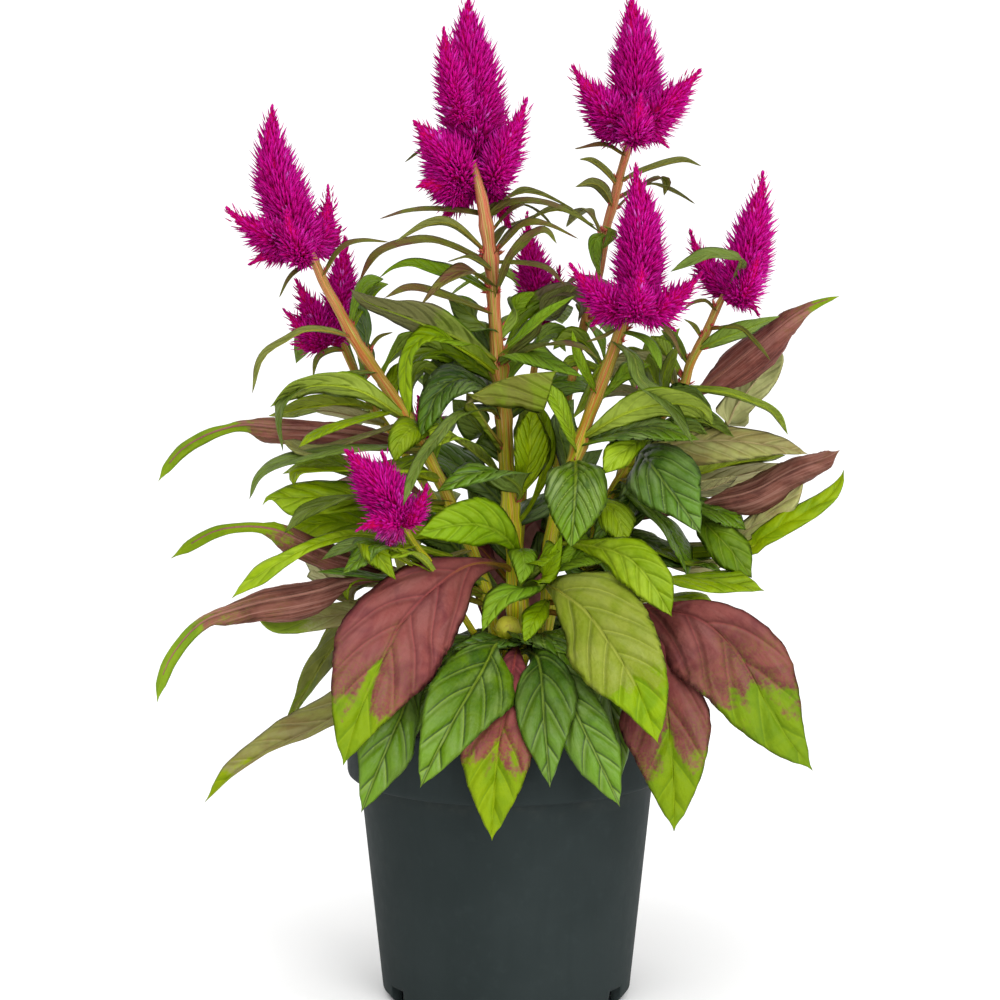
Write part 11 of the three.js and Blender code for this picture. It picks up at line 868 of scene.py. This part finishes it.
def pot_material():
    n = Nodes("pot_plastic")
    o = n.obj()
    sp = n.t.nodes.new("ShaderNodeSeparateXYZ")
    n.t.links.new(o, sp.inputs[0])
    big = n.noise(o, 18.0, 3.0, 0.5)
    mott = n.noise(o, 160.0, 3.0, 0.6)
    grain = n.noise(o, 2600.0, 2.0, 0.5)
    flow = n.noise(n.xyz(n.math("MULTIPLY", sp.outputs[0], 1.0), n.math("MULTIPLY", sp.outputs[1], 1.0), n.math("MULTIPLY", sp.outputs[2], 0.12)), 220.0, 2.0, 0.5)
    col = n.mix(n.step(big, 0.3, 0.7), C(42, 50, 50), C(48, 56, 56))
    col = n.mix(n.math("MULTIPLY", n.step(mott, 0.5, 0.75), 0.22), col, C(58, 67, 67))
    col = n.mix(n.math("MULTIPLY", n.step(flow, 0.52, 0.7), 0.20), col, C(40, 48, 48))
    # painted highlight: a lighter, mottled colour just under the band and on the foot
    z = sp.outputs[2]
    painted_highlight_mask = n.math("MULTIPLY", n.math("ADD", n.step(z, 0.010, 0.0, 0.0, 0.4), n.math("MULTIPLY", n.step(z, 0.084, 0.0915), n.step(z, 0.093, 0.092))), n.step(mott, 0.35, 0.7))
    col = n.mix(n.math("MULTIPLY", painted_highlight_mask, 0.25), col, C(70, 72, 66))
    n.set("Base Color", col)
    n.set("Roughness", n.step(mott, 0.3, 0.7, 0.58, 0.68, "LINEAR"))
    n.p.inputs["Specular IOR Level"].default_value = 0.06
    n.bump(n.math("ADD", n.math("MULTIPLY", grain, 0.25), n.math("MULTIPLY", mott, 0.75)), 0.14, 0.0006)
    return n.m


def soil_material():
    n = Nodes("potting_mix")
    o = n.obj()
    a = n.noise(o, 260.0, 5.0, 0.65)
    b = n.voronoi(o, 420.0)
    c = n.noise(o, 60.0, 3.0, 0.5)
    _, rnd, kind = n.attr("lb")
    col = n.mix(n.step(a, 0.35, 0.65), C(38, 27, 20), C(70, 50, 36))
    col = n.mix(n.math("MULTIPLY", n.step(b, 0.15, 0.5), 0.5), col, C(52, 38, 28))
    col = n.mix(n.math("MULTIPLY", n.step(c, 0.5, 0.7), 0.4), col, C(88, 66, 46))
    col = n.mix(n.step(rnd, 0.6, 1.0, 0.0, 0.5), col, C(104, 76, 50))
    col = n.mix(n.step(kind, 0.5, 0.6), col, C(206, 200, 186))
    n.set("Base Color", col)
    n.set("Roughness", 0.92)
    n.bump(n.math("ADD", a, n.math("MULTIPLY", b, 0.6)), 0.9, 0.0012)
    return n.m


def bud_material():
    n = Nodes("bud")
    cx, cy, u = n.attr("la")
    nz = n.noise(n.obj(), 420.0, 3.0, 0.6)
    col = n.mix(n.step(u, 0.1, 0.8), C(214, 230, 30), C(246, 240, 70))
    col = n.mix(n.math("MULTIPLY", n.step(nz, 0.45, 0.7), 0.5), col, C(200, 160, 50))
    n.set("Base Color", col)
    n.set("Roughness", 0.5)
    n.bump(nz, 0.5, 0.0005)
    return n.m


MAT = {k: leaf_material(k) for k in PALETTE}
MAT.update(stem=stem_material(), axil=axil_material(), plume=plume_material(), core=core_material(),
           pot=pot_material(), soil=soil_material(), bud=bud_material())
SLOT = {"H": "leaf_green", "W": "leaf_olive", "B": "leaf_green", "M": "leaf_maroon", "O": "leaf_olive", "D": "leaf_dark_green", "G": "leaf_green", "L": "leaf_olive",
        "K": "leaf_green", "T": "leaf_green", "R": "leaf_rolled", "P": "leaf_olive", "Y": "leaf_green"}
KINDS = list(PALETTE)


# ------------------------------------------------------------------ plumes
def spindle(base, tip, mid_out, width, thick, side):
    """Vertices of closed, pointed bracts: two three-sided rings between a base point and a needle tip.
    All arguments are arrays with one row per bract."""
    d = unit(tip - base)
    side = unit(side - d * np.sum(side * d, axis=1, keepdims=True))
    keel = np.cross(side, d)
    rings = []
    for s, k in ((0.30, 0.85), (0.64, 0.62)):
        c = base + (tip - base) * s + mid_out * (4 * s * (1 - s))
        rings += [c + side * (width * k)[:, None], c - side * (width * k)[:, None], c + keel * (thick * k)[:, None]]
    v = np.stack([base] + rings + [tip], 1)
    return v


SPINDLE_F = np.array([[0, 1, 2], [0, 2, 3], [0, 3, 1],
                      [1, 4, 5], [1, 5, 2], [2, 5, 6], [2, 6, 3], [3, 6, 4], [3, 4, 1],
                      [7, 5, 4], [7, 6, 5], [7, 4, 6]])[:, ::-1]
SPINDLE_U = np.array([0, .3, .3, .3, .64, .64, .64, 1.0])
SPINDLE_SIDE = np.array([0, 1, -1, 0, 1, -1, 0, 0.0])


def plume(name, lobes, density, tepals, seed):
    """A dense coat of broad bracts and, through it, needle bracts that stand out past it."""
    bld = Build()
    rs = np.random.RandomState(seed)
    for li, (P, R) in enumerate(lobes):
        P, R = np.array(P, float), np.array(R, float)
        t, s, L = even(P, 160)
        pts = catmull(P, t)
        tan = unit(np.gradient(pts, axis=0))
        rad = np.maximum(pchip(R, t), 0.3)
        u = s / L
        kc = np.linspace(0, 159, 14).astype(int)
        tube(bld, pts[kc], np.maximum(rad[kc] * 0.56 - 0.5, 0.3) * (1 - 0.6 * (u[kc] > 0.97)), 10, 1)
        area = np.concatenate([[0], np.cumsum((rad[1:] + 1.0) * np.diff(s) * 2 * np.pi)])
        for layer in (0, 1):
            n = max(8, int(area[-1] * density * (1.0 if layer == 0 else 0.84)))
            a = (np.arange(n) + 0.5) / n * area[-1]
            sk = np.interp(a, area, s)
            ang = np.arange(n) * 2.39996 + rs.uniform(0, 6.28) + rs.normal(0, 0.10, n)
            ix = np.clip(np.searchsorted(s, sk), 0, 159)
            c, d = pts[ix], tan[ix]
            ref = np.where(np.abs(d[:, :1]) < 0.9, [[1.0, 0, 0]], [[0, 1.0, 0]])
            e1 = unit(ref - d * np.sum(ref * d, axis=1, keepdims=True))
            e2 = np.cross(d, e1)
            out = e1 * np.cos(ang)[:, None] + e2 * np.sin(ang)[:, None]
            uk = sk / L
            r = rad[ix]
            base_lean = 34 if layer == 0 else 16
            top_lean = 40 if layer == 0 else 56
            lean = np.radians(base_lean + top_lean * np.clip(uk, 0, 1) ** 1.4 + rs.normal(0, 5, n)) - np.radians(30) * np.clip(1 - uk / 0.16, 0, 1)
            direc = unit(out * np.cos(lean)[:, None] + d * np.sin(lean)[:, None])
            if layer == 0:
                length = np.clip(0.66 * r / np.maximum(np.cos(lean), 0.45), 2.6, 8.0) * rs.uniform(0.86, 1.14, n)
                reach = r * rs.uniform(0.80, 0.93, n) - 0.5
            else:
                length = np.clip(0.92 * r / np.maximum(np.cos(lean), 0.45), 3.8, 11.0) * rs.uniform(0.9, 1.12, n)
                reach = r * rs.uniform(0.93, 1.06, n) + rs.uniform(0.5, 2.3, n)
            tip = c + out * np.maximum(reach, 0.4)[:, None]
            tip = tip + d * (np.clip(uk - 0.84, 0, 1) * 12)[:, None] * rs.uniform(0.3, 1.0, n)[:, None]
            base = tip - direc * length[:, None]
            fr = rs.uniform(0, 1, n)
            count = tepals if layer == 0 else 1
            for k in range(count):
                spin = 2 * np.pi * k / count + rs.uniform(0, 1.2, n)
                s1 = unit(np.cross(direc, d) + 1e-6)
                s2 = np.cross(direc, s1)
                off = s1 * np.cos(spin)[:, None] + s2 * np.sin(spin)[:, None]
                if layer == 0:
                    splay = rs.uniform(0.06, 0.20, n)
                    ln = length * rs.uniform(0.80, 1.0, n)
                    wid = rs.uniform(0.86, 1.25, n) * np.clip(length / 5.5, 0.6, 1.1)
                else:
                    splay = rs.uniform(-0.05, 0.05, n)
                    ln = length
                    wid = rs.uniform(0.48, 0.72, n) * np.clip(length / 7.0, 0.6, 1.1)
                tb = base + off * 0.3 * (layer == 0)
                tt = base + direc * ln[:, None] + off * (splay * ln)[:, None]
                vv = spindle(tb, tt, off * (0.05 * ln)[:, None], wid, wid * 0.5, np.cross(direc, off))
                m = len(vv)
                faces = (SPINDLE_F[None] + 8 * np.arange(m)[:, None, None]).reshape(-1, 3)
                la = np.stack([np.tile(SPINDLE_SIDE, (m, 1)), np.zeros((m, 8)), np.tile(SPINDLE_U, (m, 1))], -1).reshape(-1, 3)
                rnd = rs.uniform(0, 1, m)
                # mask of the painted crimson glow: strongest low on each lobe, in soft patches, weaker on the needles
                q = tt * 0.11
                cloud = 0.5 + 0.25 * (np.sin(q[:, 0] * 1.7 + li) + np.sin(q[:, 2] * 1.3 + q[:, 1] + 2.0 * li))
                painted_glow = np.clip(1.15 - uk * 1.3, 0, 1) * np.clip(cloud, 0.1, 1.0) * rs.uniform(0.5, 1.0, m) * (1.0 if layer == 0 else 0.7)
                lb = np.stack([np.repeat(painted_glow, 8), np.repeat(rnd, 8), np.full(m * 8, li)], -1)
                pale = ((fr > 0.985) & (k < 2)).astype(float) * (layer == 0)
                if name == "front_left":
                    pale = np.maximum(pale, np.clip((203.0 - tt[:, 2]) / 9.0, 0, 1) * rs.uniform(0.3, 1.0, m))
                lc = np.stack([np.zeros(m * 8), np.repeat(pale, 8), np.full(m * 8, float(layer))], -1)
                bld.add(vv.reshape(-1, 3), faces, 0, True, la=la, lb=lb, lc=lc)
    return bld


# ------------------------------------------------------------------ stems
def stem_build(name, P, R, seed):
    bld = Build()
    rs = np.random.RandomState(seed)
    P = np.array(P, float)
    n = max(24, int(np.sum(np.linalg.norm(np.diff(P, axis=0), axis=1)) / 2.4))
    t, s, L = even(P, n)
    pts = catmull(P, t)
    if pts[0][2] < 110:                      # run down into the potting mix
        pts = np.vstack([pts[0] + (pts[0] - pts[1]) / np.linalg.norm(pts[0] - pts[1]) * 8, pts])
        t = np.concatenate([[0], t])
    rad = pchip(R, t)
    ph = rs.uniform(0, 6.28, 4)
    # swollen where leaves leave the stem
    z = pts[:, 2]
    for row in LEAVES:
        if row[1] == name:
            q = np.array(row[4][0])
            dist = np.linalg.norm(pts - q, axis=1)
            rad = rad * (1 + 0.10 * np.exp(-(dist / 3.2) ** 2))
    ribs = 9
    sides = 27 if name == "main" else 18

    def ridge(ang, k):
        return 1 + 0.055 * np.cos(ribs * ang + ph[0] + 0.3 * np.sin(z[k] / 40)) + 0.03 * np.sin(4 * ang + ph[1] + z[k] / 30)
    tube(bld, pts, rad, sides, 0, u=t, ridges=ridge,
         lb=np.stack([np.zeros(len(z)), np.full(len(z), rs.uniform(0, 1)), z], 1))
    return bld, pts, rad, t


def scales(bld, mat, centre, direc, out, n, size, rs):
    """A tuft of small pointed bracts."""
    base = np.repeat(centre[None], n, 0) + rs.normal(0, 0.35, (n, 3))
    dd = unit(direc[None] * rs.uniform(0.5, 1.2, (n, 1)) + out[None] * rs.uniform(0.5, 1.1, (n, 1)) + rs.normal(0, 0.28, (n, 3)))
    tip = base + dd * (size * rs.uniform(0.6, 1.1, (n, 1)))
    w = size * rs.uniform(0.10, 0.17, n)
    vv = spindle(base, tip, out[None] * size * 0.05 * np.ones((n, 1)), w, w * 0.6, rs.normal(0, 1, (n, 3)))
    faces = (SPINDLE_F[None] + 8 * np.arange(n)[:, None, None]).reshape(-1, 3)
    la = np.stack([np.tile(SPINDLE_SIDE, (n, 1)), np.zeros((n, 8)), np.tile(SPINDLE_U, (n, 1))], -1).reshape(-1, 3)
    lb = np.stack([np.zeros(n * 8), np.repeat(rs.uniform(0, 1, n), 8), np.zeros(n * 8)], -1)
    bld.add(vv.reshape(-1, 3), faces, mat, True, la=la, lb=lb)


def bud_build(bld, mat, rs):
    """The fat pale bud low between the front leaves, on a short stalk."""
    k = np.linspace(0, 1, 14)
    top, foot = np.array([0.9, -20.0, 161.0]), np.array([0.4, -19.0, 151.0])
    pts = foot + (top - foot) * k[:, None]
    tube(bld, pts, 4.9 * np.sqrt(np.maximum(0.004, 1 - (2 * k - 1) ** 2)) ** 0.8, 20, mat, u=k,
         ridges=lambda a, i: 1 + 0.05 * np.cos(7 * a + i * 0.3))
    tube(bld, np.array([[0.4, -5.0, 146.0], [0.4, -9.0, 147.0], [0.4, -14.0, 148.5], [0.4, -18.0, 151.0], [0.4, -19.0, 152.5]]), [1.6, 1.5, 1.4, 1.4, 1.2], 10, mat, u=np.zeros(5))
    for a in np.linspace(0, 2 * np.pi, 9, endpoint=False):
        o = np.array([math.cos(a), math.sin(a), 0.0])
        scales(bld, mat, foot + o * 2.6 + np.array([0, 0, 1.2]), np.array([0, 0, 1.0]), o * 0.6, 3, 6.0, rs)


# ------------------------------------------------------------------ pot and potting mix
def pot_build():
    RIM, H, BAND, BT, BL, FOOT, WALL, FZ, FT = 65.5, 118.5, 92.5, 60.1, 51.1, 48.4, 1.3, 10.0, 1.6

    def wall(z):
        return BL + (BT - BL) * (z - 4.5) / (BAND - 5.5)
    prof = [(0.0, FZ - FT), (20, FZ - FT), (47.4, FZ - FT), (48.6, FZ - FT - 0.2), (49.1, FZ - FT - 0.8), (48.2, 4.0), (46.9, 0.4), (46.9, 0.1), (47.1, 0.0),
            (FOOT - 0.4, 0.0), (FOOT, 0.15), (FOOT + 0.3, 0.45), (BL - 0.6, 2.7), (BL - 0.15, 3.3), (wall(4.0), 4.0), (wall(5.0), 5.0), (wall(7.6), 7.6), (wall(9), 9.0)]
    for z in np.linspace(14, BAND - 3.2, 16):
        prof.append((wall(z), z))
    prof += [(wall(BAND) - 0.05, BAND - 1.2), (wall(BAND) + 0.1, BAND - 0.35), (wall(BAND) + 0.5, BAND), (RIM - 2.6, BAND + 0.05), (RIM - 1.3, BAND + 0.35), (RIM - 0.65, BAND + 0.95), (RIM - 0.35, BAND + 2.0),
             (RIM - 0.25, BAND + 4.5), (RIM - 0.1, 108.5), (RIM, H - 3.2), (RIM, H - 1.6), (RIM - 0.25, H - 0.6), (RIM - 0.8, H - 0.08), (RIM - 1.5, H), (RIM - 2.2, H - 0.1), (RIM - 2.7, H - 0.6), (RIM - 2.85, H - 1.6),
             (RIM - 3.1, BAND + 6), (BT - WALL + 0.2, BAND - 1.5), (wall(60) - WALL, 60), (wall(30) - WALL, 30), (wall(14) - WALL, 14.0), (BL - 1.6, 11.4), (BL - 3.6, FZ + 0.1), (BL - 8, FZ), (20, FZ), (0.0, FZ)]
    prof = np.array(prof)
    seg = 144
    ang = list(np.linspace(0, 2 * np.pi, seg, endpoint=False))
    NW = 4.5 / 48.4
    cuts = []
    for k in range(6):
        a = (math.pi / 3) * k + 0.52
        cuts.append(a)
        ang = [x for x in ang if min(abs((x - a - e + math.pi) % (2 * math.pi) - math.pi) for e in (-NW, NW)) > 0.009]
        for e in (-NW, NW):
            ang += [(a + e - 0.0035) % (2 * math.pi), (a + e + 0.0035) % (2 * math.pi)]
    ang = np.array(sorted(ang))
    inside = np.zeros(len(ang), bool)
    for a in cuts:
        inside |= np.abs((ang - a + np.pi) % (2 * np.pi) - np.pi) < NW
    n, k = len(prof) - 2, len(ang)
    r, z = prof[1:-1, 0], prof[1:-1, 1]
    zz = np.repeat(z[:, None], k, 1)
    zz = np.where(inside[None, :] & (zz < 7.9) & (r[:, None] > 46.5), 7.9, zz)
    rr = np.repeat(r[:, None], k, 1)
    v = np.stack([rr * np.cos(ang)[None], rr * np.sin(ang)[None], zz], -1).reshape(-1, 3)
    v = np.vstack([v, [[0, 0, prof[0, 1]], [0, 0, prof[-1, 1]]]])
    q = grid_faces(n, k, ring=True)
    j = np.arange(k)
    c0 = np.stack([np.full(k, n * k), (j + 1) % k, j], -1)
    e = (n - 1) * k
    c1 = np.stack([np.full(k, n * k + 1), e + j, e + (j + 1) % k], -1)
    bld = Build()
    bld.add(v, [q, c0, c1], 0, True)
    return bld, cuts


def soil_build():
    rs = np.random.RandomState(5)
    bld = Build()
    wall = lambda z: 51.1 + 9.0 * (z - 4.5) / 87.0

    def lump(x, y):
        h = np.zeros_like(x)
        for k in range(26):
            a, f, p = rs2[k]
            h += np.sin(x * np.cos(a) * f + y * np.sin(a) * f + p) * (0.16 if k < 12 else 0.07)
        return h
    rs2 = [(rs.uniform(0, 6.28), rs.uniform(0.12, 0.5) if k < 12 else rs.uniform(0.7, 1.8), rs.uniform(0, 6.28)) for k in range(26)]
    # upper surface out to the wall, then down inside the pot
    rings, k = 46, 120
    ang = np.linspace(0, 2 * np.pi, k, endpoint=False)
    R = 62.0
    rad = np.linspace(1.2, R, rings)
    rows = []
    for r in rad:
        x, y = r * np.cos(ang), r * np.sin(ang)
        z = 107.5 - 3.0 * (r / R) ** 1.3 + lump(x, y) * (1 - 0.4 * (r / R) ** 6)
        rows.append(np.stack([x, y, z], -1))
    for r, z in ((61.3, 98.0), (57.9, 90.0), (wall(60) - 2.4, 60.0), (wall(20) - 2.4, 20.0), (wall(14) - 3.4, 13.0), (42.0, 10.6), (2.0, 10.6)):
        rows.append(np.stack([r * np.cos(ang), r * np.sin(ang), np.full(k, z)], -1))
    n = len(rows)
    v = np.vstack(rows + [[[0, 0, 107.5]], [[0, 0, 10.6]]])
    q = grid_faces(n, k, ring=True, flip=True)
    j = np.arange(k)
    c0 = np.stack([np.full(k, n * k), j, (j + 1) % k], -1)
    e = (n - 1) * k
    c1 = np.stack([np.full(k, n * k + 1), e + (j + 1) % k, e + j], -1)
    bld.add(v, [q, c0, c1], 0, True)
    # crumbs of peat, bark chips and a few white grains
    ico = bpy.data.meshes.new("ico")
    import bmesh
    bm = bmesh.new()
    bmesh.ops.create_icosphere(bm, subdivisions=1, radius=1.0)
    iv = np.array([x.co[:] for x in bm.verts])
    itri = np.array([[x.index for x in f.verts] for f in bm.faces])
    bm.free()
    bpy.data.meshes.remove(ico)
    for i in range(950):
        r = R * math.sqrt(rs.uniform(0, 1)) * 0.985
        a = rs.uniform(0, 6.28)
        x, y = r * math.cos(a), r * math.sin(a)
        zt = 107.5 - 3.0 * (r / R) ** 1.3 + float(lump(np.array([x]), np.array([y]))[0])
        sz = min(3.2, 0.5 + rs.exponential(0.55))
        kind = 1.0 if i % 24 == 0 else 0.0
        if kind:
            sz = rs.uniform(0.6, 1.3)
        sc = np.array([1.0, rs.uniform(0.5, 1.0), rs.uniform(0.3, 0.8)]) * sz
        m = rs.normal(0, 1, (3, 3))
        qm, _ = np.linalg.qr(m)
        p = iv * (1 + rs.normal(0, 0.14, (len(iv), 1))) * sc
        p = p @ qm.T + np.array([x, y, zt + sz * 0.12])
        bld.add(p, itri, 0, rs.uniform() < 0.5, lb=np.tile([0, rs.uniform(0, 1), kind], (len(p), 1)))
    return bld


# ------------------------------------------------------------------ put it together
bld, cuts = pot_build()
pot = bld.object("pot_moulded", [MAT["pot"]], "pot", "pot_plastic")
soil_build().object("potting_mix_crumbly", [MAT["soil"]], "potting_soil", "potting_mix")

for i, (name, lobes) in enumerate(PLUMES):
    hidden = name in ("back_left", "back_right")
    b = plume(name, lobes, 0.17 if not hidden else 0.12, 3, 100 + i)
    b.object(name + "_plume_bracts", [MAT["plume"], MAT["core"]], name + "_plume", "plume")

by_stem = {s[0]: [] for s in STEMS}
for i, row in enumerate(LEAVES):
    if row[3] != 1:
        by_stem[row[1]].append((i, row))

HERO = {"leaf_front_left_maroon", "leaf_front_right_maroon", "leaf_front_centre_maroon", "leaf_lower_right_maroon", "leaf_front_right_olive", "leaf_front_left_green", "leaf_front_centre_green", "leaf_lower_centre_green", "leaf_lower_left_green", "leaf_rolled_upper_left", "leaf_rolled_mid_left", "leaf_rolled_low_left", "leaf_rolled_upper_right", "leaf_rolled_lower_right", "leaf_low_left_olive", "leaf_mid_right_c"}
leaf_len = {}
for i, row in enumerate(LEAVES):
    if row[3] == 1:
        b = Build()
        big = row[0] in HERO
        leaf_len[row[0]] = leaf(b, row, 0, 62 if big else 46, 25 if big else 17, 300 + i)
        b.object(row[0] + "_blade", [MAT[row[2]]], row[0], SLOT[row[2]])

for si, (name, P, R) in enumerate(STEMS):
    b, pts, rad, t = stem_build(name, P, R, 500 + si)
    rs = np.random.RandomState(700 + si)
    kinds = ["stem"]
    for i, row in by_stem[name]:
        if row[2] not in kinds:
            kinds.append(row[2])
    kinds += ["axil", "bud"]
    for i, row in by_stem[name]:
        small = np.linalg.norm(np.array(row[4][-1]) - np.array(row[4][0])) < 34
        leaf(b, row, kinds.index(row[2]), 20 if small else 28, 9 if small else 11, 300 + i)
    # small red bracts in the axils of the upper leaves
    for i, row in enumerate(LEAVES):
        if row[1] != name:
            continue
        q = np.array(row[4][0])
        k = int(np.argmin(np.linalg.norm(pts - q, axis=1)))
        if q[2] < 198 or k < 2 or k > len(pts) - 3:
            continue
        d = unit(pts[min(k + 1, len(pts) - 1)] - pts[k - 1])
        o = np.array(row[4][1]) - q
        o = unit(o - d * (o @ d))
        scales(b, kinds.index("axil"), pts[k] + o * rad[k] * 0.8 + d * 1.2, d, o, 7 if q[2] > 248 else 4, 4.0 if q[2] > 248 else 2.6, rs)
    if name == "main":
        bud_build(b, kinds.index("bud"), rs)
    b.object(name + "_stem_and_small_leaves", [MAT[k] for k in kinds], name + "_stem", "stem")

# ------------------------------------------------------------------ floor, light and camera
me = bpy.data.meshes.new("floor")
me.from_pydata([(-40, -20, 0), (40, -20, 0), (40, 60, 0), (-40, 60, 0)], [], [(0, 1, 2, 3)])
floor = bpy.data.objects.new("floor", me)
bpy.context.scene.collection.objects.link(floor)
fm = Nodes("floor_white")
fn = fm.noise(fm.obj(), 30.0, 2.0, 0.5)
fm.set("Base Color", fm.mix(fn, (0.975, 0.975, 0.975, 1), (0.985, 0.985, 0.985, 1)))
fm.set("Roughness", 0.9)
fm.set("Specular IOR Level", 0.1)
me.materials.append(fm.m)

world = bpy.data.worlds.new("studio")
bpy.context.scene.world = world
world.use_nodes = True
bg = world.node_tree.nodes["Background"]
bg.inputs[0].default_value = (1.0, 1.0, 1.0, 1)
bg.inputs[1].default_value = 0.90


def area(name, loc, look, size, power, col=(1, 1, 1)):
    l = bpy.data.lights.new(name, "AREA")
    l.shape = "RECTANGLE"
    l.size, l.size_y = size
    l.energy = power
    l.color = col
    o = bpy.data.objects.new(name, l)
    bpy.context.scene.collection.objects.link(o)
    o.location = loc
    from mathutils import Vector
    o.rotation_euler = (Vector(look) - Vector(loc)).to_track_quat("-Z", "Y").to_euler()
    return o


sun = bpy.data.lights.new("sky_panel", "SUN")
sun.energy = 1.35
sun.angle = math.radians(50)
so = bpy.data.objects.new("sky_panel", sun)
bpy.context.scene.collection.objects.link(so)
so.rotation_euler = (math.radians(36), 0, math.radians(-10))
area("softbox_right", (1.5, -0.85, 0.5), (0, 0, 0.12), (0.5, 1.2), 6)
area("softbox_front", (0.75, -1.65, 0.85), (0, 0, 0.24), (0.9, 0.9), 13)

cam = bpy.data.cameras.new("camera")
cam.sensor_width = 36.0
cam.lens = 3941 * 36.0 / 1000
cam.clip_start, cam.clip_end = 0.05, 200
co = bpy.data.objects.new("camera", cam)
bpy.context.scene.collection.objects.link(co)
co.location = (-0.00264, -1.582, 0.4445)
co.rotation_euler = (math.radians(90 - 8.6), 0, 0)
bpy.context.scene.camera = co
bpy.context.scene.view_settings.view_transform = "Standard"
bpy.context.scene.view_settings.look = "None"
